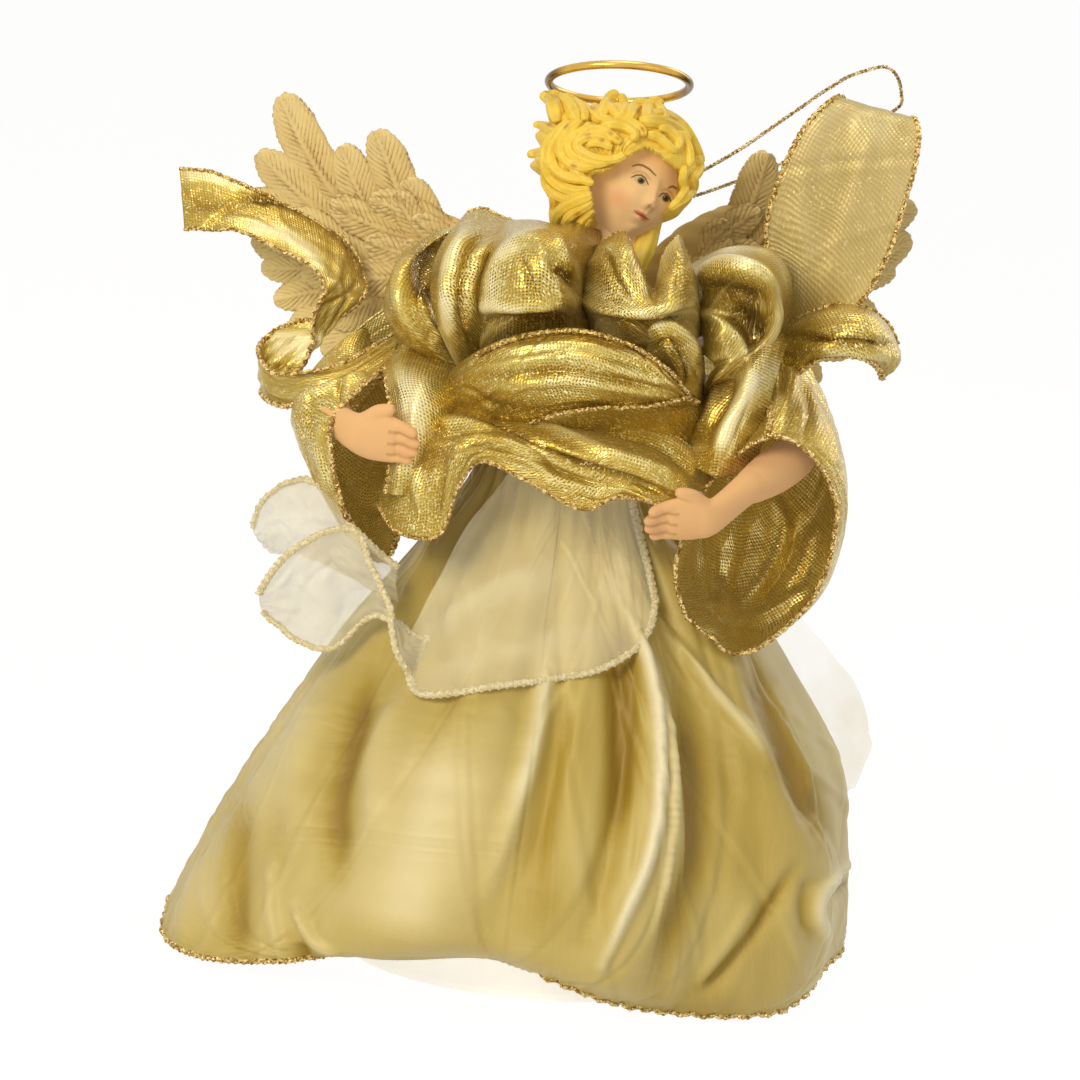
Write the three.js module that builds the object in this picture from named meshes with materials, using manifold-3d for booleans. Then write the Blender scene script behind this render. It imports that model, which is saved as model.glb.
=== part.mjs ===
// A dressed angel figure for the top of a tree or a mantel shelf: moulded head, hands and wings on a
// stiff cone, a wired arm through the shoulders, and a dress of satin, sheer organza and gold ribbon.
// Millimetres, +Z up, the face towards -Y. The origin is at the middle of the base.
import * as THREE from 'three';
import { mergeVertices } from 'three/addons/utils/BufferGeometryUtils.js';
import Module from 'manifold-3d';

const wasm = await Module();
wasm.setup();

// Clearances
const seatGap = 0.3;              // between two pieces that touch
const overrun = 2;                // how far a cutting tool runs past a face

// Base cone, open below for the tip of the tree
const coneHeight = 126;
const coneBaseRadius = 50;
const coneTopRadius = 17;
const coneWall = 1.6;
const coneRimWidth = 4.5;
const coneRimHeight = 2;

// Body form
const torsoHeight = 72;           // cone top to the shoulder line
const waistRadius = 19;
const chestHalfWidth = 31;
const chestDepthShare = 0.66;     // depth of the chest over its width
const plugLength = 9;
const neckSocketRadius = 4.2;
const neckSocketDepth = 14;

// Head
const headHalfWidth = 12.3;
const headHalfDepth = 13.6;
const headHalfHeight = 16;
const neckRadius = 6.6;
const bustHalfWidth = 17;
const bustHeight = 9;
const headLift = 36;              // shoulder line to the middle of the head
const headAside = 9.5;            // middle of the head, towards the figure's left
const headForward = 2;
const hairRadius = 25;            // unit of the outline of the hair
const hairHalfDepth = 20;
const hairAside = -6;             // middle of the hair from the middle of the head
const hairLift = 5;
const lockRadius = 3.1;

// Halo
const haloRadius = 20.6;
const haloWireRadius = 1.25;
const haloAside = 2;              // middle of the ring from the axis of the cone
const haloLift = 64.6;            // shoulder line to the middle of the ring

// Arms
const armWireRadius = 1.1;
const wireCoverGap = 0.25;        // the wire in its bores
const elbowRadius = 7.4;
const wristRadius = 4.9;
const palmLength = 12;
const palmHeight = 14.5;
const palmThickness = 7;
const fingerLength = 11;
const fingerRadius = 1.95;
const thumbLength = 9.5;
const armSpan = 100;              // unit of the table of arm places

// Wings
const wingSpan = 100;             // unit of the table of feathers
const wingSweep = {               // how far each wing is swept back
  left: THREE.MathUtils.degToRad(19),
  right: THREE.MathUtils.degToRad(15),
};
const featherThickness = 1.5;
const quillHeight = 0.8;
const featherLayerStep = 1.5;
const wingRootAside = 14;
const wingRootDrop = 4;           // shoulder line down to the wing root
const wingArmRadius = 6.2;
const wingPegRadius = 2.6;
const wingPegLength = 9;

// Cloth
const clothThickness = 0.9;
const skirtThickness = 1.2;
const skirtHeight = 150;
const skirtFlare = 54;            // hem of the skirt beyond the foot of the cone
const skirtHemRadius = coneBaseRadius + skirtFlare;
const skirtFoldHeight = 5.5;
const hemClear = 3.2;             // lowest part of the skirt's edge above the base
const hemBraidRadius = 0.9;
const trimRadius = 0.8;
const knotRadius = 8;
const bodiceSpan = 100;
const sashSpan = 100;
const collarSpan = 100;
const sleeveSpan = 100;
const ribbonSpan = 100;
const organzaSpan = 100;
const organzaStandOff = 2.2;

// Hanging loop
const cordRadius = 0.6;
const cordSpan = 100;             // unit of the table of the cord's route
const eyeletOuterRadius = 2.6;
const eyeletLength = 4.2;

// Where the figure's own axis stands in the part's frame, so that the origin is at the middle of the base
const axisAside = 12.4;
const axisForward = -3.5;

const waistZ = coneHeight;
const shoulderZ = coneHeight + torsoHeight;
const { cos, sin, PI, hypot, exp, max, min, abs } = Math;

// Solids

function solidOf(geometry) {
  const bare = geometry.clone();
  const extras = Object.keys(bare.attributes).filter((name) => name !== 'position');
  extras.forEach((name) => bare.deleteAttribute(name));
  const merged = mergeVertices(bare, 1e-4);
  return new wasm.Manifold(new wasm.Mesh({
    numProp: 3,
    vertProperties: new Float32Array(merged.attributes.position.array),
    triVerts: new Uint32Array(merged.index.array),
  }));
}

function geometryOf(solid) {
  const mesh = solid.getMesh();
  const geometry = new THREE.BufferGeometry();
  geometry.setAttribute('position', new THREE.BufferAttribute(new Float32Array(mesh.vertProperties), 3));
  geometry.setIndex(new THREE.BufferAttribute(new Uint32Array(mesh.triVerts), 1));
  return geometry;
}

function moved(geometry, matrix) {
  return solidOf(geometry.clone().applyMatrix4(matrix));
}

// The corners of each triangle in the other order, so that its face looks the other way.
function turnedOver(corners) {
  return corners.map((_, k) => corners[k - (k % 3) + [0, 2, 1][k % 3]]);
}

// The solid reflected left to right.
function mirrored(solid) {
  const geometry = geometryOf(solid).applyMatrix4(new THREE.Matrix4().makeScale(-1, 1, 1));
  geometry.setIndex(turnedOver([...geometry.index.array]));
  return solidOf(geometry);
}

function joined(first, ...rest) {
  return rest.reduce((whole, next) => whole.add(next), first);
}

function largestBody(solid) {
  const bodies = solid.decompose();
  return bodies.reduce((best, body) => (body.volume() > best.volume() ? body : best), bodies[0]);
}

// The solid with every face moved out by gap, mitred at the edges.
function grown(solid, gap = seatGap) {
  const mesh = solid.getMesh();
  const places = mesh.vertProperties;
  const count = places.length / 3;
  const sums = Array.from({ length: count }, () => ({ m: new Array(6).fill(0), n: new THREE.Vector3() }));
  const a = new THREE.Vector3();
  const b = new THREE.Vector3();
  const c = new THREE.Vector3();
  for (let i = 0; i < mesh.triVerts.length; i += 3) {
    const corner = [mesh.triVerts[i], mesh.triVerts[i + 1], mesh.triVerts[i + 2]];
    a.fromArray(places, corner[0] * 3);
    b.fromArray(places, corner[1] * 3).sub(a);
    c.fromArray(places, corner[2] * 3).sub(a);
    const normal = b.clone().cross(c);
    if (normal.length() < 1e-9) continue;
    normal.normalize();
    for (const index of corner) {
      const { m, n } = sums[index];
      n.add(normal);
      m[0] += normal.x * normal.x;
      m[1] += normal.x * normal.y;
      m[2] += normal.x * normal.z;
      m[3] += normal.y * normal.y;
      m[4] += normal.y * normal.z;
      m[5] += normal.z * normal.z;
    }
  }
  const out = new Float32Array(places);
  const steady = 0.08;
  const longestMitre = 1.8;
  sums.forEach(({ m, n }, index) => {
    const trace = (m[0] + m[3] + m[5]) * steady;
    const matrix = new THREE.Matrix3().set(
      m[0] + trace, m[1], m[2],
      m[1], m[3] + trace, m[4],
      m[2], m[4], m[5] + trace,
    );
    const shift = n.clone().applyMatrix3(matrix.invert()).multiplyScalar(1 + steady * 2);
    shift.clampLength(0, longestMitre).multiplyScalar(gap);
    out[index * 3] += shift.x;
    out[index * 3 + 1] += shift.y;
    out[index * 3 + 2] += shift.z;
  });
  return new wasm.Manifold(new wasm.Mesh({ numProp: 3, vertProperties: out, triVerts: mesh.triVerts }));
}

// The piece cut back so that it stands seatGap off each neighbour.
function seated(solid, neighbours, gap = seatGap) {
  let left = solid;
  for (const neighbour of neighbours) {
    const tool = grown(neighbour, gap);
    if (!left.intersect(tool).isEmpty()) {
      left = largestBody(left.subtract(tool).subtract(neighbour));
    }
  }
  return left;
}

// A closed body through rings of points, each ring with the same count, capped at both ends.
function loft(rings) {
  const across = rings[0].length;
  const places = rings.flat().flatMap((p) => [p.x, p.y, p.z]);
  const middle = (ring) => ring.reduce((sum, p) => sum.add(p), new THREE.Vector3()).divideScalar(across);
  const first = middle(rings[0]);
  const last = middle(rings[rings.length - 1]);
  places.push(first.x, first.y, first.z, last.x, last.y, last.z);
  const firstIndex = rings.length * across;
  const index = [];
  for (let j = 0; j < rings.length - 1; j++) {
    for (let i = 0; i < across; i++) {
      const p = j * across + i;
      const q = j * across + ((i + 1) % across);
      index.push(p, q, q + across, p, q + across, p + across);
    }
  }
  for (let i = 0; i < across; i++) {
    const next = (i + 1) % across;
    const base = (rings.length - 1) * across;
    index.push(firstIndex, next, i);
    index.push(firstIndex + 1, base + i, base + next);
  }
  const geometry = new THREE.BufferGeometry();
  geometry.setAttribute('position', new THREE.Float32BufferAttribute(places, 3));
  geometry.setIndex(index);
  const solid = solidOf(geometry);
  if (solid.volume() >= 0) return solid;
  geometry.setIndex(turnedOver(index));
  return solidOf(geometry);
}

// Rings round a centre line: each station has a place, two half widths and, if given, its own directions.
function limb(stations, sides, up = new THREE.Vector3(0, 0, 1)) {
  return loft(stations.map((station, k) => {
    const before = stations[max(0, k - 1)].at;
    const after = stations[min(stations.length - 1, k + 1)].at;
    const along = after.clone().sub(before).normalize();
    const side = along.clone().cross(station.up ?? up).normalize();
    const top = side.clone().cross(along).normalize();
    return Array.from({ length: sides }, (_, i) => {
      const angle = (i / sides) * 2 * PI;
      return station.at.clone()
        .addScaledVector(side, station.wide * cos(angle))
        .addScaledVector(top, station.high * sin(angle));
    });
  }));
}

// A closed body of revolution about Z.
function turned(profile, segments) {
  const points = profile.map(([r, z]) => new THREE.Vector2(r, z));
  const geometry = new THREE.LatheGeometry(points, segments).rotateX(PI / 2);
  const solid = solidOf(geometry);
  if (solid.volume() >= 0) return solid;
  return solidOf(new THREE.LatheGeometry(points.reverse(), segments).rotateX(PI / 2));
}

function peg(from, to, radius, sides = 16) {
  const geometry = new THREE.CylinderGeometry(radius, radius, from.distanceTo(to), sides);
  const turn = new THREE.Quaternion().setFromUnitVectors(
    new THREE.Vector3(0, 1, 0), to.clone().sub(from).normalize());
  const middle = from.clone().add(to).divideScalar(2);
  return moved(geometry, new THREE.Matrix4().compose(middle, turn, new THREE.Vector3(1, 1, 1)));
}

// A tube of even thickness along a curve, as an extrusion.
function wire(curve, radius, sides, steps) {
  const section = new THREE.Shape();
  for (let i = 0; i < sides; i++) {
    const angle = (i / sides) * 2 * PI;
    section[i ? 'lineTo' : 'moveTo'](radius * cos(angle), radius * sin(angle));
  }
  section.closePath();
  return solidOf(new THREE.ExtrudeGeometry(section, { steps, bevelEnabled: false, extrudePath: curve }));
}

function smooth(points, closed = false) {
  return new THREE.CatmullRomCurve3(points, closed, 'catmullrom', 0.5);
}

// A table of shares made into places: each share is times the span, from the anchor.
function placed(shares, span, anchor) {
  return shares.map(([x, y, z]) => new THREE.Vector3(x, y, z).multiplyScalar(span).add(anchor));
}

function net(rows, span, anchor, closed = false) {
  const curves = rows.map((row) => smooth(placed(row, span, anchor), closed));
  return (u, v) => smooth(curves.map((curve) => curve.getPoint(u))).getPoint(v);
}

// A cloth of even thickness over surface(u, v), with u round or along it and v across it.
function sheet(surface, columns, rows, thickness, closed = false) {
  const step = 1e-3;
  const across = closed ? columns : columns + 1;
  const faces = [[], []];
  for (let j = 0; j <= rows; j++) {
    for (let i = 0; i < across; i++) {
      const u = i / columns;
      const v = j / rows;
      const uBack = closed ? (u - step + 1) % 1 : max(0, u - step);
      const uFore = closed ? (u + step) % 1 : min(1, u + step);
      const along = surface(uFore, v).sub(surface(uBack, v));
      const over = surface(u, min(1, v + step)).sub(surface(u, max(0, v - step)));
      const normal = along.cross(over).normalize();
      const at = surface(u, v);
      faces[0].push(at.clone().addScaledVector(normal, thickness / 2));
      faces[1].push(at.clone().addScaledVector(normal, -thickness / 2));
    }
  }
  const half = faces[0].length;
  const index = [];
  const quad = (a, b, c, d) => index.push(a, b, c, a, c, d);
  for (let j = 0; j < rows; j++) {
    for (let i = 0; i < columns; i++) {
      const a = j * across + i;
      const b = j * across + ((i + 1) % across);
      quad(a, b, b + across, a + across);
      quad(half + a, half + a + across, half + b + across, half + b);
    }
  }
  for (let i = 0; i < columns; i++) {
    const a = i;
    const b = (i + 1) % across;
    const top = rows * across;
    quad(a, half + a, half + b, b);
    quad(top + a, top + b, half + top + b, half + top + a);
  }
  if (!closed) {
    for (let j = 0; j < rows; j++) {
      const a = j * across;
      const b = a + across - 1;
      quad(a, a + across, half + a + across, half + a);
      quad(b, half + b, half + b + across, b + across);
    }
  }
  const geometry = new THREE.BufferGeometry();
  geometry.setAttribute('position', new THREE.Float32BufferAttribute(
    faces.flat().flatMap((p) => [p.x, p.y, p.z]), 3));
  geometry.setIndex(index);
  return solidOf(geometry);
}

// Base cone and body form

function baseCone() {
  return turned([
    [coneBaseRadius - coneRimWidth, 0],
    [coneBaseRadius, 0],
    [coneBaseRadius, coneRimHeight],
    [coneTopRadius, coneHeight],
    [coneTopRadius - coneWall, coneHeight],
    [coneBaseRadius - coneWall - seatGap, coneRimHeight],
    [coneBaseRadius - coneRimWidth, coneRimHeight],
    [coneBaseRadius - coneRimWidth, 0],
  ], 32);
}

// Half widths of the body form up its height, as shares of the waist and the chest.
const torsoShares = [
  [0.00, waistRadius, 1.0], [0.18, waistRadius, 0.98], [0.42, chestHalfWidth, 0.78],
  [0.66, chestHalfWidth, 1.0], [0.86, chestHalfWidth, 0.9], [1.0, chestHalfWidth, 0.5],
];

function torsoForm() {
  const sides = 16;
  const rings = torsoShares.map(([rise, size, share]) => {
    const wide = size * share;
    const flat = size === waistRadius ? 1 : chestDepthShare;
    const z = waistZ + seatGap + rise * (torsoHeight - seatGap);
    return Array.from({ length: sides }, (_, i) => {
      const angle = (i / sides) * 2 * PI;
      return new THREE.Vector3(wide * cos(angle), wide * flat * sin(angle), z);
    });
  });
  const plugTop = waistZ + overrun;
  const plug = turned([
    [0, waistZ - plugLength],
    [coneTopRadius - coneWall - seatGap, waistZ - plugLength],
    [coneTopRadius - coneWall - seatGap, plugTop],
    [0, plugTop],
  ], sides);
  return joined(loft(rings), plug);
}

// Head, hair and halo

// The head leans and turns to the figure's left; its angles are taken in the plane seen from the front.
const viewRise = THREE.MathUtils.degToRad(10);
const headLean = THREE.MathUtils.degToRad(20);
const headTurn = THREE.MathUtils.degToRad(26);
const headNod = THREE.MathUtils.degToRad(-18);
const headMiddle = new THREE.Vector3(headAside, -headForward, shoulderZ + headLift);
const viewTurn = new THREE.Matrix4().makeRotationX(-viewRise);
const headPose = viewTurn.clone()
  .multiply(new THREE.Matrix4().makeRotationY(headLean))
  .multiply(new THREE.Matrix4().makeRotationZ(headTurn))
  .multiply(new THREE.Matrix4().makeRotationX(headNod))
  .setPosition(headMiddle);

// Bumps that make the face: where on the head, how wide and how proud, all as shares of its half sizes.
const faceBumpShares = [
  { at: [0, -0.4], wide: [0.15, 0.15], proud: 0.2 },       // nose
  { at: [0, -0.14], wide: [0.12, 0.2], proud: 0.07 },      // bridge
  { at: [0, -0.64], wide: [0.26, 0.07], proud: 0.06 },     // lips
  { at: [0, -0.9], wide: [0.28, 0.14], proud: 0.12 },      // chin
  { at: [0.45, -0.45], wide: [0.3, 0.28], proud: 0.06 },   // cheeks
  { at: [-0.45, -0.45], wide: [0.3, 0.28], proud: 0.06 },
  { at: [0.42, 0.02], wide: [0.22, 0.13], proud: -0.07 },  // eye sockets
  { at: [-0.42, 0.02], wide: [0.22, 0.13], proud: -0.07 },
  { at: [0, 0.24], wide: [0.6, 0.16], proud: 0.03 },       // brow
];

function facePoint(dir) {
  const low = min(0, dir.z);
  const base = new THREE.Vector3(dir.x * (1 - 0.34 * low * low), dir.y * (1 - 0.12 * low * low), dir.z);
  if (dir.y < 0) {
    for (const { at, wide, proud } of faceBumpShares) {
      const aside = (dir.x - at[0]) / wide[0];
      const rise = (dir.z - at[1]) / wide[1];
      base.y -= proud * exp(-aside * aside - rise * rise);
    }
  }
  return base.multiply(new THREE.Vector3(headHalfWidth, headHalfDepth, headHalfHeight));
}

function skull() {
  const around = 20;
  const up = 14;
  const rings = [];
  for (let j = 1; j < up; j++) {
    const lift = -PI / 2 + (j / up) * PI;
    rings.push(Array.from({ length: around }, (_, i) => {
      const turn = (i / around) * 2 * PI;
      return facePoint(new THREE.Vector3(cos(lift) * cos(turn), cos(lift) * sin(turn), sin(lift)));
    }));
  }
  return moved(geometryOf(loft(rings)), headPose);
}

const neckFoot = new THREE.Vector3(headAside * 0.45, -headForward * 0.5, shoulderZ - overrun);
const neckHead = new THREE.Vector3(0, headHalfDepth * 0.1, -headHalfHeight * 0.45).applyMatrix4(headPose);

function headCasting(torso) {
  const neck = limb([
    { at: neckFoot.clone(), wide: neckRadius * 1.4, high: neckRadius * 1.3 },
    { at: neckFoot.clone().lerp(neckHead, 0.35), wide: neckRadius * 1.04, high: neckRadius },
    { at: neckFoot.clone().lerp(neckHead, 0.65), wide: neckRadius, high: neckRadius },
    { at: neckHead.clone(), wide: neckRadius, high: neckRadius },
  ], 14, new THREE.Vector3(0, 1, 0));
  const bustShares = [[1, -0.3], [1, 0], [0.86, 0.42], [0.55, 0.8], [0.3, 1]];
  const bustSides = 18;
  const bust = loft(bustShares.map(([wide, rise]) => Array.from({ length: bustSides }, (_, i) => {
    const angle = (i / bustSides) * 2 * PI;
    return new THREE.Vector3(
      neckFoot.x * 0.4 + bustHalfWidth * wide * cos(angle),
      bustHalfWidth * wide * chestDepthShare * sin(angle),
      shoulderZ - bustHeight * 0.3 + rise * bustHeight,
    );
  })));
  const foot = new THREE.Vector3(0, 0, shoulderZ - neckSocketDepth + seatGap);
  const stem = peg(foot, new THREE.Vector3(0, 0, shoulderZ + overrun / 2), neckSocketRadius - seatGap);
  return joined(seated(joined(skull(), neck, bust), [torso]), stem);
}

// Outline of the hair from the front: degrees from level on the figure's left, and reach as shares.
const hairOutlineShares = [
  [6, 1.0], [20, 0.97], [32, 0.91], [45, 0.86], [60, 0.9], [73, 0.77], [86, 0.73], [94, 0.81],
  [104, 0.78],
  [113, 0.75], [124, 0.84], [134, 1.04], [143, 1.17], [152, 0.95], [163, 1.06], [170, 0.91],
  [177, 0.92], [184, 1.06],
  [192, 0.9], [204, 0.87], [219, 0.87], [230, 1.01], [240, 1.02], [252, 0.86], [270, 0.72], [292, 0.7],
  [312, 0.82],
  [326, 0.92], [338, 0.98], [346, 1.02], [351, 0.91], [358, 0.98],
];
// Edge of the face in the hair, from the front, as shares of the same unit from the middle of the hair.
const faceEdgeShares = [
  [-0.25, -0.12], [-0.06, -0.04], [0.06, 0.06], [0.19, 0.18], [0.33, 0.27], [0.48, 0.2], [0.62, 0.11],
  [0.78, 0.04],
  [0.85, -0.04], [0.86, -0.18], [0.78, -0.28], [0.69, -0.37], [0.6, -0.48], [0.5, -0.62], [0.3, -1.1],
  [-0.3, -1.1],
  [-0.34, -0.75], [-0.31, -0.5], [-0.3, -0.25],
];
// The long lock: places in the same unit and its size.
const hairLockShares = [[0.5, -0.02, -0.42, 1], [0.44, -0.14, -0.86, 1], [0.4, -0.22, -1.3, 0.6]];
const hairMiddle = headMiddle.clone().add(new THREE.Vector3(hairAside, headForward, hairLift));
const hairPose = viewTurn.clone().setPosition(hairMiddle);

function hairReach(degrees) {
  const turns = ((degrees % 360) + 360) % 360;
  const count = hairOutlineShares.length;
  const after = hairOutlineShares.findIndex(([angle]) => angle > turns);
  const next = after < 0 ? 0 : after;
  const last = (next + count - 1) % count;
  const [from, low] = hairOutlineShares[last];
  const [to, high] = hairOutlineShares[next];
  const span = ((to - from) + 360) % 360;
  const share = (((turns - from) + 360) % 360) / span;
  return low + (high - low) * share;
}

function hairCasting(head) {
  const count = hairOutlineShares.length;
  const depthSteps = 8;
  const rings = [];
  for (let j = 1; j < depthSteps; j++) {
    const lift = -PI / 2 + (j / depthSteps) * PI;
    rings.push(Array.from({ length: count }, (_, i) => {
      const [degrees, reach] = hairOutlineShares[i];
      const angle = THREE.MathUtils.degToRad(degrees);
      const soft = 1 + (reach - 1) * cos(lift) * cos(lift) - (1 - cos(lift) ** 2) * 0.1;
      const radius = hairRadius * soft * cos(lift) ** 0.8;
      return new THREE.Vector3(radius * cos(angle), hairHalfDepth * sin(lift), radius * sin(angle));
    }));
  }
  const faceEdge = faceEdgeShares.map(([x, z]) => new THREE.Vector2(x, z).multiplyScalar(hairRadius));
  const window = new THREE.Shape(faceEdge);
  const face = moved(
    new THREE.ExtrudeGeometry(window, { depth: hairHalfDepth * 2, bevelEnabled: false }),
    new THREE.Matrix4().makeRotationX(PI / 2).setPosition(0, hairHalfDepth * 0.05, 0),
  );
  const lock = limb(hairLockShares.map(([x, y, z, size]) => ({
    at: new THREE.Vector3(x, y, z).multiplyScalar(hairRadius),
    wide: lockRadius * size,
    high: lockRadius * size,
  })), 8, new THREE.Vector3(0, 1, 0));
  const local = joined(loft(rings).subtract(face), lock);
  return largestBody(seated(moved(geometryOf(local), hairPose), [head]));
}

const haloTilt = THREE.MathUtils.degToRad(26);
const haloMiddle = new THREE.Vector3(haloAside, headForward, shoulderZ + haloLift);

function haloRing() {
  const ring = moved(
    new THREE.TorusGeometry(haloRadius, haloWireRadius, 6, 30),
    new THREE.Matrix4().makeRotationX(-haloTilt).setPosition(haloMiddle),
  );
  const side = (angle, size = 1) => new THREE.Vector3(cos(angle), sin(angle), 0)
    .multiplyScalar(haloRadius * size).applyMatrix4(new THREE.Matrix4().makeRotationX(-haloTilt))
    .add(haloMiddle);
  const leave = side(PI * 0.86);
  const drill = new THREE.Vector3(-0.62, 0.1, 0.35).multiplyScalar(hairRadius).add(hairMiddle);
  const stem = smooth([
    leave,
    leave.clone().add(new THREE.Vector3(haloWireRadius * 0.3, haloWireRadius, -haloWireRadius * 2.4)),
    drill.clone().lerp(leave, 0.45).add(new THREE.Vector3(0, haloWireRadius, 0)),
    drill,
  ]);
  return joined(ring, wire(stem, haloWireRadius * 0.9, 6, 8));
}

// Arms

const armAnchor = new THREE.Vector3(0, 0, shoulderZ);
// Shoulder, elbow, wrist and hand of each arm, as shares of the arm span.
const armShares = {
  left: { shoulder: [0.44, 0.04, -0.02], elbow: [0.70, -0.18, -0.31], wrist: [0.51, -0.45, -0.42],
    hand: [0.38, -0.53, -0.50], tips: [0.24, -0.56, -0.52], up: [0.1, -0.5, 1] },
  right: { shoulder: [-0.46, 0.08, -0.06], elbow: [-0.79, -0.12, -0.30], wrist: [-0.68, -0.38, -0.36],
    hand: [-0.58, -0.46, -0.38], tips: [-0.42, -0.50, -0.39], up: [0, -0.3, 1] },
};

function armPlaces(side) {
  const shares = armShares[side];
  return Object.fromEntries(Object.entries(shares).map(([name, share]) => [
    name,
    name === 'up' ? new THREE.Vector3(...share).normalize() : placed([share], armSpan, armAnchor)[0],
  ]));
}

function armWire() {
  const right = armPlaces('right');
  const left = armPlaces('left');
  const middle = new THREE.Vector3(0, 0, shoulderZ - torsoHeight * 0.14);
  const reach = (arm) => arm.elbow.clone().lerp(arm.wrist, 0.6);
  return wire(smooth([
    reach(right), right.elbow.clone(), right.shoulder.clone(), middle,
    left.shoulder.clone(), left.elbow.clone(), reach(left),
  ]), armWireRadius, 6, 22);
}

function forearm(side, wireSolid) {
  const arm = armPlaces(side);
  const along = arm.tips.clone().sub(arm.hand).normalize();
  const across = arm.up.clone().cross(along).normalize();
  const up = along.clone().cross(across).normalize();
  const palmStart = arm.hand.clone().addScaledVector(along, -palmLength * 0.4);
  const palmEnd = arm.hand.clone().addScaledVector(along, palmLength * 0.6);
  const lower = limb([
    { at: arm.elbow.clone(), wide: elbowRadius, high: elbowRadius },
    { at: arm.elbow.clone().lerp(arm.wrist, 0.5), wide: elbowRadius * 0.95, high: elbowRadius * 0.98 },
    { at: arm.elbow.clone().lerp(arm.wrist, 0.85), wide: wristRadius * 1.12, high: wristRadius * 1.15 },
    { at: arm.wrist.clone(), wide: wristRadius * 0.9, high: wristRadius, up: arm.up },
    { at: palmStart, wide: palmThickness * 0.55, high: palmHeight * 0.42, up },
    { at: arm.hand.clone(), wide: palmThickness * 0.52, high: palmHeight * 0.52, up },
    { at: palmEnd, wide: palmThickness * 0.36, high: palmHeight * 0.5, up },
  ], 8);
  const fingers = Array.from({ length: 4 }, (_, k) => {
    const rise = (1.5 - k) * fingerRadius * 1.82;
    const long = fingerLength * [0.9, 1, 0.97, 0.82][k];
    const start = palmEnd.clone().addScaledVector(along, -fingerRadius).addScaledVector(up, rise);
    const curl = across.clone().multiplyScalar(side === 'left' ? 1 : -1);
    const spot = (share, bend) => start.clone().addScaledVector(along, long * share)
      .addScaledVector(curl, long * bend).addScaledVector(up, -rise * 0.25 * share);
    return limb([
      { at: spot(0, 0), wide: fingerRadius, high: fingerRadius },
      { at: spot(0.5, 0.02), wide: fingerRadius, high: fingerRadius },
      { at: spot(0.85, 0.1), wide: fingerRadius * 0.9, high: fingerRadius * 0.9 },
      { at: spot(1, 0.2), wide: fingerRadius * 0.55, high: fingerRadius * 0.55 },
    ], 5, up);
  });
  const onHand = (from, ahead, rise) => from.clone().addScaledVector(along, ahead).addScaledVector(up, rise);
  const root = onHand(palmStart, palmLength * 0.25, palmHeight * 0.3);
  const reach = onHand(root, thumbLength * 0.55, thumbLength * 0.55);
  const tip = onHand(root, thumbLength, thumbLength * 0.7);
  const thumb = limb([
    { at: root, wide: fingerRadius * 1.2, high: fingerRadius * 1.2 },
    { at: reach, wide: fingerRadius * 1.05, high: fingerRadius * 1.05 },
    { at: tip, wide: fingerRadius * 0.6, high: fingerRadius * 0.6 },
  ], 6, across);
  return largestBody(joined(lower, ...fingers, thumb).subtract(grown(wireSolid, wireCoverGap)));
}

// Wings

// Feathers: layer from back to front, tip outwards and up from the root, direction in degrees, length, width.
const featherShares = {
  right: [
    [0, 0.86, 0.50, 50, 0.50, 0.14], [0, 0.91, 0.32, 38, 0.50, 0.13], [0, 0.93, 0.19, 21, 0.52, 0.12],
    [0, 0.90, 0.06, 4, 0.50, 0.12], [0, 0.86, -0.02, -6, 0.48, 0.11], [0, 0.81, -0.11, -15, 0.46, 0.11],
    [0, 0.75, -0.18, -28, 0.44, 0.12], [0, 0.64, -0.25, -42, 0.40, 0.12],
    [0, 0.51, -0.29, -58, 0.36, 0.12],
    [1, 0.65, 0.38, 55, 0.38, 0.12], [1, 0.55, 0.44, 64, 0.40, 0.13], [1, 0.44, 0.31, 60, 0.26, 0.11],
    [1, 0.77, 0.16, 24, 0.46, 0.13], [1, 0.73, -0.01, -4, 0.44, 0.13], [1, 0.62, -0.15, -34, 0.40, 0.13],
    [2, 0.66, 0.21, 14, 0.30, 0.11], [2, 0.54, 0.24, 16, 0.30, 0.11], [2, 0.54, 0.11, 14, 0.28, 0.10],
    [2, 0.59, 0.0, -12, 0.34, 0.12], [2, 0.42, 0.12, 12, 0.24, 0.09],
  ],
  left: [
    [0, 0.70, 0.53, 52, 0.50, 0.14], [0, 0.84, 0.38, 36, 0.50, 0.13], [0, 0.84, 0.28, 24, 0.50, 0.13],
    [0, 0.80, 0.18, 10, 0.48, 0.12], [0, 0.76, 0.04, -6, 0.46, 0.12], [0, 0.70, -0.07, -20, 0.44, 0.12],
    [0, 0.60, -0.17, -38, 0.40, 0.12], [0, 0.48, -0.23, -56, 0.36, 0.12],
    [1, 0.35, 0.51, 72, 0.38, 0.13], [1, 0.49, 0.49, 62, 0.38, 0.12], [1, 0.62, 0.40, 46, 0.40, 0.12],
    [1, 0.67, 0.2, 18, 0.42, 0.13], [1, 0.63, 0.03, -8, 0.42, 0.13], [1, 0.52, -0.1, -34, 0.38, 0.13],
    [2, 0.22, 0.28, 38, 0.24, 0.10], [2, 0.34, 0.34, 36, 0.28, 0.10], [2, 0.36, 0.22, 18, 0.28, 0.10],
    [2, 0.50, 0.24, 20, 0.30, 0.11], [2, 0.48, 0.07, -8, 0.32, 0.12],
  ],
};
// Half width of a feather along its length, as shares.
const featherOutlineShares = [[0, 0.45], [0.5, 0.98], [0.86, 0.86], [1, 0.16]];
// Arm of each wing: out and up from the root, and its thickness.
const wingArmShares = {
  right: [[-0.05, 0.0, 0.8], [0.12, 0.07, 1.1], [0.28, 0.15, 1.05], [0.4, 0.19, 0.8], [0.5, 0.21, 0.35]],
  left: [[-0.05, -0.04, 0.8], [0.05, 0.1, 1.15], [0.14, 0.21, 1.1], [0.25, 0.29, 0.9], [0.34, 0.33, 0.4]],
};

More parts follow.
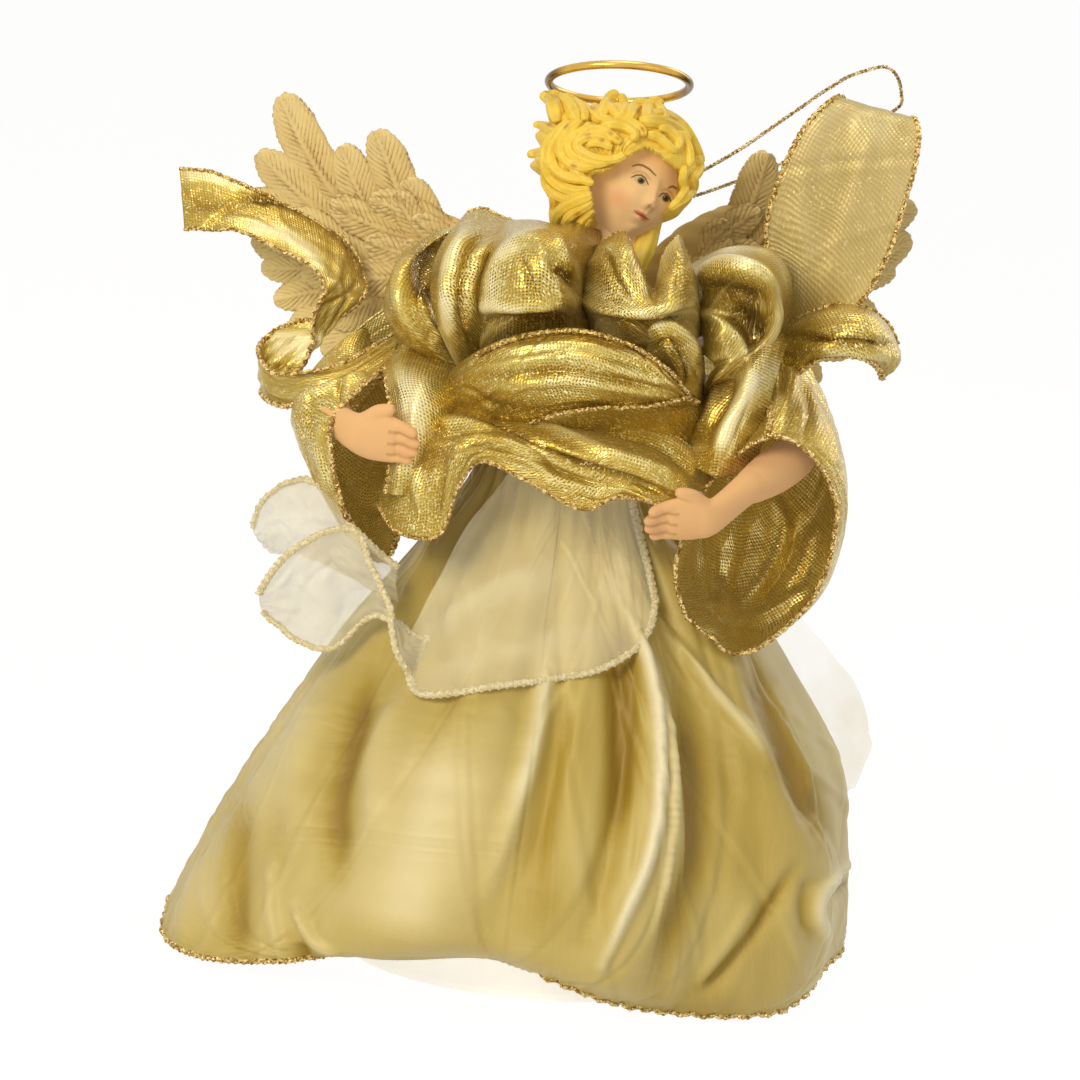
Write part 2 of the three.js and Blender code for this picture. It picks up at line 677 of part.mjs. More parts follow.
function feather(layer, tipOut, tipUp, degrees, longShare, wideShare) {
  const wide = (wingSpan * wideShare) / 2;
  const turn = THREE.MathUtils.degToRad(degrees);
  const along = new THREE.Vector3(cos(turn), 0, sin(turn));
  const aside = new THREE.Vector3(-sin(turn), 0, cos(turn));
  const front = new THREE.Vector3(0, -1, 0);
  const tip = new THREE.Vector3(tipOut, 0, tipUp).multiplyScalar(wingSpan);
  const rings = featherOutlineShares.map(([at, half]) => {
    const level = layer * featherLayerStep + quillHeight * at;
    const middle = tip.clone()
      .addScaledVector(along, (at - 1) * longShare * wingSpan)
      .addScaledVector(front, level);
    return [
      middle.clone().addScaledVector(aside, -wide * half),
      middle.clone().addScaledVector(front, -featherThickness * 0.5),
      middle.clone().addScaledVector(aside, wide * half),
      middle.clone().addScaledVector(front, featherThickness * 0.5 + quillHeight * (1 - at * 0.5)),
    ];
  });
  return loft(rings);
}

function wing(side) {
  const feathers = featherShares[side].map((row) => feather(...row));
  const arm = limb(wingArmShares[side].map(([out, up, size]) => ({
    at: new THREE.Vector3(out * wingSpan, -featherLayerStep * 1.4, up * wingSpan),
    wide: wingArmRadius * size * 0.5,
    high: wingArmRadius * size,
  })), 10);
  const flat = joined(arm, ...feathers);
  const backY = chestHalfWidth * chestDepthShare;
  const place = new THREE.Matrix4()
    .makeTranslation(wingRootAside, backY + featherLayerStep, shoulderZ - wingRootDrop)
    .multiply(new THREE.Matrix4().makeRotationZ(wingSweep[side]));
  const root = new THREE.Vector3(wingRootAside, backY, shoulderZ - wingRootDrop);
  const pin = peg(
    root.clone().add(new THREE.Vector3(0, wingPegLength * 0.2, 0)),
    root.clone().add(new THREE.Vector3(0, -wingPegLength, 0)),
    wingPegRadius, 12);
  const whole = joined(moved(geometryOf(flat), place), pin);
  return largestBody(side === 'left' ? whole : mirrored(whole));
}

// Dress

// Skirt: radius at each height and at twelve angles from the front round by the figure's left, as shares.
const skirtRowShares = [
  { z: 1.0, r: [0.22, 0.22, 0.22, 0.22, 0.22, 0.22, 0.22, 0.22, 0.22, 0.23, 0.24, 0.23] },
  { z: 0.92, r: [0.26, 0.27, 0.28, 0.29, 0.28, 0.27, 0.26, 0.26, 0.27, 0.29, 0.29, 0.27] },
  { z: 0.8, r: [0.36, 0.38, 0.43, 0.48, 0.43, 0.38, 0.36, 0.36, 0.37, 0.39, 0.4, 0.37] },
  { z: 0.6, r: [0.52, 0.56, 0.64, 0.71, 0.62, 0.55, 0.52, 0.52, 0.54, 0.57, 0.56, 0.53] },
  { z: 0.4, r: [0.68, 0.71, 0.81, 0.88, 0.78, 0.68, 0.64, 0.65, 0.68, 0.72, 0.72, 0.69] },
  { z: 0.2, r: [0.77, 0.79, 0.88, 0.93, 0.87, 0.79, 0.76, 0.77, 0.81, 0.86, 0.86, 0.79] },
  { z: 0.06, r: [0.77, 0.77, 0.86, 0.94, 0.92, 0.85, 0.82, 0.83, 0.88, 0.94, 0.96, 0.84] },
  { z: 0.0, r: [0.69, 0.7, 0.82, 0.93, 0.94, 0.87, 0.84, 0.85, 0.9, 0.98, 1.0, 0.8] },
];
const hemLiftShares = [0.08, 0.01, 0.0, 0.06, 0.04, 0.0, 0.02, 0.0, 0.02, 0.02, 0.0, 0.065];
// Folds: degrees from the front at the waist, half way and at the hem, height and width in degrees.
const skirtFolds = [
  { at: [36, 31, 15], proud: 1.0, wide: 9 },
  { at: [10, 4, -8], proud: -0.7, wide: 9 },
  { at: [-18, -20, -24], proud: 0.8, wide: 11 },
  { at: [-44, -46, -45], proud: -0.8, wide: 9 },
  { at: [-68, -70, -70], proud: 0.7, wide: 11 },
  { at: [56, 62, 62], proud: 0.9, wide: 9 },
  { at: [48, 46, 38], proud: -0.9, wide: 8 },
  { at: [82, 86, 84], proud: -0.7, wide: 9 },
  { at: [110, 112, 112], proud: 0.8, wide: 11 },
  { at: [140, 140, 138], proud: -0.7, wide: 11 },
  { at: [168, 166, 165], proud: 0.8, wide: 11 },
  { at: [-168, -168, -168], proud: -0.8, wide: 10 },
  { at: [-142, -142, -144], proud: 0.8, wide: 11 },
  { at: [-114, -116, -116], proud: -0.7, wide: 11 },
  { at: [-94, -94, -94], proud: 0.6, wide: 9 },
];

function ringCurve(shares) {
  return smooth(shares.map((share) => new THREE.Vector3(share, 0, 0)), true);
}

const skirtCurves = skirtRowShares.map(({ r }) => ringCurve(r));
const hemLiftCurve = ringCurve(hemLiftShares);

// A place on the skirt: turn from 0 to 1 round from the front, drop from 0 at the waist to 1 at the hem.
function skirtPoint(turn, drop, standOff = 0) {
  const around = ((turn % 1) + 1) % 1;
  const reach = (curve) => curve.getPoint(around).x;
  const rows = skirtCurves.map((curve, k) => new THREE.Vector3(reach(curve), 0, skirtRowShares[k].z));
  const spot = smooth(rows).getPoint(drop);
  const lift = hemLiftCurve.getPoint(around).x;
  const degrees = around * 360;
  let fold = 0;
  for (const { at, proud, wide } of skirtFolds) {
    const [waist, half, hem] = at;
    const here = drop < 0.5 ? waist + (half - waist) * drop * 2 : half + (hem - half) * (drop * 2 - 1);
    const away = (((degrees - here) % 360 + 540) % 360 - 180) / wide;
    fold += proud * exp(-away * away);
  }
  const grow = sin(min(1, drop * 1.25) * PI / 2) * (1 - 0.35 * drop * drop);
  const radius = spot.x * skirtHemRadius + fold * skirtFoldHeight * grow + standOff;
  const rise = lift * (1 - spot.z) + spot.z;
  const z = hemClear + (skirtHeight - hemClear) * rise + standOff * 0.4;
  return new THREE.Vector3(radius * sin(around * 2 * PI), -radius * cos(around * 2 * PI), z);
}

// The stitched gold edge of the skirt, a closed ring of cord.
function hemBraid() {
  const steps = 48;
  const points = Array.from({ length: steps }, (_, i) => skirtPoint(i / steps, 1));
  const below = new THREE.Vector3(0, 0, -(hemBraidRadius + seatGap * 2));
  points.forEach((point) => point.add(below));
  return wire(smooth(points, true), hemBraidRadius, 5, steps);
}

function skirt(cone, torso, braid) {
  const cloth = sheet((u, v) => skirtPoint(u, v), 54, 6, skirtThickness, true);
  return seated(cloth, [cone, torso, braid]);
}

const waistAnchor = new THREE.Vector3(0, 0, waistZ);
const shoulderAnchor = new THREE.Vector3(0, 0, shoulderZ);

// Bodice wrap: rows from its top edge down, each from the figure's right side round to its left.
const bodiceShares = [
  [
    [-0.36, 0.02, -0.20], [-0.33, -0.22, -0.18], [-0.22, -0.33, -0.10], [-0.07, -0.37, -0.04],
    [0.08, -0.37, -0.04], [0.22, -0.32, -0.10], [0.33, -0.20, -0.19], [0.36, 0.02, -0.21],
  ],
  [
    [-0.36, 0.02, -0.26], [-0.34, -0.25, -0.23], [-0.22, -0.38, -0.19], [-0.06, -0.42, -0.15],
    [0.10, -0.42, -0.13], [0.23, -0.37, -0.15], [0.34, -0.22, -0.21], [0.36, 0.02, -0.25],
  ],
  [
    [-0.34, 0.02, -0.32], [-0.29, -0.20, -0.31], [-0.18, -0.30, -0.32], [-0.04, -0.34, -0.31],
    [0.11, -0.34, -0.29], [0.23, -0.31, -0.27], [0.33, -0.21, -0.26], [0.36, 0.02, -0.29],
  ],
  [
    [-0.28, 0.02, -0.46], [-0.24, -0.15, -0.46], [-0.15, -0.23, -0.46], [-0.03, -0.26, -0.46],
    [0.10, -0.25, -0.46], [0.19, -0.21, -0.46], [0.26, -0.12, -0.46], [0.29, 0.02, -0.46],
  ],
];

// Sash, held up by the hands: rows from its top edge down, each from the figure's right to its left.
const sashShares = [
  [
    [-0.44, -0.24, 0.44], [-0.38, -0.28, 0.44], [-0.31, -0.31, 0.45], [-0.22, -0.33, 0.44],
    [-0.10, -0.34, 0.43], [0.03, -0.34, 0.43], [0.17, -0.33, 0.43], [0.28, -0.31, 0.41],
    [0.36, -0.30, 0.36], [0.42, -0.30, 0.29],
  ],
  [
    [-0.47, -0.30, 0.35], [-0.42, -0.40, 0.34], [-0.35, -0.46, 0.38], [-0.27, -0.48, 0.40],
    [-0.15, -0.50, 0.40], [-0.02, -0.52, 0.38], [0.12, -0.53, 0.37], [0.23, -0.52, 0.34],
    [0.31, -0.50, 0.30], [0.37, -0.46, 0.27],
  ],
  [
    [-0.52, -0.34, 0.23], [-0.46, -0.44, 0.21], [-0.37, -0.52, 0.25], [-0.32, -0.56, 0.34],
    [-0.22, -0.54, 0.36], [-0.07, -0.52, 0.32], [0.09, -0.50, 0.28], [0.20, -0.50, 0.29],
    [0.28, -0.51, 0.27], [0.35, -0.48, 0.25],
  ],
  [
    [-0.54, -0.34, 0.12], [-0.47, -0.42, 0.06], [-0.35, -0.50, 0.08], [-0.31, -0.52, 0.23],
    [-0.25, -0.52, 0.31], [-0.11, -0.54, 0.27], [0.05, -0.55, 0.21], [0.15, -0.51, 0.25],
    [0.25, -0.53, 0.25], [0.33, -0.49, 0.23],
  ],
];

// Collar: one gathered ribbon that shows as puffs. Rows run across the ribbon.
const collarShares = {
  collar_puff_far_right: [
    [
      [-0.36, 0.04, 0.12], [-0.46, -0.02, 0.16], [-0.54, -0.10, 0.10], [-0.58, -0.18, -0.02],
      [-0.54, -0.20, -0.13], [-0.40, -0.14, -0.19],
    ],
    [
      [-0.34, -0.02, 0.12], [-0.44, -0.12, 0.15], [-0.50, -0.26, 0.10], [-0.52, -0.34, 0.01],
      [-0.49, -0.32, -0.11], [-0.36, -0.20, -0.18],
    ],
    [
      [-0.32, -0.06, 0.11], [-0.42, -0.17, 0.14], [-0.46, -0.28, 0.09], [-0.47, -0.35, 0.01],
      [-0.45, -0.34, -0.10], [-0.33, -0.22, -0.17],
    ],
  ],
  collar_puff_right: [
    [
      [-0.30, 0.00, 0.14], [-0.40, -0.10, 0.18], [-0.43, -0.25, 0.09], [-0.42, -0.31, -0.02],
      [-0.36, -0.27, -0.14], [-0.26, -0.16, -0.18],
    ],
    [
      [-0.24, -0.04, 0.16], [-0.34, -0.22, 0.21], [-0.37, -0.40, 0.13], [-0.36, -0.46, 0.01],
      [-0.32, -0.36, -0.12], [-0.24, -0.20, -0.16],
    ],
    [
      [-0.20, -0.06, 0.14], [-0.30, -0.20, 0.18], [-0.30, -0.34, 0.11], [-0.295, -0.38, 0.02],
      [-0.29, -0.31, -0.09], [-0.22, -0.18, -0.13],
    ],
  ],
  collar_puff_middle: [
    [
      [-0.27, -0.08, 0.06], [-0.28, -0.26, 0.13], [-0.24, -0.34, 0.21], [-0.15, -0.34, 0.24],
      [-0.06, -0.26, 0.235], [-0.03, -0.10, 0.16],
    ],
    [
      [-0.26, -0.18, 0.04], [-0.28, -0.38, 0.08], [-0.23, -0.48, 0.16], [-0.14, -0.50, 0.19],
      [-0.06, -0.42, 0.16], [-0.03, -0.20, 0.09],
    ],
    [
      [-0.26, -0.20, 0.00], [-0.28, -0.40, 0.01], [-0.22, -0.50, 0.06], [-0.12, -0.52, 0.06],
      [-0.05, -0.44, 0.04], [-0.03, -0.22, 0.00],
    ],
    [
      [-0.24, -0.16, -0.10], [-0.26, -0.28, -0.12], [-0.20, -0.31, -0.10], [-0.12, -0.33, -0.08],
      [-0.05, -0.33, -0.07], [-0.03, -0.20, -0.06],
    ],
  ],
  collar_puff_throat: [
    [
      [0.00, -0.12, 0.12], [0.04, -0.22, 0.19], [0.09, -0.28, 0.225], [0.15, -0.32, 0.18],
      [0.19, -0.34, 0.12], [0.22, -0.30, 0.19], [0.26, -0.24, 0.23], [0.28, -0.10, 0.15],
    ],
    [
      [0.00, -0.18, 0.10], [0.03, -0.38, 0.16], [0.09, -0.46, 0.18], [0.15, -0.48, 0.15],
      [0.20, -0.48, 0.10], [0.24, -0.46, 0.15], [0.28, -0.36, 0.17], [0.30, -0.14, 0.11],
    ],
    [
      [0.00, -0.20, 0.05], [0.03, -0.42, 0.06], [0.09, -0.50, 0.05], [0.16, -0.52, 0.06],
      [0.22, -0.52, 0.06], [0.28, -0.47, 0.08], [0.30, -0.34, 0.09], [0.31, -0.14, 0.07],
    ],
    [
      [0.01, -0.16, -0.05], [0.04, -0.33, -0.06], [0.10, -0.38, -0.035], [0.17, -0.43, -0.015],
      [0.24, -0.44, -0.02], [0.28, -0.40, -0.02], [0.30, -0.28, 0.00], [0.31, -0.12, 0.02],
    ],
  ],
  collar_puff_low: [
    [
      [0.14, -0.20, 0.00], [0.15, -0.38, -0.035], [0.20, -0.41, -0.04], [0.26, -0.40, -0.04],
      [0.31, -0.32, -0.03], [0.30, -0.14, -0.01],
    ],
    [
      [0.15, -0.18, -0.04], [0.16, -0.39, -0.09], [0.21, -0.44, -0.10], [0.27, -0.42, -0.10],
      [0.32, -0.33, -0.09], [0.31, -0.14, -0.06],
    ],
    [
      [0.18, -0.16, -0.10], [0.22, -0.35, -0.11], [0.25, -0.38, -0.135], [0.29, -0.35, -0.15],
      [0.325, -0.28, -0.16], [0.32, -0.12, -0.12],
    ],
  ],
  bodice_side_left: [
    [[0.36, -0.16, -0.17], [0.42, -0.26, -0.12], [0.48, -0.28, -0.06], [0.53, -0.24, -0.02]],
    [[0.35, -0.24, -0.25], [0.41, -0.34, -0.25], [0.47, -0.37, -0.21], [0.53, -0.34, -0.15]],
    [[0.34, -0.32, -0.30], [0.39, -0.40, -0.36], [0.44, -0.41, -0.36], [0.50, -0.38, -0.28]],
  ],
  sash_flap_right: [
    [[-0.53, -0.30, -0.17], [-0.49, -0.31, -0.16], [-0.44, -0.30, -0.18], [-0.39, -0.27, -0.20]],
    [[-0.52, -0.42, -0.32], [-0.49, -0.44, -0.33], [-0.45, -0.43, -0.33], [-0.40, -0.38, -0.33]],
    [[-0.52, -0.44, -0.50], [-0.49, -0.45, -0.51], [-0.45, -0.44, -0.52], [-0.41, -0.40, -0.52]],
  ],
  collar_puff_left: [
    [
      [0.28, 0.00, 0.11], [0.33, -0.06, 0.14], [0.39, -0.02, 0.18], [0.47, 0.01, 0.20],
      [0.55, 0.04, 0.17], [0.60, 0.06, 0.09], [0.56, 0.08, -0.02],
    ],
    [
      [0.29, -0.06, 0.09], [0.34, -0.22, 0.12], [0.40, -0.32, 0.19], [0.48, -0.32, 0.21],
      [0.55, -0.20, 0.15], [0.59, -0.10, 0.06], [0.54, 0.00, -0.06],
    ],
    [
      [0.30, -0.10, 0.04], [0.35, -0.31, 0.06], [0.41, -0.36, 0.09], [0.48, -0.35, 0.08],
      [0.545, -0.27, 0.03], [0.58, -0.16, -0.04], [0.52, -0.02, -0.11],
    ],
    [
      [0.31, -0.10, -0.03], [0.36, -0.29, -0.05], [0.41, -0.33, -0.08], [0.46, -0.32, -0.10],
      [0.51, -0.26, -0.10], [0.54, -0.18, -0.09], [0.50, -0.04, -0.14],
    ],
  ],
};

// Sleeves: rings from the shoulder to the mouth, each from the top round by the outer side.
const sleeveShares = {
  left_sleeve: [
    [
      [0.33, 0.02, 0.04], [0.35, 0.12, 0.02], [0.36, 0.17, -0.06], [0.35, 0.16, -0.14],
      [0.34, 0.09, -0.17], [0.33, 0.00, -0.14], [0.32, -0.06, -0.06], [0.32, -0.05, 0.02],
    ],
    [
      [0.49, -0.01, 0.04], [0.56, 0.10, 0.00], [0.60, 0.17, -0.10], [0.56, 0.17, -0.20],
      [0.49, 0.10, -0.22], [0.42, 0.02, -0.15], [0.40, -0.07, -0.05], [0.42, -0.08, 0.02],
    ],
    [
      [0.61, -0.07, -0.10], [0.72, 0.05, -0.20], [0.77, 0.13, -0.36], [0.72, 0.12, -0.54],
      [0.59, 0.05, -0.60], [0.46, -0.02, -0.48], [0.41, -0.09, -0.33], [0.48, -0.11, -0.18],
    ],
    [
      [0.60, -0.28, -0.19], [0.76, -0.26, -0.29], [0.82, -0.15, -0.49], [0.78, -0.06, -0.74],
      [0.61, -0.10, -0.88], [0.44, -0.18, -0.77], [0.385, -0.22, -0.60], [0.45, -0.20, -0.36],
    ],
    [
      [0.55, -0.42, -0.265], [0.69, -0.39, -0.30], [0.79, -0.32, -0.48], [0.75, -0.29, -0.74],
      [0.56, -0.34, -0.92], [0.40, -0.42, -0.81], [0.34, -0.46, -0.66], [0.40, -0.36, -0.44],
    ],
  ],
  right_sleeve: [
    [
      [-0.33, 0.02, 0.02], [-0.35, -0.04, -0.01], [-0.36, -0.05, -0.07], [-0.35, -0.01, -0.15],
      [-0.34, 0.06, -0.19], [-0.33, 0.13, -0.18], [-0.32, 0.16, -0.10], [-0.32, 0.11, -0.02],
    ],
    [
      [-0.50, 0.02, -0.02], [-0.56, -0.04, -0.07], [-0.59, -0.05, -0.15], [-0.58, -0.02, -0.25],
      [-0.53, 0.05, -0.32], [-0.46, 0.13, -0.30], [-0.43, 0.17, -0.20], [-0.44, 0.12, -0.08],
    ],
    [
      [-0.62, -0.06, -0.14], [-0.73, -0.14, -0.20], [-0.79, -0.16, -0.32], [-0.76, -0.12, -0.44],
      [-0.67, -0.06, -0.56], [-0.56, 0.02, -0.62], [-0.50, 0.08, -0.46], [-0.52, 0.06, -0.26],
    ],
    [
      [-0.63, -0.16, -0.22], [-0.75, -0.28, -0.27], [-0.81, -0.31, -0.37], [-0.77, -0.28, -0.49],
      [-0.67, -0.22, -0.66], [-0.54, -0.12, -0.76], [-0.49, -0.04, -0.62], [-0.53, -0.02, -0.38],
    ],
    [
      [-0.57, -0.24, -0.25], [-0.65, -0.38, -0.29], [-0.70, -0.44, -0.37], [-0.68, -0.42, -0.48],
      [-0.63, -0.35, -0.64], [-0.52, -0.26, -0.78], [-0.47, -0.16, -0.69], [-0.49, -0.12, -0.46],
    ],
  ],
};

// Gold ribbon that stands behind the shoulders: two rows, one for each edge of the ribbon.
const ribbonShares = {
  shoulder_ruffle_left: [
    [
      [0.52, 0.24, -0.10], [0.62, 0.16, -0.04], [0.70, 0.13, 0.00], [0.78, 0.16, 0.04],
      [0.86, 0.18, 0.03], [0.92, 0.16, -0.03], [0.935, 0.09, -0.08],
    ],
    [
      [0.52, 0.20, -0.14], [0.62, 0.02, -0.09], [0.70, -0.03, -0.03], [0.79, -0.04, -0.01],
      [0.87, -0.02, -0.03], [0.91, 0.01, -0.07], [0.92, 0.03, -0.11],
    ],
    [
      [0.52, 0.20, -0.18], [0.62, -0.06, -0.13], [0.69, -0.12, -0.08], [0.76, -0.14, -0.06],
      [0.83, -0.13, -0.09], [0.885, -0.07, -0.12], [0.905, -0.01, -0.14],
    ],
  ],
  ribbon_tail_right: [
    [
      [-1.25, 0.36, 0.22], [-1.15, 0.32, 0.22], [-1.03, 0.30, 0.19], [-0.95, 0.30, 0.17],
      [-0.85, 0.30, 0.13], [-0.73, 0.28, 0.07], [-0.66, 0.22, -0.03], [-0.67, 0.14, -0.09],
      [-0.74, 0.08, -0.14], [-0.85, 0.08, -0.16], [-0.93, 0.03, -0.21], [-0.94, -0.08, -0.25],
      [-0.88, -0.18, -0.28], [-0.80, -0.24, -0.25], [-0.68, -0.24, -0.21], [-0.54, -0.12, -0.12],
    ],
    [
      [-1.21, 0.22, 0.06], [-1.12, 0.20, 0.07], [-1.05, 0.18, 0.08], [-0.98, 0.16, 0.06],
      [-0.88, 0.12, 0.03], [-0.80, 0.08, 0.00], [-0.77, 0.04, -0.05], [-0.79, 0.01, -0.11],
      [-0.80, 0.00, -0.25], [-0.86, -0.01, -0.31], [-0.92, -0.04, -0.35], [-0.90, -0.15, -0.36],
      [-0.84, -0.24, -0.36], [-0.77, -0.30, -0.32], [-0.67, -0.30, -0.29], [-0.54, -0.20, -0.20],
    ],
  ],
  bow_loop_left: [
    [
      [0.34, 0.30, -0.14], [0.50, 0.20, -0.06], [0.53, 0.10, 0.12], [0.50, 0.09, 0.27],
      [0.52, 0.09, 0.42], [0.57, 0.10, 0.57], [0.64, 0.13, 0.66], [0.685, 0.20, 0.66],
      [0.68, 0.24, 0.52], [0.63, 0.25, 0.32], [0.55, 0.26, 0.10], [0.36, 0.33, -0.08],
    ],
    [
      [0.36, 0.26, -0.28], [0.60, 0.12, -0.10], [0.78, 0.05, 0.07], [0.86, 0.06, 0.24],
      [0.89, 0.07, 0.39], [0.91, 0.08, 0.51], [0.91, 0.11, 0.61], [0.885, 0.18, 0.63],
      [0.86, 0.23, 0.50], [0.82, 0.24, 0.32], [0.70, 0.24, 0.08], [0.38, 0.31, -0.20],
    ],
  ],
};

// The bow behind the back: loops that hang between the wings, the knot and one plain tail.
const bowShares = {
  bow_loop_back: [
    [
      [0.0, 0.26, -0.20], [-0.12, 0.36, -0.14], [-0.28, 0.46, -0.18], [-0.34, 0.48, -0.30],
      [-0.24, 0.46, -0.36], [-0.10, 0.37, -0.30], [0.0, 0.26, -0.24],
    ],
    [
      [0.0, 0.27, -0.27], [-0.12, 0.42, -0.34], [-0.26, 0.52, -0.42], [-0.31, 0.52, -0.54],
      [-0.22, 0.48, -0.56], [-0.10, 0.38, -0.44], [0.0, 0.26, -0.29],
    ],
  ],
  bow_tail_back: [
    [
      [0.05, 0.26, -0.26], [0.12, 0.36, -0.42], [0.18, 0.46, -0.62], [0.16, 0.57, -0.82],
      [0.22, 0.66, -1.00],
    ],
    [
      [-0.04, 0.26, -0.28], [-0.07, 0.38, -0.46], [-0.07, 0.50, -0.66], [-0.11, 0.62, -0.84],
      [-0.08, 0.71, -1.00],
    ],
  ],
};

// Organza: the panel lies on the skirt, as turn in degrees and drop; the flounces stand free.
const organzaPanelShares = [
  [[-40, 0.02], [-24, 0.02], [-6, 0.02], [12, 0.02], [30, 0.02], [44, 0.02]],
  [[-50, 0.17], [-30, 0.18], [-8, 0.19], [12, 0.19], [30, 0.17], [46, 0.14]],
  [[-50, 0.31], [-32, 0.33], [-10, 0.33], [12, 0.33], [30, 0.29], [44, 0.23]],
  [[-50, 0.41], [-35, 0.47], [-15, 0.45], [8, 0.42], [26, 0.37], [41, 0.3]],
];
const flounceShares = {
  organza_flounce_side: [
    [
      [-0.855, -0.34, -0.18], [-0.82, -0.38, -0.10], [-0.76, -0.42, -0.02], [-0.66, -0.44, 0.05],
      [-0.58, -0.44, 0.04], [-0.52, -0.44, -0.06], [-0.47, -0.46, -0.18], [-0.42, -0.48, -0.30],
      [-0.35, -0.38, -0.38],
    ],
    [
      [-0.85, -0.30, -0.22], [-0.79, -0.33, -0.19], [-0.73, -0.36, -0.15], [-0.66, -0.37, -0.11],
      [-0.58, -0.37, -0.09], [-0.51, -0.38, -0.11], [-0.46, -0.41, -0.19], [-0.41, -0.44, -0.28],
      [-0.33, -0.35, -0.32],
    ],
    [
      [-0.84, -0.24, -0.25], [-0.77, -0.26, -0.30], [-0.69, -0.28, -0.33], [-0.62, -0.29, -0.32],
      [-0.55, -0.30, -0.24], [-0.49, -0.33, -0.20], [-0.44, -0.36, -0.22], [-0.38, -0.38, -0.25],
      [-0.30, -0.32, -0.26],
    ],
  ],
  organza_flounce_top: [
    [
      [-0.90, -0.16, -0.02], [-0.88, -0.17, 0.05], [-0.82, -0.19, 0.12], [-0.75, -0.24, 0.15],
      [-0.68, -0.30, 0.13], [-0.60, -0.34, 0.04], [-0.46, -0.34, -0.06],
    ],
    [
      [-0.89, -0.24, -0.03], [-0.87, -0.28, 0.01], [-0.82, -0.33, 0.045], [-0.76, -0.37, 0.045],
      [-0.69, -0.41, 0.03], [-0.60, -0.42, -0.02], [-0.46, -0.38, -0.10],
    ],
    [
      [-0.86, -0.20, -0.07], [-0.83, -0.23, -0.08], [-0.79, -0.28, -0.07], [-0.75, -0.32, -0.06],
      [-0.68, -0.36, -0.07], [-0.59, -0.38, -0.10], [-0.45, -0.34, -0.16],
    ],
  ],
  organza_flounce_back: [
    [
      [0.20, 0.18, 0.07], [0.46, 0.36, 0.02], [0.68, 0.46, -0.16], [0.88, 0.46, -0.34],
      [0.97, 0.42, -0.46], [1.00, 0.40, -0.58], [0.97, 0.40, -0.70],
    ],
    [
      [0.14, 0.23, 0.05], [0.38, 0.43, -0.02], [0.60, 0.58, -0.24], [0.76, 0.60, -0.46],
      [0.84, 0.54, -0.60], [0.88, 0.50, -0.70], [0.90, 0.46, -0.78],
    ],
  ],
};

function organzaPanel() {
  const spotOf = ([turn, drop]) => new THREE.Vector3(turn, drop, 0);
  const rows = organzaPanelShares.map((row) => smooth(row.map(spotOf)));
  return (u, v) => {
    const spot = smooth(rows.map((row) => row.getPoint(u))).getPoint(v);
    return skirtPoint(spot.x / 360, spot.y, organzaStandOff);
  };
}

// Hanging loop

const neckTrimAnchor = neckFoot.clone().lerp(neckHead, 0.3);
// The gold edge of the neckline, round the neck and down to a point in front.
const neckTrimShares = [
  [0, 1.16, 0.5], [-0.85, 0.82, 0.42], [-1.16, 0, 0.2], [-0.82, -0.85, -0.1], [-0.2, -1.3, -0.6],
  [0.3, -1.4, -1.0],
  [0.7, -1.1, -0.5], [1.12, -0.5, -0.05], [1.16, 0.2, 0.2], [0.8, 0.85, 0.4],
];
// Middle of the eyelet, as shares of the cord span from the shoulder line.
const eyeletShares = [0.052, 0.115, 0.282];
// Route of the loop in the same shares, from one end in the eyelet round to the other.
const cordShares = [
  [0.052, 0.125, 0.292], [0.056, 0.16, 0.293], [0.086, 0.19, 0.3], [0.14, 0.21, 0.324],
  [0.205, 0.205, 0.356],
  [0.273, 0.18, 0.397], [0.397, 0.14, 0.494], [0.505, 0.125, 0.591], [0.57, 0.135, 0.646],
  [0.605, 0.15, 0.676],
  [0.64, 0.165, 0.702], [0.685, 0.175, 0.736], [0.735, 0.18, 0.76], [0.792, 0.19, 0.777],
  [0.83, 0.21, 0.752],
  [0.85, 0.24, 0.7], [0.846, 0.27, 0.652], [0.75, 0.36, 0.573], [0.64, 0.435, 0.495], [0.5, 0.42, 0.413],
  [0.406, 0.37, 0.37], [0.33, 0.28, 0.344], [0.28, 0.23, 0.328], [0.2, 0.21, 0.298], [0.13, 0.2, 0.278],
  [0.08, 0.185, 0.271], [0.055, 0.16, 0.272], [0.052, 0.125, 0.272],
];

function hangingLoop() {
  return wire(smooth(placed(cordShares, cordSpan, shoulderAnchor)), cordRadius, 8, 60);
}

// Put together

const materials = {
  card: new THREE.MeshStandardMaterial({ color: 0xe9e4d8, roughness: 0.8 }),
  foam: new THREE.MeshStandardMaterial({ color: 0xe4dcc4, roughness: 0.9 }),
  skin: new THREE.MeshStandardMaterial({ color: 0xd9a884, roughness: 0.55 }),
  hair: new THREE.MeshStandardMaterial({ color: 0xf0c23c, roughness: 0.5 }),
  plated: new THREE.MeshStandardMaterial({ color: 0xc9912c, roughness: 0.2, metalness: 1 }),
  steel: new THREE.MeshStandardMaterial({ color: 0xa8a8a4, roughness: 0.4, metalness: 1 }),
  wing: new THREE.MeshStandardMaterial({ color: 0xe9d5a4, roughness: 0.6 }),
  satin: new THREE.MeshStandardMaterial({ color: 0xe6d795, roughness: 0.35 }),
  lame: new THREE.MeshStandardMaterial({ color: 0xcda545, roughness: 0.35, metalness: 0.7 }),
  organza: new THREE.MeshStandardMaterial({
    color: 0xe8e4da, roughness: 0.5, transparent: true, opacity: 0.7,
  }),
  braid: new THREE.MeshStandardMaterial({ color: 0xb98a3c, roughness: 0.35, metalness: 0.8 }),
};

const angel = new THREE.Group();
const made = {};

function add(name, solid, material) {
  made[name] = solid;
  const mesh = new THREE.Mesh(geometryOf(solid), materials[material]);
  mesh.name = name;
  angel.add(mesh);
}

function near(...names) {
  return names.map((name) => made[name]).filter(Boolean);
}

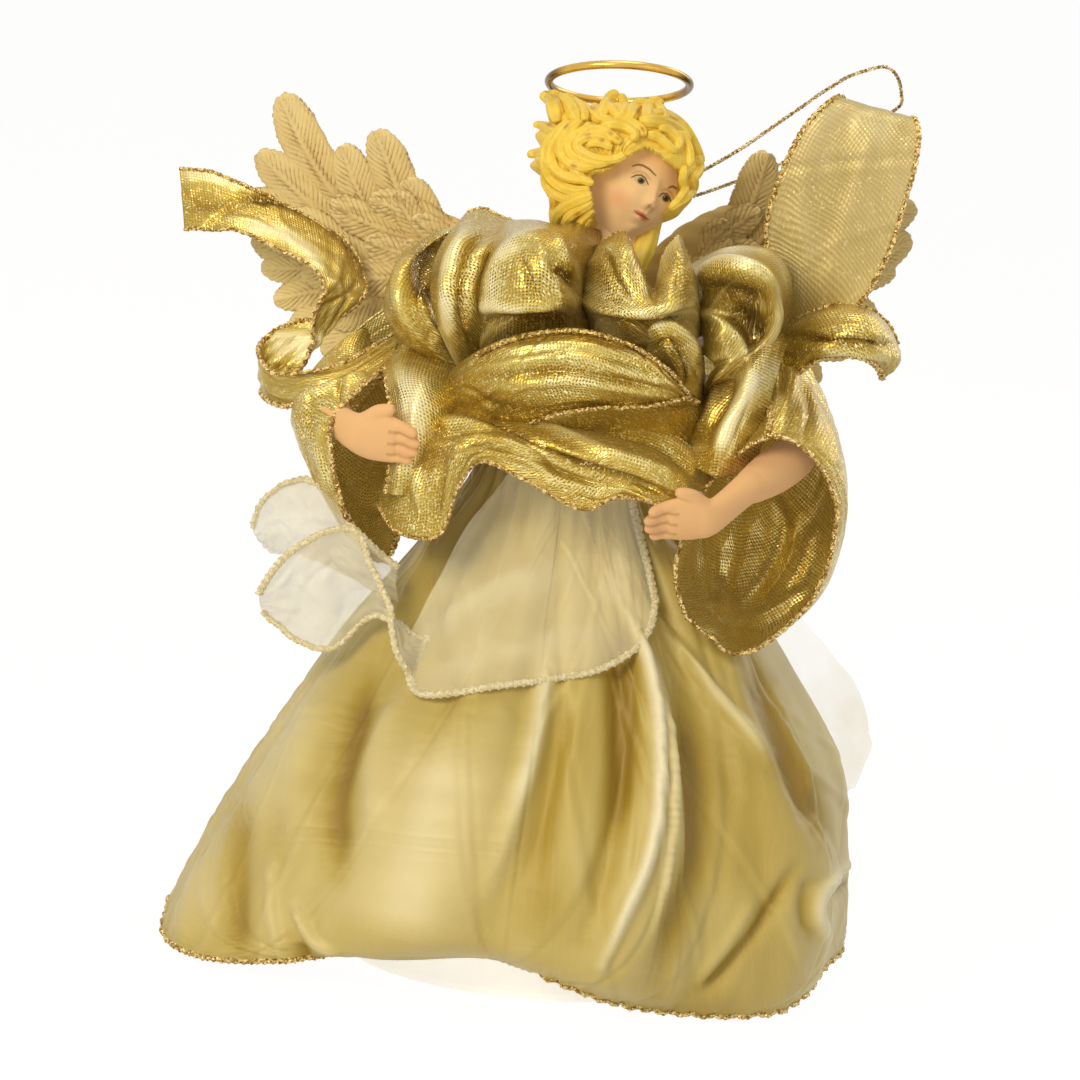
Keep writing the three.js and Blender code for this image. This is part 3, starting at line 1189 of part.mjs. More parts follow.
const cone = baseCone();
const plainTorso = torsoForm();
const wires = armWire();
const wings = { left: wing('left'), right: wing('right') };
const neckHole = peg(
  new THREE.Vector3(0, 0, shoulderZ - neckSocketDepth),
  new THREE.Vector3(0, 0, shoulderZ + overrun),
  neckSocketRadius,
);
const torso = largestBody(
  plainTorso.subtract(neckHole).subtract(grown(wires, wireCoverGap))
    .subtract(grown(wings.left)).subtract(grown(wings.right)));
add('base_cone', cone, 'card');
add('torso_form', torso, 'foam');
add('arm_wire', wires, 'steel');
add('left_wing', wings.left, 'wing');
add('right_wing', wings.right, 'wing');

const halo = haloRing();
const eyeletAlong = new THREE.Vector3(0, 1, 0);
const [eyeletPlace] = placed([eyeletShares], cordSpan, shoulderAnchor);
const eyelet = peg(
  eyeletPlace.clone().addScaledVector(eyeletAlong, -eyeletLength),
  eyeletPlace.clone().addScaledVector(eyeletAlong, eyeletLength * 0.8), eyeletOuterRadius, 12);
const trim = wire(smooth(placed(neckTrimShares, neckRadius, neckTrimAnchor), true), trimRadius, 6, 24);
const head = largestBody(headCasting(plainTorso).subtract(grown(wires, wireCoverGap)));
const hair = hairCasting(head);
const cord = hangingLoop();
add('head_casting', seated(head, [halo, eyelet, trim, cord]), 'skin');
add('hair_casting', seated(hair, [halo, eyelet, trim, cord]), 'hair');
add('neck_trim', trim, 'braid');
add('halo_ring', halo, 'plated');
add('cord_eyelet', seated(eyelet, [cord], wireCoverGap), 'plated');

add('left_forearm', forearm('left', wires), 'skin');
add('right_forearm', forearm('right', wires), 'skin');

const hem = hemBraid();
add('skirt', skirt(cone, torso, hem), 'satin');
add('skirt_hem_braid', hem, 'braid');
function dress(name, solid, material) {
  add(name, seated(solid, [...Object.values(made), cord]), material);
}

const knot = moved(
  new THREE.SphereGeometry(knotRadius, 12, 8),
  new THREE.Matrix4().makeScale(1, 0.62, 0.8)
    .setPosition(0, chestHalfWidth * chestDepthShare + knotRadius * 0.5, shoulderZ - torsoHeight * 0.34),
);
dress('bow_knot', knot, 'lame');
for (const [name, rows] of Object.entries(sleeveShares)) {
  dress(name, sheet(net(rows, sleeveSpan, shoulderAnchor, true), 14, 6, clothThickness, true), 'lame');
}
dress('bodice_wrap', sheet(net(bodiceShares, bodiceSpan, shoulderAnchor), 14, 4, clothThickness), 'lame');
dress('sash_drape', sheet(net(sashShares, sashSpan, waistAnchor), 20, 4, clothThickness), 'lame');
for (const [name, rows] of Object.entries(collarShares)) {
  dress(name, sheet(net(rows, collarSpan, shoulderAnchor), 10, 4, clothThickness), 'lame');
}
for (const [name, rows] of Object.entries(ribbonShares)) {
  const long = name === 'ribbon_tail_right' ? 36 : 18;
  dress(name, sheet(net(rows, ribbonSpan, shoulderAnchor), long, 2, clothThickness), 'lame');
}
for (const [name, rows] of Object.entries(bowShares)) {
  dress(name, sheet(net(rows, ribbonSpan, shoulderAnchor), 14, 3, clothThickness), 'lame');
}
dress('organza_panel', sheet(organzaPanel(), 14, 5, clothThickness), 'organza');
for (const [name, rows] of Object.entries(flounceShares)) {
  dress(name, sheet(net(rows, organzaSpan, waistAnchor), 14, 3, clothThickness), 'organza');
}
add('hanging_loop', cord, 'braid');

angel.position.set(axisAside, axisForward, 0);

export default angel;
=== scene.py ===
import math
import bpy
import bmesh
import numpy as np
from mathutils import Matrix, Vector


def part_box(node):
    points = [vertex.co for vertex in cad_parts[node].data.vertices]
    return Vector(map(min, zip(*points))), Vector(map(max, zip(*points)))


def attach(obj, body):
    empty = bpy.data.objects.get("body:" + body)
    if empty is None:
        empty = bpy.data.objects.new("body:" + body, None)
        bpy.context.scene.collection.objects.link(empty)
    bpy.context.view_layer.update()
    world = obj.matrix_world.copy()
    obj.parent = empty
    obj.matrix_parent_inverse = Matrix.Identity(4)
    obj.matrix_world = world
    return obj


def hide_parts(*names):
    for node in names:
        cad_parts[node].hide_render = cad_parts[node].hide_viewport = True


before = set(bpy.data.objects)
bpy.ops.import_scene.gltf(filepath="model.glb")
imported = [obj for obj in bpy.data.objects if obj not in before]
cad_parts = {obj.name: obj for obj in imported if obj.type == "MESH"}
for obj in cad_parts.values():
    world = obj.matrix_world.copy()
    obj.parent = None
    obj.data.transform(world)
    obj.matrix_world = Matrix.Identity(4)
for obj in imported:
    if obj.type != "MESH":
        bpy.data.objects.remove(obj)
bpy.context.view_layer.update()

# Sizes of the part, in millimetres, as in its source
coneHeight = 126.0
torsoHeight = 72.0
shoulderZ = coneHeight + torsoHeight
axisShift = np.array((12.4, -3.5, 0.0))
chestHalfWidth = 31.0
chestDepthShare = 0.66
viewRise = math.radians(10)
waistAnchor = np.array((0.0, 0.0, coneHeight))
shoulderAnchor = np.array((0.0, 0.0, shoulderZ))
tableSpan = 100.0

# The camera stands square to the photograph, which is turned a little clockwise
photoScale = 0.295
photoTurn = (0.99357, 0.1132)
photoMiddle = 540.0
originAcross = 20.0
originDown = 424.0
cameraAway = 2400.0
cameraAim = np.array((-5.9, 0.0, 127.0))
cameraHalfView = 159.3

upInView = np.array((0.0, math.sin(viewRise), math.cos(viewRise)))
rightInView = np.array((1.0, 0.0, 0.0))
imageRight = photoTurn[0] * rightInView + photoTurn[1] * upInView
imageUp = photoTurn[0] * upInView - photoTurn[1] * rightInView
towardsViewer = np.array((0.0, -math.cos(viewRise), math.sin(viewRise)))


def inMetres(points):
    return (np.asarray(points, float) + axisShift) * 0.001


# The place seen at a point of the photograph, at a depth behind the axis of the cone
def seenAt(across, down, depth=0.0):
    dx = across - photoMiddle
    dy = down - photoMiddle
    x = photoScale * (photoTurn[0] * dx + photoTurn[1] * dy - originAcross)
    lift = photoScale * (originDown + photoTurn[1] * dx - photoTurn[0] * dy)
    z = (lift - math.sin(viewRise) * depth) / math.cos(viewRise)
    return np.array((x, depth, z))


# Where points show in the photograph
def seenFrom(points):
    points = np.asarray(points, float)
    a = points[..., 0] / photoScale + originAcross
    lift = math.cos(viewRise) * points[..., 2] + math.sin(viewRise) * points[..., 1]
    b = originDown - lift / photoScale
    across = photoMiddle + photoTurn[0] * a - photoTurn[1] * b
    down = photoMiddle + photoTurn[1] * a + photoTurn[0] * b
    return across, down


# Curves and surfaces

# A smooth curve between two points, from them and their neighbours
def curved(before, here, after, beyond, share):
    leaving = 0.5 * (after - before)
    arriving = 0.5 * (beyond - here)
    square = share ** 2
    cube = share ** 3
    return (
        (2 * cube - 3 * square + 1) * here + (cube - 2 * square + share) * leaving
        + (3 * square - 2 * cube) * after + (cube - square) * arriving
    )


# Points with one more at each end, and where each share of the way falls among them
def openSpans(points, at):
    place = at * (len(points) - 1)
    index = np.clip(np.floor(place).astype(int), 0, len(points) - 2)
    ends = (2 * points[:1] - points[1:2], points, 2 * points[-1:] - points[-2:-1])
    return np.concatenate(ends), index, place - index


def spline(points, at, closed=False):
    points = np.asarray(points, float)
    count = len(points)
    at = np.asarray(at, float)
    if closed:
        place = (at % 1.0) * count
        index = np.floor(place).astype(int)
        share = place - index
        near = [points[(index + step) % count] for step in (-1, 0, 1, 2)]
    else:
        longer, index, share = openSpans(points, at)
        near = [longer[index + step] for step in range(4)]
    return curved(*near, share.reshape(share.shape + (1,) * (points.ndim - 1)))


def netGrid(rows, anchor, columns, lines, closed=False):
    across = np.arange(columns) / columns if closed else np.linspace(0, 1, columns + 1)
    curves = [spline(np.array(row) * tableSpan + anchor, across, closed) for row in rows]
    return spline(np.stack(curves), np.linspace(0, 1, lines + 1))


def gridNormals(grid, closed=False):
    if closed:
        along = np.roll(grid, -1, 1) - np.roll(grid, 1, 1)
    else:
        along = np.gradient(grid, axis=1)
    over = np.gradient(grid, axis=0)
    normal = np.cross(along, over)
    return normal / np.maximum(np.linalg.norm(normal, axis=-1, keepdims=True), 1e-9)


def gridShares(grid, closed=False):
    lines, columns = grid.shape[:2]
    across = np.arange(columns) / (columns if closed else columns - 1)
    return np.meshgrid(across, np.linspace(0, 1, lines))


# A slow, repeatable wander between -1 and 1
def wander(u, v, seed):
    total = 0.0
    for k in range(3):
        first = 1.3 + 0.9 * k + 0.37 * math.sin(seed * 1.7 + k)
        second = 1.1 + 0.7 * k + 0.41 * math.cos(seed * 2.3 + k * 1.9)
        total = total + np.sin(6.283 * (first * u + second * v * (-1) ** k + 0.173 * seed + 0.31 * k))
    return total / 3


# Folds: height in millimetres, waves along and across, how crisp, and a seed for each set
def foldHeight(u, v, folds):
    height = np.zeros_like(u)
    for size, along, across, crisp, seed in folds:
        phase = along * u + across * v + 0.45 * wander(u, v, seed)
        wave = np.sin(6.283 * phase)
        sharp = 1.0 - 2.0 * np.abs(np.sin(3.1416 * phase + 0.7854))
        strength = 0.72 + 0.28 * wander(v * 0.7, u * 0.9, seed + 3)
        height = height + size * strength * ((1 - crisp) * wave + crisp * sharp)
    return height


def gridSteps(grid, axis):
    steps = np.linalg.norm(np.diff(grid, axis=axis), axis=-1)
    zeros = np.zeros_like(np.take(grid[..., 0], [0], axis=axis))
    return np.concatenate([zeros, np.cumsum(steps, axis=axis)], axis=axis)


def meshPiece(name, points, faces, looks, corners=None, faceLooks=None):
    mesh = bpy.data.meshes.new(name)
    mesh.from_pydata(inMetres(points).tolist(), [], faces)
    for look in looks:
        mesh.materials.append(look)
    if corners is not None:
        layer = mesh.uv_layers.new(name="UVMap")
        layer.data.foreach_set("uv", np.asarray(corners, np.float32).ravel())
    if faceLooks is not None:
        mesh.polygons.foreach_set("material_index", np.asarray(faceLooks, np.int32))
    mesh.polygons.foreach_set("use_smooth", np.ones(len(mesh.polygons), bool))
    mesh.update()
    piece = bpy.data.objects.new(name, mesh)
    bpy.context.collection.objects.link(piece)
    return piece


# Column and line of every cell of a grid
def cellPlaces(columns, lines):
    i, j = np.meshgrid(np.arange(columns), np.arange(lines))
    return i.ravel(), j.ravel()


# Faces and corner coordinates of a thin closed body over a grid
def shellOf(grid, thickness, closed=False):
    lines, columns = grid.shape[:2]
    normal = gridNormals(grid, closed)
    points = np.concatenate([
        (grid + normal * thickness / 2).reshape(-1, 3),
        (grid - normal * thickness / 2).reshape(-1, 3),
    ])
    half = lines * columns
    spans = columns if closed else columns - 1
    long = gridSteps(grid, 1) * 0.001
    high = gridSteps(grid, 0) * 0.001
    closing = long[:, -1:] + (np.linalg.norm(grid[:, :1] - grid[:, -1:], axis=-1) * 0.001)
    longAll = np.concatenate([long, closing], 1) if closed else long
    highAll = np.concatenate([high, high[:, :1]], 1) if closed else high
    i, j = cellPlaces(spans, lines - 1)
    nextColumn = (i + 1) % columns
    a = j * columns + i
    b = j * columns + nextColumn
    c = (j + 1) * columns + nextColumn
    d = (j + 1) * columns + i
    cornerSets = [(j, i), (j, i + 1), (j + 1, i + 1), (j + 1, i)]
    spot = np.stack([np.stack([longAll[s], highAll[s]], -1) for s in cornerSets], 1)
    faces = [np.stack([a, b, c, d], 1), half + np.stack([a, d, c, b], 1)]
    corners = [spot, spot[:, [0, 3, 2, 1]]]

    def rim(first, second, spotFirst, spotSecond):
        faces.append(np.stack([first, half + first, half + second, second], 1))
        corners.append(np.stack([spotFirst, spotFirst, spotSecond, spotSecond], 1))

    k = np.arange(spans)
    for line, flip in ((0, False), (lines - 1, True)):
        p = line * columns + k
        q = line * columns + (k + 1) % columns
        sp = np.stack([longAll[line, k], highAll[line, k]], -1)
        sq = np.stack([longAll[line, k + 1], highAll[line, k + 1]], -1)
        rim(*((q, p, sq, sp) if flip else (p, q, sp, sq)))
    if not closed:
        k = np.arange(lines - 1)
        for column, flip in ((0, True), (columns - 1, False)):
            p = k * columns + column
            q = (k + 1) * columns + column
            sp = np.stack([longAll[k, column], highAll[k, column]], -1)
            sq = np.stack([longAll[k + 1, column], highAll[k + 1, column]], -1)
            rim(*((q, p, sq, sp) if flip else (p, q, sp, sq)))
    return points, np.concatenate(faces).tolist(), np.concatenate(corners).reshape(-1, 2)


def tangentsOf(line):
    tangent = np.gradient(line, axis=0)
    return tangent / np.linalg.norm(tangent, axis=1, keepdims=True)


# Directions across a line, kept from twisting
def lineFrames(line, closed=False):
    line = np.asarray(line, float)
    if closed:
        tangent = np.roll(line, -1, 0) - np.roll(line, 1, 0)
    else:
        tangent = np.gradient(line, axis=0)
    tangent /= np.maximum(np.linalg.norm(tangent, axis=1, keepdims=True), 1e-9)
    start = np.cross(tangent[0], (0.0, 0.0, 1.0))
    if np.linalg.norm(start) < 0.2:
        start = np.cross(tangent[0], (1.0, 0.0, 0.0))
    sides = []
    side = start / np.linalg.norm(start)
    for direction in tangent:
        side = side - direction * side.dot(direction)
        side = side / np.linalg.norm(side)
        sides.append(side)
    sides = np.array(sides)
    return tangent, sides, np.cross(tangent, sides)


def evenly(line, step, closed=False):
    line = np.asarray(line, float)
    if closed:
        line = np.concatenate([line, line[:1]])
    gone = np.concatenate([[0], np.cumsum(np.linalg.norm(np.diff(line, axis=0), axis=1))])
    count = max(4, int(round(gone[-1] / step)))
    at = np.linspace(0, gone[-1], count + 1)
    if closed:
        at = at[:-1]
    return np.stack([np.interp(at, gone, line[:, k]) for k in range(3)], 1), gone[-1]


def roundAngles(count):
    return np.arange(count) / count * 2 * math.pi


# Rings of points round a line, from its two cross directions and the reach along each
def ringsRound(line, side, top, across, over):
    return line[:, None, :] + side[:, None, :] * across[..., None] + top[:, None, :] * over[..., None]


# A tube round a line; radii may change along it and round it
def tubeOf(line, radii, sides=8, closed=False, flat=1.0):
    line = np.asarray(line, float)
    tangent, side, top = lineFrames(line, closed)
    count = len(line)
    angle = roundAngles(sides)
    reach = np.asarray(radii, float)
    reach = np.broadcast_to(reach[:, None] if reach.ndim == 1 else reach, (count, sides))
    rings = ringsRound(line, side, top, np.cos(angle) * reach, np.sin(angle) * reach * flat)
    gone = np.concatenate([[0], np.cumsum(np.linalg.norm(np.diff(line, axis=0), axis=1))]) * 0.001
    around = np.arange(sides + 1) / sides * 2 * math.pi * float(np.mean(reach)) * 0.001
    i, j = cellPlaces(sides, count if closed else count - 1)
    nextRing = (j + 1) % count
    nextSide = (i + 1) % sides
    places = [j * sides + i, j * sides + nextSide, nextRing * sides + nextSide, nextRing * sides + i]
    end = np.where(nextRing == 0, gone[-1] + 0.0003, gone[nextRing])
    spot = np.stack([
        np.stack([gone[j], around[i]], -1), np.stack([gone[j], around[i + 1]], -1),
        np.stack([end, around[i + 1]], -1), np.stack([end, around[i]], -1),
    ], 1)
    faces = np.stack(places, 1).tolist()
    corners = spot.reshape(-1, 2).tolist()
    if not closed:
        for ring, flip in ((0, True), (count - 1, False)):
            cap = [ring * sides + k for k in range(sides)]
            faces.append(cap[::-1] if flip else cap)
            corners += [[gone[ring], 0.0]] * sides
    return rings.reshape(-1, 3), faces, corners


# Bodies with their own points are put in one mesh
class Bodies:
    def __init__(self):
        self.points = []
        self.faces = []
        self.corners = []
        self.looks = []
        self.count = 0

    def add(self, body, look=0):
        points, faces, corners = body
        self.points.append(np.asarray(points, float))
        self.faces += [[index + self.count for index in face] for face in faces]
        self.corners += list(map(list, corners))
        self.looks += [look] * len(faces)
        self.count += len(points)

    def piece(self, name, looks):
        points = np.concatenate(self.points)
        return meshPiece(name, points, self.faces, looks, self.corners, self.looks)


def part(piece, slot, *nodes):
    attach(piece, "root")
    if nodes:
        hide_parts(*nodes)
    return piece


# A colour for each point, read by the materials
def paintPoints(piece, colours):
    layer = piece.data.color_attributes.new(name="paint", type="FLOAT_COLOR", domain="POINT")
    full = np.ones((len(piece.data.vertices), 4), np.float32)
    full[:, :3] = colours
    layer.data.foreach_set("color", full.ravel())


# Materials

class Field:
    # A socket of a material, on which arithmetic adds nodes
    def __init__(self, look, socket):
        self.look = look
        self.socket = socket

    def math(self, operation, *others, clamp=False):
        return self.look.node("ShaderNodeMath", [self, *others], operation=operation, use_clamp=clamp)

    def __add__(self, other):
        return self.math("ADD", other)

    __radd__ = __add__

    def __sub__(self, other):
        return self.math("SUBTRACT", other)

    def __rsub__(self, other):
        return self.look.node("ShaderNodeMath", [other, self], operation="SUBTRACT")

    def __mul__(self, other):
        return self.math("MULTIPLY", other)

    __rmul__ = __mul__

    def sin(self):
        return self.math("SINE")

    def size(self):
        return self.math("ABSOLUTE")

    def between(self, low, high):
        settings = {0: self, 1: low, 2: high, 3: 0.0, 4: 1.0}
        return self.look.node("ShaderNodeMapRange", settings, clamp=True)


class Look:
    def __init__(self, name):
        self.material = bpy.data.materials.new(name)
        self.material.use_nodes = True
        self.tree = self.material.node_tree
        self.shader = self.tree.nodes["Principled BSDF"]

    def node(self, kind, inputs=(), output=0, **settings):
        made = self.tree.nodes.new(kind)
        for name, value in settings.items():
            setattr(made, name, value)
        pairs = inputs.items() if isinstance(inputs, dict) else enumerate(inputs)
        for key, value in pairs:
            if isinstance(value, Field):
                self.tree.links.new(value.socket, made.inputs[key])
            else:
                made.inputs[key].default_value = value
        return Field(self, made.outputs[output])

    def place(self, source="UV", scale=(1.0, 1.0, 1.0)):
        spot = self.node("ShaderNodeTexCoord", output={"UV": 2, "Object": 3}[source])
        return self.node("ShaderNodeMapping", {"Vector": spot, "Scale": scale})

    def axes(self, spot):
        made = self.node("ShaderNodeSeparateXYZ", {"Vector": spot}).socket.node
        return [Field(self, made.outputs[k]) for k in range(3)]

    def noise(self, spot, scale, detail=3.0, roughness=0.5, distortion=0.0):
        inputs = {
            "Vector": spot, "Scale": scale, "Detail": detail,
            "Roughness": roughness, "Distortion": distortion,
        }
        return self.node("ShaderNodeTexNoise", inputs)

    def cells(self, spot, scale, output=0):
        return self.node("ShaderNodeTexVoronoi", {"Vector": spot, "Scale": scale}, output)

    def mix(self, share, first, second):
        pair = {0: share, 6: first, 7: second}
        return self.node("ShaderNodeMix", pair, 2, data_type="RGBA")

    def ramp(self, share, stops):
        made = self.node("ShaderNodeValToRGB", {"Fac": share})
        elements = made.socket.node.color_ramp.elements
        while len(elements) < len(stops):
            elements.new(1.0)
        for element, (at, colour) in zip(elements, stops):
            element.position = at
            element.color = colour
        return made

    def painted(self):
        return self.node("ShaderNodeVertexColor", layer_name="paint")

    def tone(self):
        return self.axes(self.painted())[0]

    def raised(self, height, distance, strength):
        return self.node("ShaderNodeBump", {"Strength": strength, "Distance": distance, "Height": height})

    def finish(self, colour, roughness, metallic=0.0, normal=None, **constants):
        values = {"Base Color": colour, "Roughness": roughness, "Metallic": metallic, **constants}
        if normal is not None:
            values["Normal"] = normal
        for name, value in values.items():
            if isinstance(value, Field):
                self.tree.links.new(value.socket, self.shader.inputs[name])
            else:
                self.shader.inputs[name].default_value = value
        return self.material


def rgb(red, green, blue):
    return (red, green, blue, 1.0)


# Camera, lights and floor

def placeCamera():
    data = bpy.data.cameras.new("camera")
    camera = bpy.data.objects.new("camera", data)
    bpy.context.collection.objects.link(camera)
    spot = (cameraAim + towardsViewer * cameraAway + axisShift) * 0.001
    rows = np.eye(4)
    rows[:3, 0] = imageRight
    rows[:3, 1] = imageUp
    rows[:3, 2] = towardsViewer
    rows[:3, 3] = spot
    camera.matrix_world = Matrix(rows.tolist())
    data.sensor_fit = "AUTO"
    data.angle = 2 * math.atan(cameraHalfView / cameraAway)
    data.clip_start = 0.05
    data.clip_end = 20.0
    bpy.context.scene.camera = camera


def lamp(name, spot, size, power, colour, aim=(0.0, 0.0, 0.14)):
    data = bpy.data.lights.new(name, "AREA")
    data.shape = "RECTANGLE"
    data.size, data.size_y = size
    data.energy = power
    data.color = colour
    light = bpy.data.objects.new(name, data)
    bpy.context.collection.objects.link(light)
    away = np.array(spot) - np.array(aim)
    away = away / np.linalg.norm(away)
    side = np.cross((0.0, 0.0, 1.0), away)
    side = side / np.linalg.norm(side)
    rows = np.eye(4)
    rows[:3, 0] = side
    rows[:3, 1] = np.cross(away, side)
    rows[:3, 2] = away
    rows[:3, 3] = spot
    light.matrix_world = Matrix(rows.tolist())


def lightScene():
    lamp("key", (-0.52, -0.95, 0.72), (0.5, 0.5), 8.6, (1.0, 0.87, 0.55))
    lamp("fill", (0.9, -0.9, 0.3), (0.8, 0.8), 1.3, (1.0, 0.88, 0.58))
    lamp("top", (0.05, 0.0, 1.3), (0.6, 0.6), 3.6, (1.0, 0.89, 0.60))
    lamp("edge", (0.7, 0.7, 0.6), (0.3, 0.8), 2.0, (1.0, 0.92, 0.68))
    world = bpy.data.worlds.new("world")
    bpy.context.scene.world = world
    world.use_nodes = True
    nodes = world.node_tree.nodes
    links = world.node_tree.links
    nodes.clear()
    output = nodes.new("ShaderNodeOutputWorld")
    path = nodes.new("ShaderNodeLightPath")
    bright = path.outputs["Is Camera Ray"]
    for ray in ("Is Transmission Ray", "Is Glossy Ray"):
        larger = nodes.new("ShaderNodeMath")
        larger.operation = "MAXIMUM"
        links.new(bright, larger.inputs[0])
        links.new(path.outputs[ray], larger.inputs[1])
        bright = larger.outputs[0]
    mix = nodes.new("ShaderNodeMixShader")
    links.new(bright, mix.inputs[0])
    for place, colour, strength in ((1, rgb(1.0, 0.87, 0.56), 0.24), (2, rgb(1.0, 1.0, 1.0), 1.0)):
        sky = nodes.new("ShaderNodeBackground")
        sky.inputs["Color"].default_value = colour
        sky.inputs["Strength"].default_value = strength
        links.new(sky.outputs[0], mix.inputs[place])
    links.new(mix.outputs[0], output.inputs["Surface"])
    bpy.context.scene.view_settings.view_transform = "Standard"


def layFloor():
    half = 3.0
    mesh = bpy.data.meshes.new("floor")
    corners = [(-half, -half, 0), (half, -half, 0), (half, half * 4, 0), (-half, half * 4, 0)]
    mesh.from_pydata(corners, [], [(0, 1, 2, 3)])
    floor = bpy.data.objects.new("floor", mesh)
    bpy.context.collection.objects.link(floor)
    look = Look("floor")
    grain = look.noise(look.place("Object"), 6.0, 2.0)
    colour = look.mix(grain, rgb(0.93, 0.93, 0.92), rgb(0.96, 0.96, 0.95))
    look.finish(colour, 0.8)
    path = look.node("ShaderNodeLightPath").socket.node.outputs
    seen = Field(look, path["Is Camera Ray"]).math("MAXIMUM", Field(look, path["Is Glossy Ray"]))
    seen = seen.math("MAXIMUM", Field(look, path["Is Transmission Ray"]))
    bright = look.node("ShaderNodeEmission", {"Color": rgb(1, 1, 1), "Strength": 1.08})
    mix = look.node("ShaderNodeMixShader", {0: seen * 0.88})
    links = look.tree.links
    links.new(look.shader.outputs[0], mix.socket.node.inputs[1])
    links.new(bright.socket, mix.socket.node.inputs[2])
    links.new(mix.socket, look.tree.nodes["Material Output"].inputs["Surface"])
    mesh.materials.append(look.material)


placeCamera()
lightScene()
layFloor()
print("stage ready")


# Looks

# Woven metal ribbon: a net of dark and bright points over gold, pale where the weave is thin;
# the painted tone darkens hollows as painted shade and lightens ridges as painted highlight
def lameLook(name, pale=0.38, netDark=0.95, pitch=0.00145, rough=0.3, metal=0.7, glitter=0.9, glow=0.0):
    look = Look(name)
    spot = look.place()
    u, v, _ = look.axes(spot)
    turn = 2 * math.pi / pitch
    net = ((u + v) * (turn * 0.7071)).sin() * ((u - v) * (turn * 0.7071)).sin()
    ribs = (u * (turn * 0.5)).sin()
    tone = look.tone()
    wide = look.noise(look.place("UV", (26.0, 75.0, 1.0)), 1.0, 3.0, 0.5, 0.5)
    slow = look.noise(look.place("Object"), 55.0, 3.0, 0.55, 0.3)
    spark = look.axes(look.cells(spot, 2300.0, 1))[0]
    level = tone * 0.72 + slow * 0.42
    gold = look.ramp(level - 0.07, [
        (0.16, rgb(0.17, 0.09, 0.005)), (0.36, rgb(0.37, 0.24, 0.026)),
        (0.52, rgb(0.55, 0.40, 0.085)), (0.66, rgb(0.78, 0.65, 0.25)), (0.84, rgb(1.0, 0.91, 0.60)),
    ])
    share = wide.between(1.0 - pale - 0.12, 1.0 - pale + 0.08)
    # ridges of the painted tone turn pale cream as well: a painted highlight
    share = share.math("ADD", tone.between(0.76, 1.05) * 0.8, clamp=True)
    cream = look.ramp(level, [(0.3, rgb(0.44, 0.34, 0.11)), (0.75, rgb(0.82, 0.76, 0.52))])
    colour = look.mix(share * 0.75, gold, cream)
    patch = slow.between(0.36, 0.6) * 0.75 + 0.25
    dark = net.between(0.05, 0.45) * (1.0 - share) * patch * netDark
    colour = look.mix(dark, colour, rgb(0.13, 0.065, 0.006))
    # glitter: rare bright points, some tinted green, painted into the colour as painted glints; they are
    # smoother too
    sparkle = spark.between(0.84, 0.9) * glitter * (1.0 - share * 0.6)
    bright = sparkle * (slow.between(0.3, 0.62) * 0.8 + 0.3)
    hue = look.axes(look.cells(spot, 900.0, 1))[1]
    tint = look.mix(hue.between(0.55, 0.75) * 0.5, rgb(1.0, 0.84, 0.44), rgb(0.86, 0.98, 0.62))
    colour = look.mix(bright, colour, tint)
    roughness = (rough + share * 0.16) - bright * 0.2
    metallic = metal - share * 0.5
    normal = look.raised(net * 0.6 + ribs * 0.3 + spark * 0.7, 0.00012, 0.6)
    # the emission, as strong as glow, is painted light
    return look.finish(
        colour, roughness, metallic, normal,
        **{
            "Sheen Weight": 0.1, "Sheen Roughness": 0.4, "Sheen Tint": rgb(1.0, 0.86, 0.5),
            "Specular IOR Level": 0.4, "Emission Color": rgb(0.9, 0.6, 0.12), "Emission Strength": glow,
        },
    )


# Glittering stitched edge: its glitter is bright and dark cells painted into the colour as painted glints,
# and the emission, as strong as glow, is painted light
def braidLook(name, low, high, metallic=0.85, rough=0.28, glow=0.0):
    look = Look(name)
    spot = look.place("Object")
    spark = look.cells(spot, 1500.0, 1)
    grain = look.cells(spot, 2300.0)
    colour = look.mix(look.axes(spark)[0].between(0.2, 0.9), low, high)
    roughness = grain * 0.3 + rough
    normal = look.raised(grain + look.axes(spark)[1], 0.0004, 1.0)
    return look.finish(
        colour, roughness, metallic, normal,
        **{"Specular IOR Level": 0.7, "Emission Color": colour, "Emission Strength": glow},
    )


# Satin: a smooth sheen with a fine twill; the painted tone gives olive painted shade in hollows and ivory
# painted highlight on ridges
def satinLook():
    look = Look("satin_cloth")
    spot = look.place()
    u, v, _ = look.axes(spot)
    twill = ((u + v * 0.55) * (2 * math.pi / 0.00055)).sin()
    slub = look.noise(look.place("UV", (900.0, 26.0, 1.0)), 1.0, 2.0)
    slow = look.noise(look.place("Object"), 14.0, 3.0, 0.5, 0.4)
    crumple = look.noise(look.place("Object"), 120.0, 3.0, 0.55, 0.2)
    tone = look.tone()
    colour = look.ramp(tone * 0.85 + slow * 0.3 - 0.075, [
        (0.04, rgb(0.28, 0.175, 0.014)), (0.26, rgb(0.42, 0.305, 0.048)), (0.47, rgb(0.56, 0.455, 0.165)),
        (0.68, rgb(0.75, 0.67, 0.42)), (0.9, rgb(0.87, 0.83, 0.73)),
    ])
    colour = look.mix(slub.between(0.45, 0.75) * 0.06, colour, rgb(0.86, 0.80, 0.55))
    roughness = 0.36 + slub * 0.08 + slow * 0.06
    normal = look.raised(twill * 0.10 + slub * 0.2 + crumple * 0.9, 0.0003, 0.5)
    return look.finish(
        colour, roughness, 0.0, normal,
        **{"Sheen Weight": 0.3, "Sheen Roughness": 0.35, "Specular IOR Level": 0.5},
    )
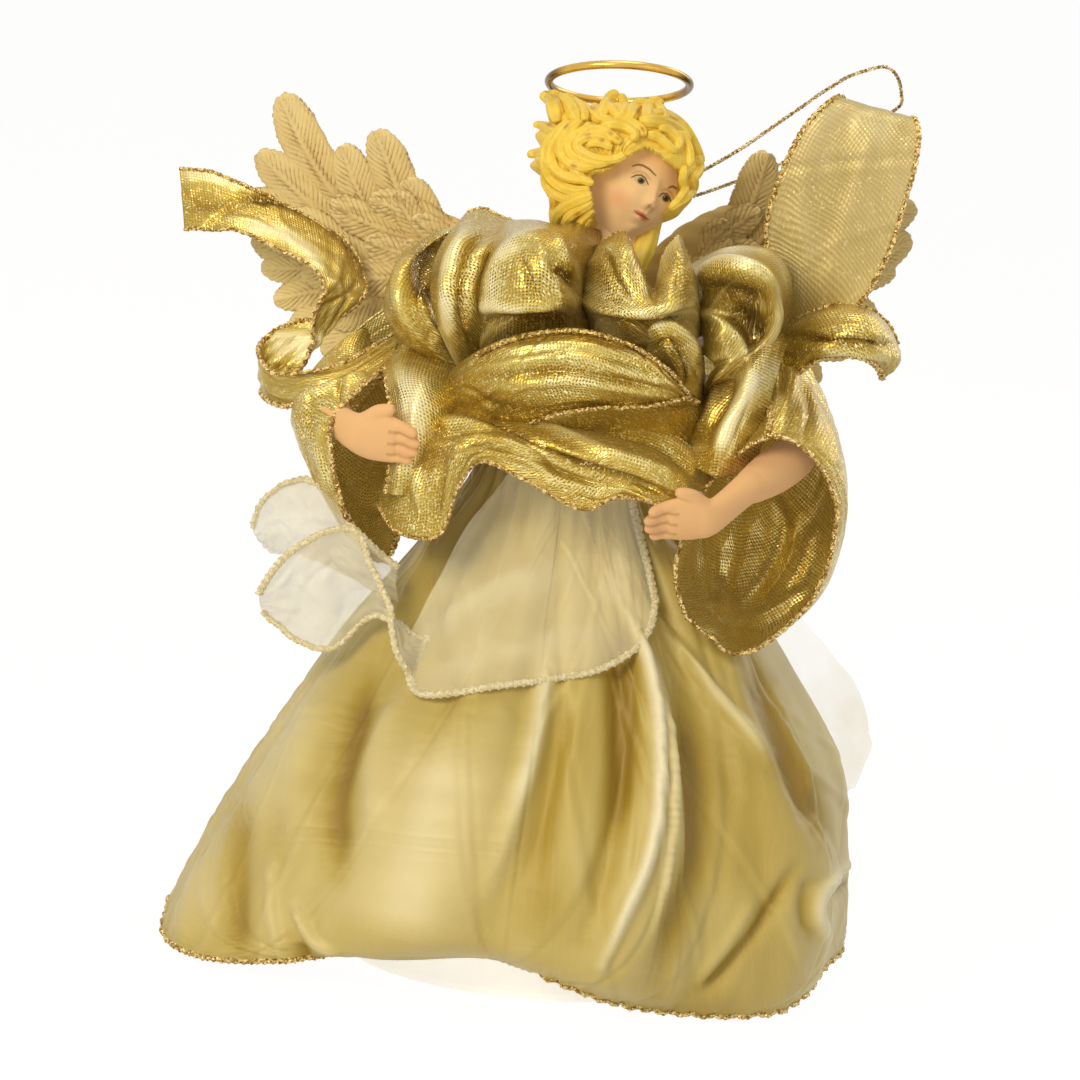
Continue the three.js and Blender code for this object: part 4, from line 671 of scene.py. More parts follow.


# Thin champagne ribbon with curved fine lines, of the big loops; the painted tone darkens hollows as painted
# shade and lightens ridges as painted highlight, and rare bright points are painted glints
def sheerLook():
    look = Look("ribbon_sheer")
    spot = look.place()
    u, v, _ = look.axes(spot)
    slow = look.noise(look.place("Object"), 26.0, 3.0, 0.5, 0.6)
    bend = look.noise(look.place("UV", (30.0, 30.0, 1.0)), 1.0, 2.0, 0.4, 0.4)
    lines = ((u + bend * 0.016) * (2 * math.pi / 0.0015)).sin()
    weave = ((v + bend * 0.003) * (2 * math.pi / 0.0011)).sin()
    tone = look.tone()
    spark = look.axes(look.cells(spot, 2300.0, 1))[0].between(0.95, 0.97)
    level = tone * 0.6 + slow * 0.5 - 0.05
    colour = look.ramp(level, [
        (0.2, rgb(0.42, 0.30, 0.09)), (0.42, rgb(0.56, 0.44, 0.18)),
        (0.6, rgb(0.68, 0.57, 0.30)), (0.85, rgb(0.84, 0.78, 0.54)),
    ])
    fine = lines.between(0.2, 0.9) * 0.09 + weave.between(0.3, 0.9) * 0.06
    colour = look.mix(fine, colour, rgb(0.90, 0.84, 0.60))
    colour = look.mix(spark * 0.8, colour, rgb(1.0, 0.90, 0.6))
    normal = look.raised(lines * 0.5 + weave * 0.3 + slow * 2.0, 0.00014, 0.5)
    return look.finish(
        colour, 0.42 - spark * 0.15, 0.25 + lines * 0.05, normal,
        **{"Alpha": 0.86 + lines * 0.05, "Sheen Weight": 0.25, "Sheen Roughness": 0.35},
    )


# Organza: the painted tone makes it lighter and more opaque on ridges, a painted highlight, and darker in
# hollows, painted shade; the emission, as strong as glow, is painted light
def organzaLook(name, thin, full, glow, low, high):
    look = Look(name)
    spot = look.place()
    u, v, _ = look.axes(spot)
    turn = 2 * math.pi / 0.0007
    weave = (u * turn).sin().size() * 0.5 + (v * turn).sin().size() * 0.5
    slow = look.noise(look.place("Object"), 60.0, 3.0, 0.5, 0.5)
    tone = look.tone()
    colour = look.mix(tone * 0.6 + slow * 0.4, low, high)
    alpha = (slow * 0.4 + tone * 0.5 + weave * 0.06) * (full - thin) + thin
    normal = look.raised(weave + slow * 2.0, 0.0003, 0.5)
    return look.finish(
        colour, 0.45, 0.0, normal,
        **{
            "Alpha": alpha, "Sheen Weight": 0.5, "Sheen Roughness": 0.3,
            "Emission Color": rgb(1.0, 0.92, 0.68), "Emission Strength": glow,
        },
    )


# Painted casting: its colour is painted point by point, with a fine grain over it; the emission, as strong
# as glow, shines that colour as painted light
def castLook(name, rough, grainSize, grainDepth, speck, gloss=0.4, glow=0.0):
    look = Look(name)
    spot = look.place("Object")
    grain = look.noise(spot, grainSize, 4.0, 0.6)
    base = look.painted()
    colour = look.mix(grain.between(0.35, 0.8) * speck[3], base, rgb(*speck[:3]))
    normal = look.raised(grain, grainDepth, 0.6)
    return look.finish(
        colour, rough + grain * 0.12, 0.0, normal,
        **{"Specular IOR Level": gloss, "Emission Color": base, "Emission Strength": glow},
    )


def metalLook(name, colour, rough, wear, ends=(0.0, 9.0, 10.0)):
    look = Look(name)
    spot = look.place("Object")
    haze = look.noise(spot, 160.0, 4.0, 0.6)
    shade = look.mix(haze.between(0.4, 0.8) * 0.5, colour, wear)
    # towards its ends across, the metal is painted dark: a painted reflection
    far = (look.axes(spot)[0] - ends[0]).size().between(ends[1], ends[2])
    shade = look.mix(far * 0.85, shade, rgb(0.09, 0.045, 0.008))
    return look.finish(shade, haze * 0.16 + rough, 1.0, look.raised(haze, 0.00004, 0.4))


# A plain surface with a fine grain; its emission, as strong as glow, is painted light
def plainLook(name, colour, second, rough, scale, glow=0.0):
    look = Look(name)
    spot = look.place("Object")
    grain = look.noise(spot, scale, 4.0, 0.6)
    shade = look.mix(grain, colour, second)
    normal = look.raised(grain, 0.0002, 0.4)
    return look.finish(
        shade, grain * 0.15 + rough, 0.0, normal,
        **{"Emission Color": rgb(1.0, 0.99, 0.96), "Emission Strength": glow},
    )


# Middle of the halo across, and from where to where its ends are painted dark as a painted reflection, in
# metres
haloDarkReflection = (0.0144, 0.0155, 0.0195)
# The glow of the sleeve, organza, veil, cream braid, skin, hair and card looks is painted light: they shine
# a little light of their own, so that shaded places come out lighter
looks = {
    "ribbon": lameLook("ribbon_gold"),
    "sheer": sheerLook(),
    "sleeve": lameLook("sleeve_gold", 0.2, 0.85, 0.0015, 0.28, 0.7, 0.9, 0.045),
    "tail": lameLook("tail_gold", 0.3, 0.6, 0.0013, 0.32, 0.6, 0.9),
    "bodice": lameLook("bodice_gold", 0.24, 0.85, 0.0014, 0.28, 0.7, 1.0),
    "satin": satinLook(),
    "organza": organzaLook("organza_cloth", 0.24, 0.56, 0.04, rgb(0.80, 0.76, 0.64), rgb(0.96, 0.93, 0.86)),
    "veil": organzaLook("organza_veil", 0.02, 0.33, 0.3, rgb(0.93, 0.87, 0.66), rgb(0.99, 0.97, 0.88)),
    "braid": braidLook("braid_gold", rgb(0.32, 0.17, 0.02), rgb(1.0, 0.80, 0.38)),
    "cord": braidLook("cord_gold", rgb(0.30, 0.18, 0.05), rgb(0.95, 0.82, 0.52)),
    "braidCream": braidLook("braid_cream", rgb(0.78, 0.68, 0.44), rgb(0.97, 0.92, 0.76), 0.0, 0.55, 0.12),
    "skin": castLook("skin_paint", 0.55, 900.0, 0.00003, (0.60, 0.36, 0.20, 0.12), 0.3, 0.14),
    "hair": castLook("hair_paint", 0.42, 700.0, 0.00008, (0.60, 0.32, 0.05, 0.3), 0.4, 0.05),
    "wing": castLook("wing_paint", 0.55, 500.0, 0.00010, (0.62, 0.45, 0.20, 0.25)),
    "brass": metalLook("brass_polished", rgb(0.72, 0.45, 0.12), 0.14, rgb(0.40, 0.22, 0.05)),
    "halo": metalLook("halo_brass", rgb(0.72, 0.45, 0.10), 0.14, rgb(0.34, 0.18, 0.03), haloDarkReflection),
    "steel": metalLook("steel_wire", rgb(0.55, 0.55, 0.53), 0.4, rgb(0.35, 0.34, 0.33)),
    "card": plainLook("card_white", rgb(0.90, 0.89, 0.86), rgb(0.84, 0.82, 0.78), 0.8, 380.0, 0.62),
    # the foam body is dark gold-brown: painted shade for the gaps between the cloth where it shows
    "foam": plainLook("foam_body", rgb(0.42, 0.27, 0.07), rgb(0.30, 0.18, 0.04), 0.8, 900.0),
}
print("looks ready")


# Tables of shares, as in the source of the part

sashShares = [
    [(-0.44, -0.24, 0.44), (-0.38, -0.28, 0.44), (-0.31, -0.31, 0.45), (-0.22, -0.33, 0.44),
     (-0.1, -0.34, 0.43), (0.03, -0.34, 0.43), (0.17, -0.33, 0.43), (0.28, -0.31, 0.41),
     (0.36, -0.3, 0.36), (0.42, -0.3, 0.29)],
    [(-0.47, -0.3, 0.35), (-0.42, -0.4, 0.34), (-0.35, -0.46, 0.38), (-0.27, -0.48, 0.4),
     (-0.15, -0.5, 0.4), (-0.02, -0.52, 0.38), (0.12, -0.53, 0.37), (0.23, -0.52, 0.34),
     (0.31, -0.5, 0.3), (0.37, -0.46, 0.27)],
    [(-0.52, -0.34, 0.23), (-0.46, -0.44, 0.21), (-0.37, -0.52, 0.25), (-0.32, -0.56, 0.34),
     (-0.22, -0.54, 0.36), (-0.07, -0.52, 0.32), (0.09, -0.5, 0.28), (0.2, -0.5, 0.29),
     (0.28, -0.51, 0.27), (0.35, -0.48, 0.25)],
    [(-0.54, -0.34, 0.12), (-0.47, -0.42, 0.06), (-0.35, -0.5, 0.08), (-0.31, -0.52, 0.23),
     (-0.25, -0.52, 0.31), (-0.11, -0.54, 0.27), (0.05, -0.55, 0.21), (0.15, -0.51, 0.25),
     (0.25, -0.53, 0.25), (0.33, -0.49, 0.23)],
]

organzaPanelShares = [
    [(-40, 0.02), (-24, 0.02), (-6, 0.02), (12, 0.02), (30, 0.02), (44, 0.02)],
    [(-50, 0.17), (-30, 0.18), (-8, 0.19), (12, 0.19), (30, 0.17), (46, 0.14)],
    [(-50, 0.31), (-32, 0.33), (-10, 0.33), (12, 0.33), (30, 0.29), (44, 0.23)],
    [(-50, 0.41), (-35, 0.47), (-15, 0.45), (8, 0.42), (26, 0.37), (41, 0.3)],
]

sleeveShares = {
    "left_sleeve": [
        [(0.33, 0.02, 0.04), (0.35, 0.12, 0.02), (0.36, 0.17, -0.06), (0.35, 0.16, -0.14),
         (0.34, 0.09, -0.17), (0.33, 0, -0.14), (0.32, -0.06, -0.06), (0.32, -0.05, 0.02)],
        [(0.49, -0.01, 0.04), (0.56, 0.1, 0), (0.6, 0.17, -0.1), (0.56, 0.17, -0.2),
         (0.49, 0.1, -0.22), (0.42, 0.02, -0.15), (0.4, -0.07, -0.05), (0.42, -0.08, 0.02)],
        [(0.61, -0.07, -0.1), (0.72, 0.05, -0.2), (0.77, 0.13, -0.36), (0.72, 0.12, -0.54),
         (0.59, 0.05, -0.6), (0.46, -0.02, -0.48), (0.41, -0.09, -0.33), (0.48, -0.11, -0.18)],
        [(0.6, -0.28, -0.19), (0.76, -0.26, -0.29), (0.82, -0.15, -0.49), (0.78, -0.06, -0.74),
         (0.61, -0.1, -0.88), (0.44, -0.18, -0.77), (0.385, -0.22, -0.6), (0.45, -0.2, -0.36)],
        [(0.55, -0.42, -0.265), (0.69, -0.39, -0.3), (0.79, -0.32, -0.48), (0.75, -0.29, -0.74),
         (0.56, -0.34, -0.92), (0.4, -0.42, -0.81), (0.34, -0.46, -0.66), (0.4, -0.36, -0.44)],
    ],
    "right_sleeve": [
        [(-0.33, 0.02, 0.02), (-0.35, -0.04, -0.01), (-0.36, -0.05, -0.07), (-0.35, -0.01, -0.15),
         (-0.34, 0.06, -0.19), (-0.33, 0.13, -0.18), (-0.32, 0.16, -0.1), (-0.32, 0.11, -0.02)],
        [(-0.5, 0.02, -0.02), (-0.56, -0.04, -0.07), (-0.59, -0.05, -0.15), (-0.58, -0.02, -0.25),
         (-0.53, 0.05, -0.32), (-0.46, 0.13, -0.3), (-0.43, 0.17, -0.2), (-0.44, 0.12, -0.08)],
        [(-0.62, -0.06, -0.14), (-0.73, -0.14, -0.2), (-0.79, -0.16, -0.32), (-0.76, -0.12, -0.44),
         (-0.67, -0.06, -0.56), (-0.56, 0.02, -0.62), (-0.5, 0.08, -0.46), (-0.52, 0.06, -0.26)],
        [(-0.63, -0.16, -0.22), (-0.75, -0.28, -0.27), (-0.81, -0.31, -0.37), (-0.77, -0.28, -0.49),
         (-0.67, -0.22, -0.66), (-0.54, -0.12, -0.76), (-0.49, -0.04, -0.62), (-0.53, -0.02, -0.38)],
        [(-0.57, -0.24, -0.25), (-0.65, -0.38, -0.29), (-0.7, -0.44, -0.37), (-0.68, -0.42, -0.48),
         (-0.63, -0.35, -0.64), (-0.52, -0.26, -0.78), (-0.47, -0.16, -0.69), (-0.49, -0.12, -0.46)],
    ],
}

ribbonShares = {
    "ribbon_tail_right": [
        [(-1.25, 0.36, 0.22), (-1.15, 0.32, 0.22), (-1.03, 0.3, 0.19), (-0.95, 0.3, 0.17),
         (-0.85, 0.3, 0.13), (-0.73, 0.28, 0.07), (-0.66, 0.22, -0.03), (-0.67, 0.14, -0.09),
         (-0.74, 0.08, -0.14), (-0.85, 0.08, -0.16), (-0.93, 0.03, -0.21), (-0.94, -0.08, -0.25),
         (-0.88, -0.18, -0.28), (-0.8, -0.24, -0.25), (-0.68, -0.24, -0.21), (-0.54, -0.12, -0.12)],
        [(-1.21, 0.22, 0.06), (-1.12, 0.2, 0.07), (-1.05, 0.18, 0.08), (-0.98, 0.16, 0.06),
         (-0.88, 0.12, 0.03), (-0.8, 0.08, 0), (-0.77, 0.04, -0.05), (-0.79, 0.01, -0.11),
         (-0.8, 0, -0.25), (-0.86, -0.01, -0.31), (-0.92, -0.04, -0.35), (-0.9, -0.15, -0.36),
         (-0.84, -0.24, -0.36), (-0.77, -0.3, -0.32), (-0.67, -0.3, -0.29), (-0.54, -0.2, -0.2)],
    ],
    "bow_loop_left": [
        [(0.34, 0.3, -0.14), (0.5, 0.2, -0.06), (0.53, 0.1, 0.12), (0.5, 0.09, 0.27),
         (0.52, 0.09, 0.42), (0.57, 0.1, 0.57), (0.64, 0.13, 0.66), (0.685, 0.2, 0.66),
         (0.68, 0.24, 0.52), (0.63, 0.25, 0.32), (0.55, 0.26, 0.1), (0.36, 0.33, -0.08)],
        [(0.36, 0.26, -0.28), (0.6, 0.12, -0.1), (0.78, 0.05, 0.07), (0.86, 0.06, 0.24),
         (0.89, 0.07, 0.39), (0.91, 0.08, 0.51), (0.91, 0.11, 0.61), (0.885, 0.18, 0.63),
         (0.86, 0.23, 0.5), (0.82, 0.24, 0.32), (0.7, 0.24, 0.08), (0.38, 0.31, -0.2)],
    ],
}

bowShares = {
    "bow_loop_back": [
        [(0, 0.26, -0.2), (-0.12, 0.36, -0.14), (-0.28, 0.46, -0.18), (-0.34, 0.48, -0.3),
         (-0.24, 0.46, -0.36), (-0.1, 0.37, -0.3), (0, 0.26, -0.24)],
        [(0, 0.27, -0.27), (-0.12, 0.42, -0.34), (-0.26, 0.52, -0.42), (-0.31, 0.52, -0.54),
         (-0.22, 0.48, -0.56), (-0.1, 0.38, -0.44), (0, 0.26, -0.29)],
    ],
    "bow_tail_back": [
        [(0.05, 0.26, -0.26), (0.12, 0.36, -0.42), (0.18, 0.46, -0.62), (0.16, 0.57, -0.82),
         (0.22, 0.66, -1)],
        [(-0.04, 0.26, -0.28), (-0.07, 0.38, -0.46), (-0.07, 0.5, -0.66), (-0.11, 0.62, -0.84),
         (-0.08, 0.71, -1)],
    ],
}

flounceShares = {
    "organza_flounce_side": [
        [(-0.855, -0.34, -0.18), (-0.82, -0.38, -0.1), (-0.76, -0.42, -0.02), (-0.66, -0.44, 0.05),
         (-0.58, -0.44, 0.04), (-0.52, -0.44, -0.06), (-0.47, -0.46, -0.18), (-0.42, -0.48, -0.3),
         (-0.35, -0.38, -0.38)],
        [(-0.85, -0.3, -0.22), (-0.79, -0.33, -0.19), (-0.73, -0.36, -0.15), (-0.66, -0.37, -0.11),
         (-0.58, -0.37, -0.09), (-0.51, -0.38, -0.11), (-0.46, -0.41, -0.19), (-0.41, -0.44, -0.28),
         (-0.33, -0.35, -0.32)],
        [(-0.84, -0.24, -0.25), (-0.77, -0.26, -0.3), (-0.69, -0.28, -0.33), (-0.62, -0.29, -0.32),
         (-0.55, -0.3, -0.24), (-0.49, -0.33, -0.2), (-0.44, -0.36, -0.22), (-0.38, -0.38, -0.25),
         (-0.3, -0.32, -0.26)],
    ],
    "organza_flounce_top": [
        [(-0.9, -0.16, -0.02), (-0.88, -0.17, 0.05), (-0.82, -0.19, 0.12), (-0.75, -0.24, 0.15),
         (-0.68, -0.3, 0.13), (-0.6, -0.34, 0.04), (-0.46, -0.34, -0.06)],
        [(-0.89, -0.24, -0.03), (-0.87, -0.28, 0.01), (-0.82, -0.33, 0.045), (-0.76, -0.37, 0.045),
         (-0.69, -0.41, 0.03), (-0.6, -0.42, -0.02), (-0.46, -0.38, -0.1)],
        [(-0.86, -0.2, -0.07), (-0.83, -0.23, -0.08), (-0.79, -0.28, -0.07), (-0.75, -0.32, -0.06),
         (-0.68, -0.36, -0.07), (-0.59, -0.38, -0.1), (-0.45, -0.34, -0.16)],
    ],
    "organza_flounce_back": [
        [(0.2, 0.18, 0.07), (0.46, 0.36, 0.02), (0.68, 0.46, -0.16), (0.88, 0.46, -0.34),
         (0.97, 0.42, -0.46), (1, 0.4, -0.58), (0.97, 0.4, -0.7)],
        [(0.14, 0.23, 0.05), (0.38, 0.43, -0.02), (0.6, 0.58, -0.24), (0.76, 0.6, -0.46),
         (0.84, 0.54, -0.6), (0.88, 0.5, -0.7), (0.9, 0.46, -0.78)],
    ],
}

skirtRowShares = [
    (1, (0.22, 0.22, 0.22, 0.22, 0.22, 0.22, 0.22, 0.22, 0.22, 0.23, 0.24, 0.23)),
    (0.92, (0.26, 0.27, 0.28, 0.29, 0.28, 0.27, 0.26, 0.26, 0.27, 0.29, 0.29, 0.27)),
    (0.8, (0.36, 0.38, 0.43, 0.48, 0.43, 0.38, 0.36, 0.36, 0.37, 0.39, 0.4, 0.37)),
    (0.6, (0.52, 0.56, 0.64, 0.71, 0.62, 0.55, 0.52, 0.52, 0.54, 0.57, 0.56, 0.53)),
    (0.4, (0.68, 0.71, 0.81, 0.88, 0.78, 0.68, 0.64, 0.65, 0.68, 0.72, 0.72, 0.69)),
    (0.2, (0.77, 0.79, 0.88, 0.93, 0.87, 0.79, 0.76, 0.77, 0.81, 0.86, 0.86, 0.79)),
    (0.06, (0.77, 0.77, 0.86, 0.94, 0.92, 0.85, 0.82, 0.83, 0.88, 0.94, 0.96, 0.84)),
    (0, (0.69, 0.7, 0.82, 0.93, 0.94, 0.87, 0.84, 0.85, 0.9, 0.98, 1, 0.8)),
]
hemLiftShares = (0.08, 0.01, 0, 0.06, 0.04, 0, 0.02, 0, 0.02, 0.02, 0, 0.065)
skirtFolds = [
    ((36, 31, 15), 1, 9), ((10, 4, -8), -0.7, 9), ((-18, -20, -24), 0.8, 11), ((-44, -46, -45), -0.8, 9),
    ((-68, -70, -70), 0.7, 11), ((56, 62, 62), 0.9, 9), ((48, 46, 38), -0.9, 8), ((82, 86, 84), -0.7, 9),
    ((110, 112, 112), 0.8, 11), ((140, 140, 138), -0.7, 11), ((168, 166, 165), 0.8, 11),
    ((-168, -168, -168), -0.8, 10), ((-142, -142, -144), 0.8, 11), ((-114, -116, -116), -0.7, 11),
    ((-94, -94, -94), 0.6, 9),
]

featherShares = {
    "right": [(0, 0.86, 0.5, 50, 0.5, 0.14), (0, 0.91, 0.32, 38, 0.5, 0.13),
     (0, 0.93, 0.19, 21, 0.52, 0.12), (0, 0.9, 0.06, 4, 0.5, 0.12), (0, 0.86, -0.02, -6, 0.48, 0.11),
     (0, 0.81, -0.11, -15, 0.46, 0.11), (0, 0.75, -0.18, -28, 0.44, 0.12),
     (0, 0.64, -0.25, -42, 0.4, 0.12), (0, 0.51, -0.29, -58, 0.36, 0.12),
     (1, 0.65, 0.38, 55, 0.38, 0.12), (1, 0.55, 0.44, 64, 0.4, 0.13), (1, 0.44, 0.31, 60, 0.26, 0.11),
     (1, 0.77, 0.16, 24, 0.46, 0.13), (1, 0.73, -0.01, -4, 0.44, 0.13),
     (1, 0.62, -0.15, -34, 0.4, 0.13), (2, 0.66, 0.21, 14, 0.3, 0.11), (2, 0.54, 0.24, 16, 0.3, 0.11),
     (2, 0.54, 0.11, 14, 0.28, 0.1), (2, 0.59, 0, -12, 0.34, 0.12), (2, 0.42, 0.12, 12, 0.24, 0.09)],
    "left": [(0, 0.7, 0.53, 52, 0.5, 0.14), (0, 0.84, 0.38, 36, 0.5, 0.13),
     (0, 0.84, 0.28, 24, 0.5, 0.13), (0, 0.8, 0.18, 10, 0.48, 0.12), (0, 0.76, 0.04, -6, 0.46, 0.12),
     (0, 0.7, -0.07, -20, 0.44, 0.12), (0, 0.6, -0.17, -38, 0.4, 0.12),
     (0, 0.48, -0.23, -56, 0.36, 0.12), (1, 0.35, 0.51, 72, 0.38, 0.13),
     (1, 0.49, 0.49, 62, 0.38, 0.12), (1, 0.62, 0.4, 46, 0.4, 0.12), (1, 0.67, 0.2, 18, 0.42, 0.13),
     (1, 0.63, 0.03, -8, 0.42, 0.13), (1, 0.52, -0.1, -34, 0.38, 0.13), (2, 0.22, 0.28, 38, 0.24, 0.1),
     (2, 0.34, 0.34, 36, 0.28, 0.1), (2, 0.36, 0.22, 18, 0.28, 0.1), (2, 0.5, 0.24, 20, 0.3, 0.11),
     (2, 0.48, 0.07, -8, 0.32, 0.12)],
}

wingArmShares = {
    "right": [(-0.05, 0, 0.8), (0.12, 0.07, 1.1), (0.28, 0.15, 1.05), (0.4, 0.19, 0.8), (0.5, 0.21, 0.35)],
    "left": [(-0.05, -0.04, 0.8), (0.05, 0.1, 1.15), (0.14, 0.21, 1.1), (0.25, 0.29, 0.9),
     (0.34, 0.33, 0.4)],
}

hairOutlineShares = [
    (6, 1), (20, 0.97), (32, 0.91), (45, 0.86), (60, 0.9), (73, 0.77), (86, 0.73), (94, 0.81), (104, 0.78),
    (113, 0.75), (124, 0.84), (134, 1.04), (143, 1.17), (152, 0.95), (163, 1.06), (170, 0.91), (177, 0.92),
    (184, 1.06), (192, 0.9), (204, 0.87), (219, 0.87), (230, 1.01), (240, 1.02), (252, 0.86), (270, 0.72),
    (292, 0.7), (312, 0.82), (326, 0.92), (338, 0.98), (346, 1.02), (351, 0.91), (358, 0.98),
]

faceEdgeShares = [
    (-0.25, -0.12), (-0.06, -0.04), (0.06, 0.06), (0.19, 0.18), (0.33, 0.27), (0.48, 0.2), (0.62, 0.11),
    (0.78, 0.04), (0.85, -0.04), (0.86, -0.18), (0.78, -0.28), (0.69, -0.37), (0.6, -0.48), (0.5, -0.62),
    (0.3, -1.1), (-0.3, -1.1), (-0.34, -0.75), (-0.31, -0.5), (-0.3, -0.25),
]

neckTrimShares = [
    (0, 1.16, 0.5), (-0.85, 0.82, 0.42), (-1.16, 0, 0.2), (-0.82, -0.85, -0.1), (-0.2, -1.3, -0.6),
    (0.3, -1.4, -1), (0.7, -1.1, -0.5), (1.12, -0.5, -0.05), (1.16, 0.2, 0.2), (0.8, 0.85, 0.4),
]

cordShares = [
    (0.052, 0.125, 0.292), (0.056, 0.16, 0.293), (0.086, 0.19, 0.3), (0.14, 0.21, 0.324),
    (0.205, 0.205, 0.356), (0.273, 0.18, 0.397), (0.397, 0.14, 0.494), (0.505, 0.125, 0.591),
    (0.57, 0.135, 0.646), (0.605, 0.15, 0.676), (0.64, 0.165, 0.702), (0.685, 0.175, 0.736),
    (0.735, 0.18, 0.76), (0.792, 0.19, 0.777), (0.83, 0.21, 0.752), (0.85, 0.24, 0.7),
    (0.846, 0.27, 0.652), (0.75, 0.36, 0.573), (0.64, 0.435, 0.495), (0.5, 0.42, 0.413),
    (0.406, 0.37, 0.37), (0.33, 0.28, 0.344), (0.28, 0.23, 0.328), (0.2, 0.21, 0.298), (0.13, 0.2, 0.278),
    (0.08, 0.185, 0.271), (0.055, 0.16, 0.272), (0.052, 0.125, 0.272),
]

faceBumpShares = [
    ((0, -0.4), (0.15, 0.15), 0.2), ((0, -0.14), (0.12, 0.2), 0.07), ((0, -0.64), (0.26, 0.07), 0.06),
    ((0, -0.9), (0.28, 0.14), 0.12), ((0.45, -0.45), (0.3, 0.28), 0.06),
    ((-0.45, -0.45), (0.3, 0.28), 0.06), ((0.42, 0.02), (0.22, 0.13), -0.07),
    ((-0.42, 0.02), (0.22, 0.13), -0.07), ((0, 0.24), (0.6, 0.16), 0.03),
]

armShares = {
    "left": {
        "elbow": (0.7, -0.18, -0.31), "wrist": (0.51, -0.45, -0.42), "hand": (0.38, -0.53, -0.5),
        "tips": (0.24, -0.56, -0.52), "up": (0.1, -0.5, 1),
    },
    "right": {
        "elbow": (-0.79, -0.12, -0.3), "wrist": (-0.68, -0.38, -0.36), "hand": (-0.58, -0.46, -0.38),
        "tips": (-0.42, -0.5, -0.39), "up": (0, -0.3, 1),
    },
}
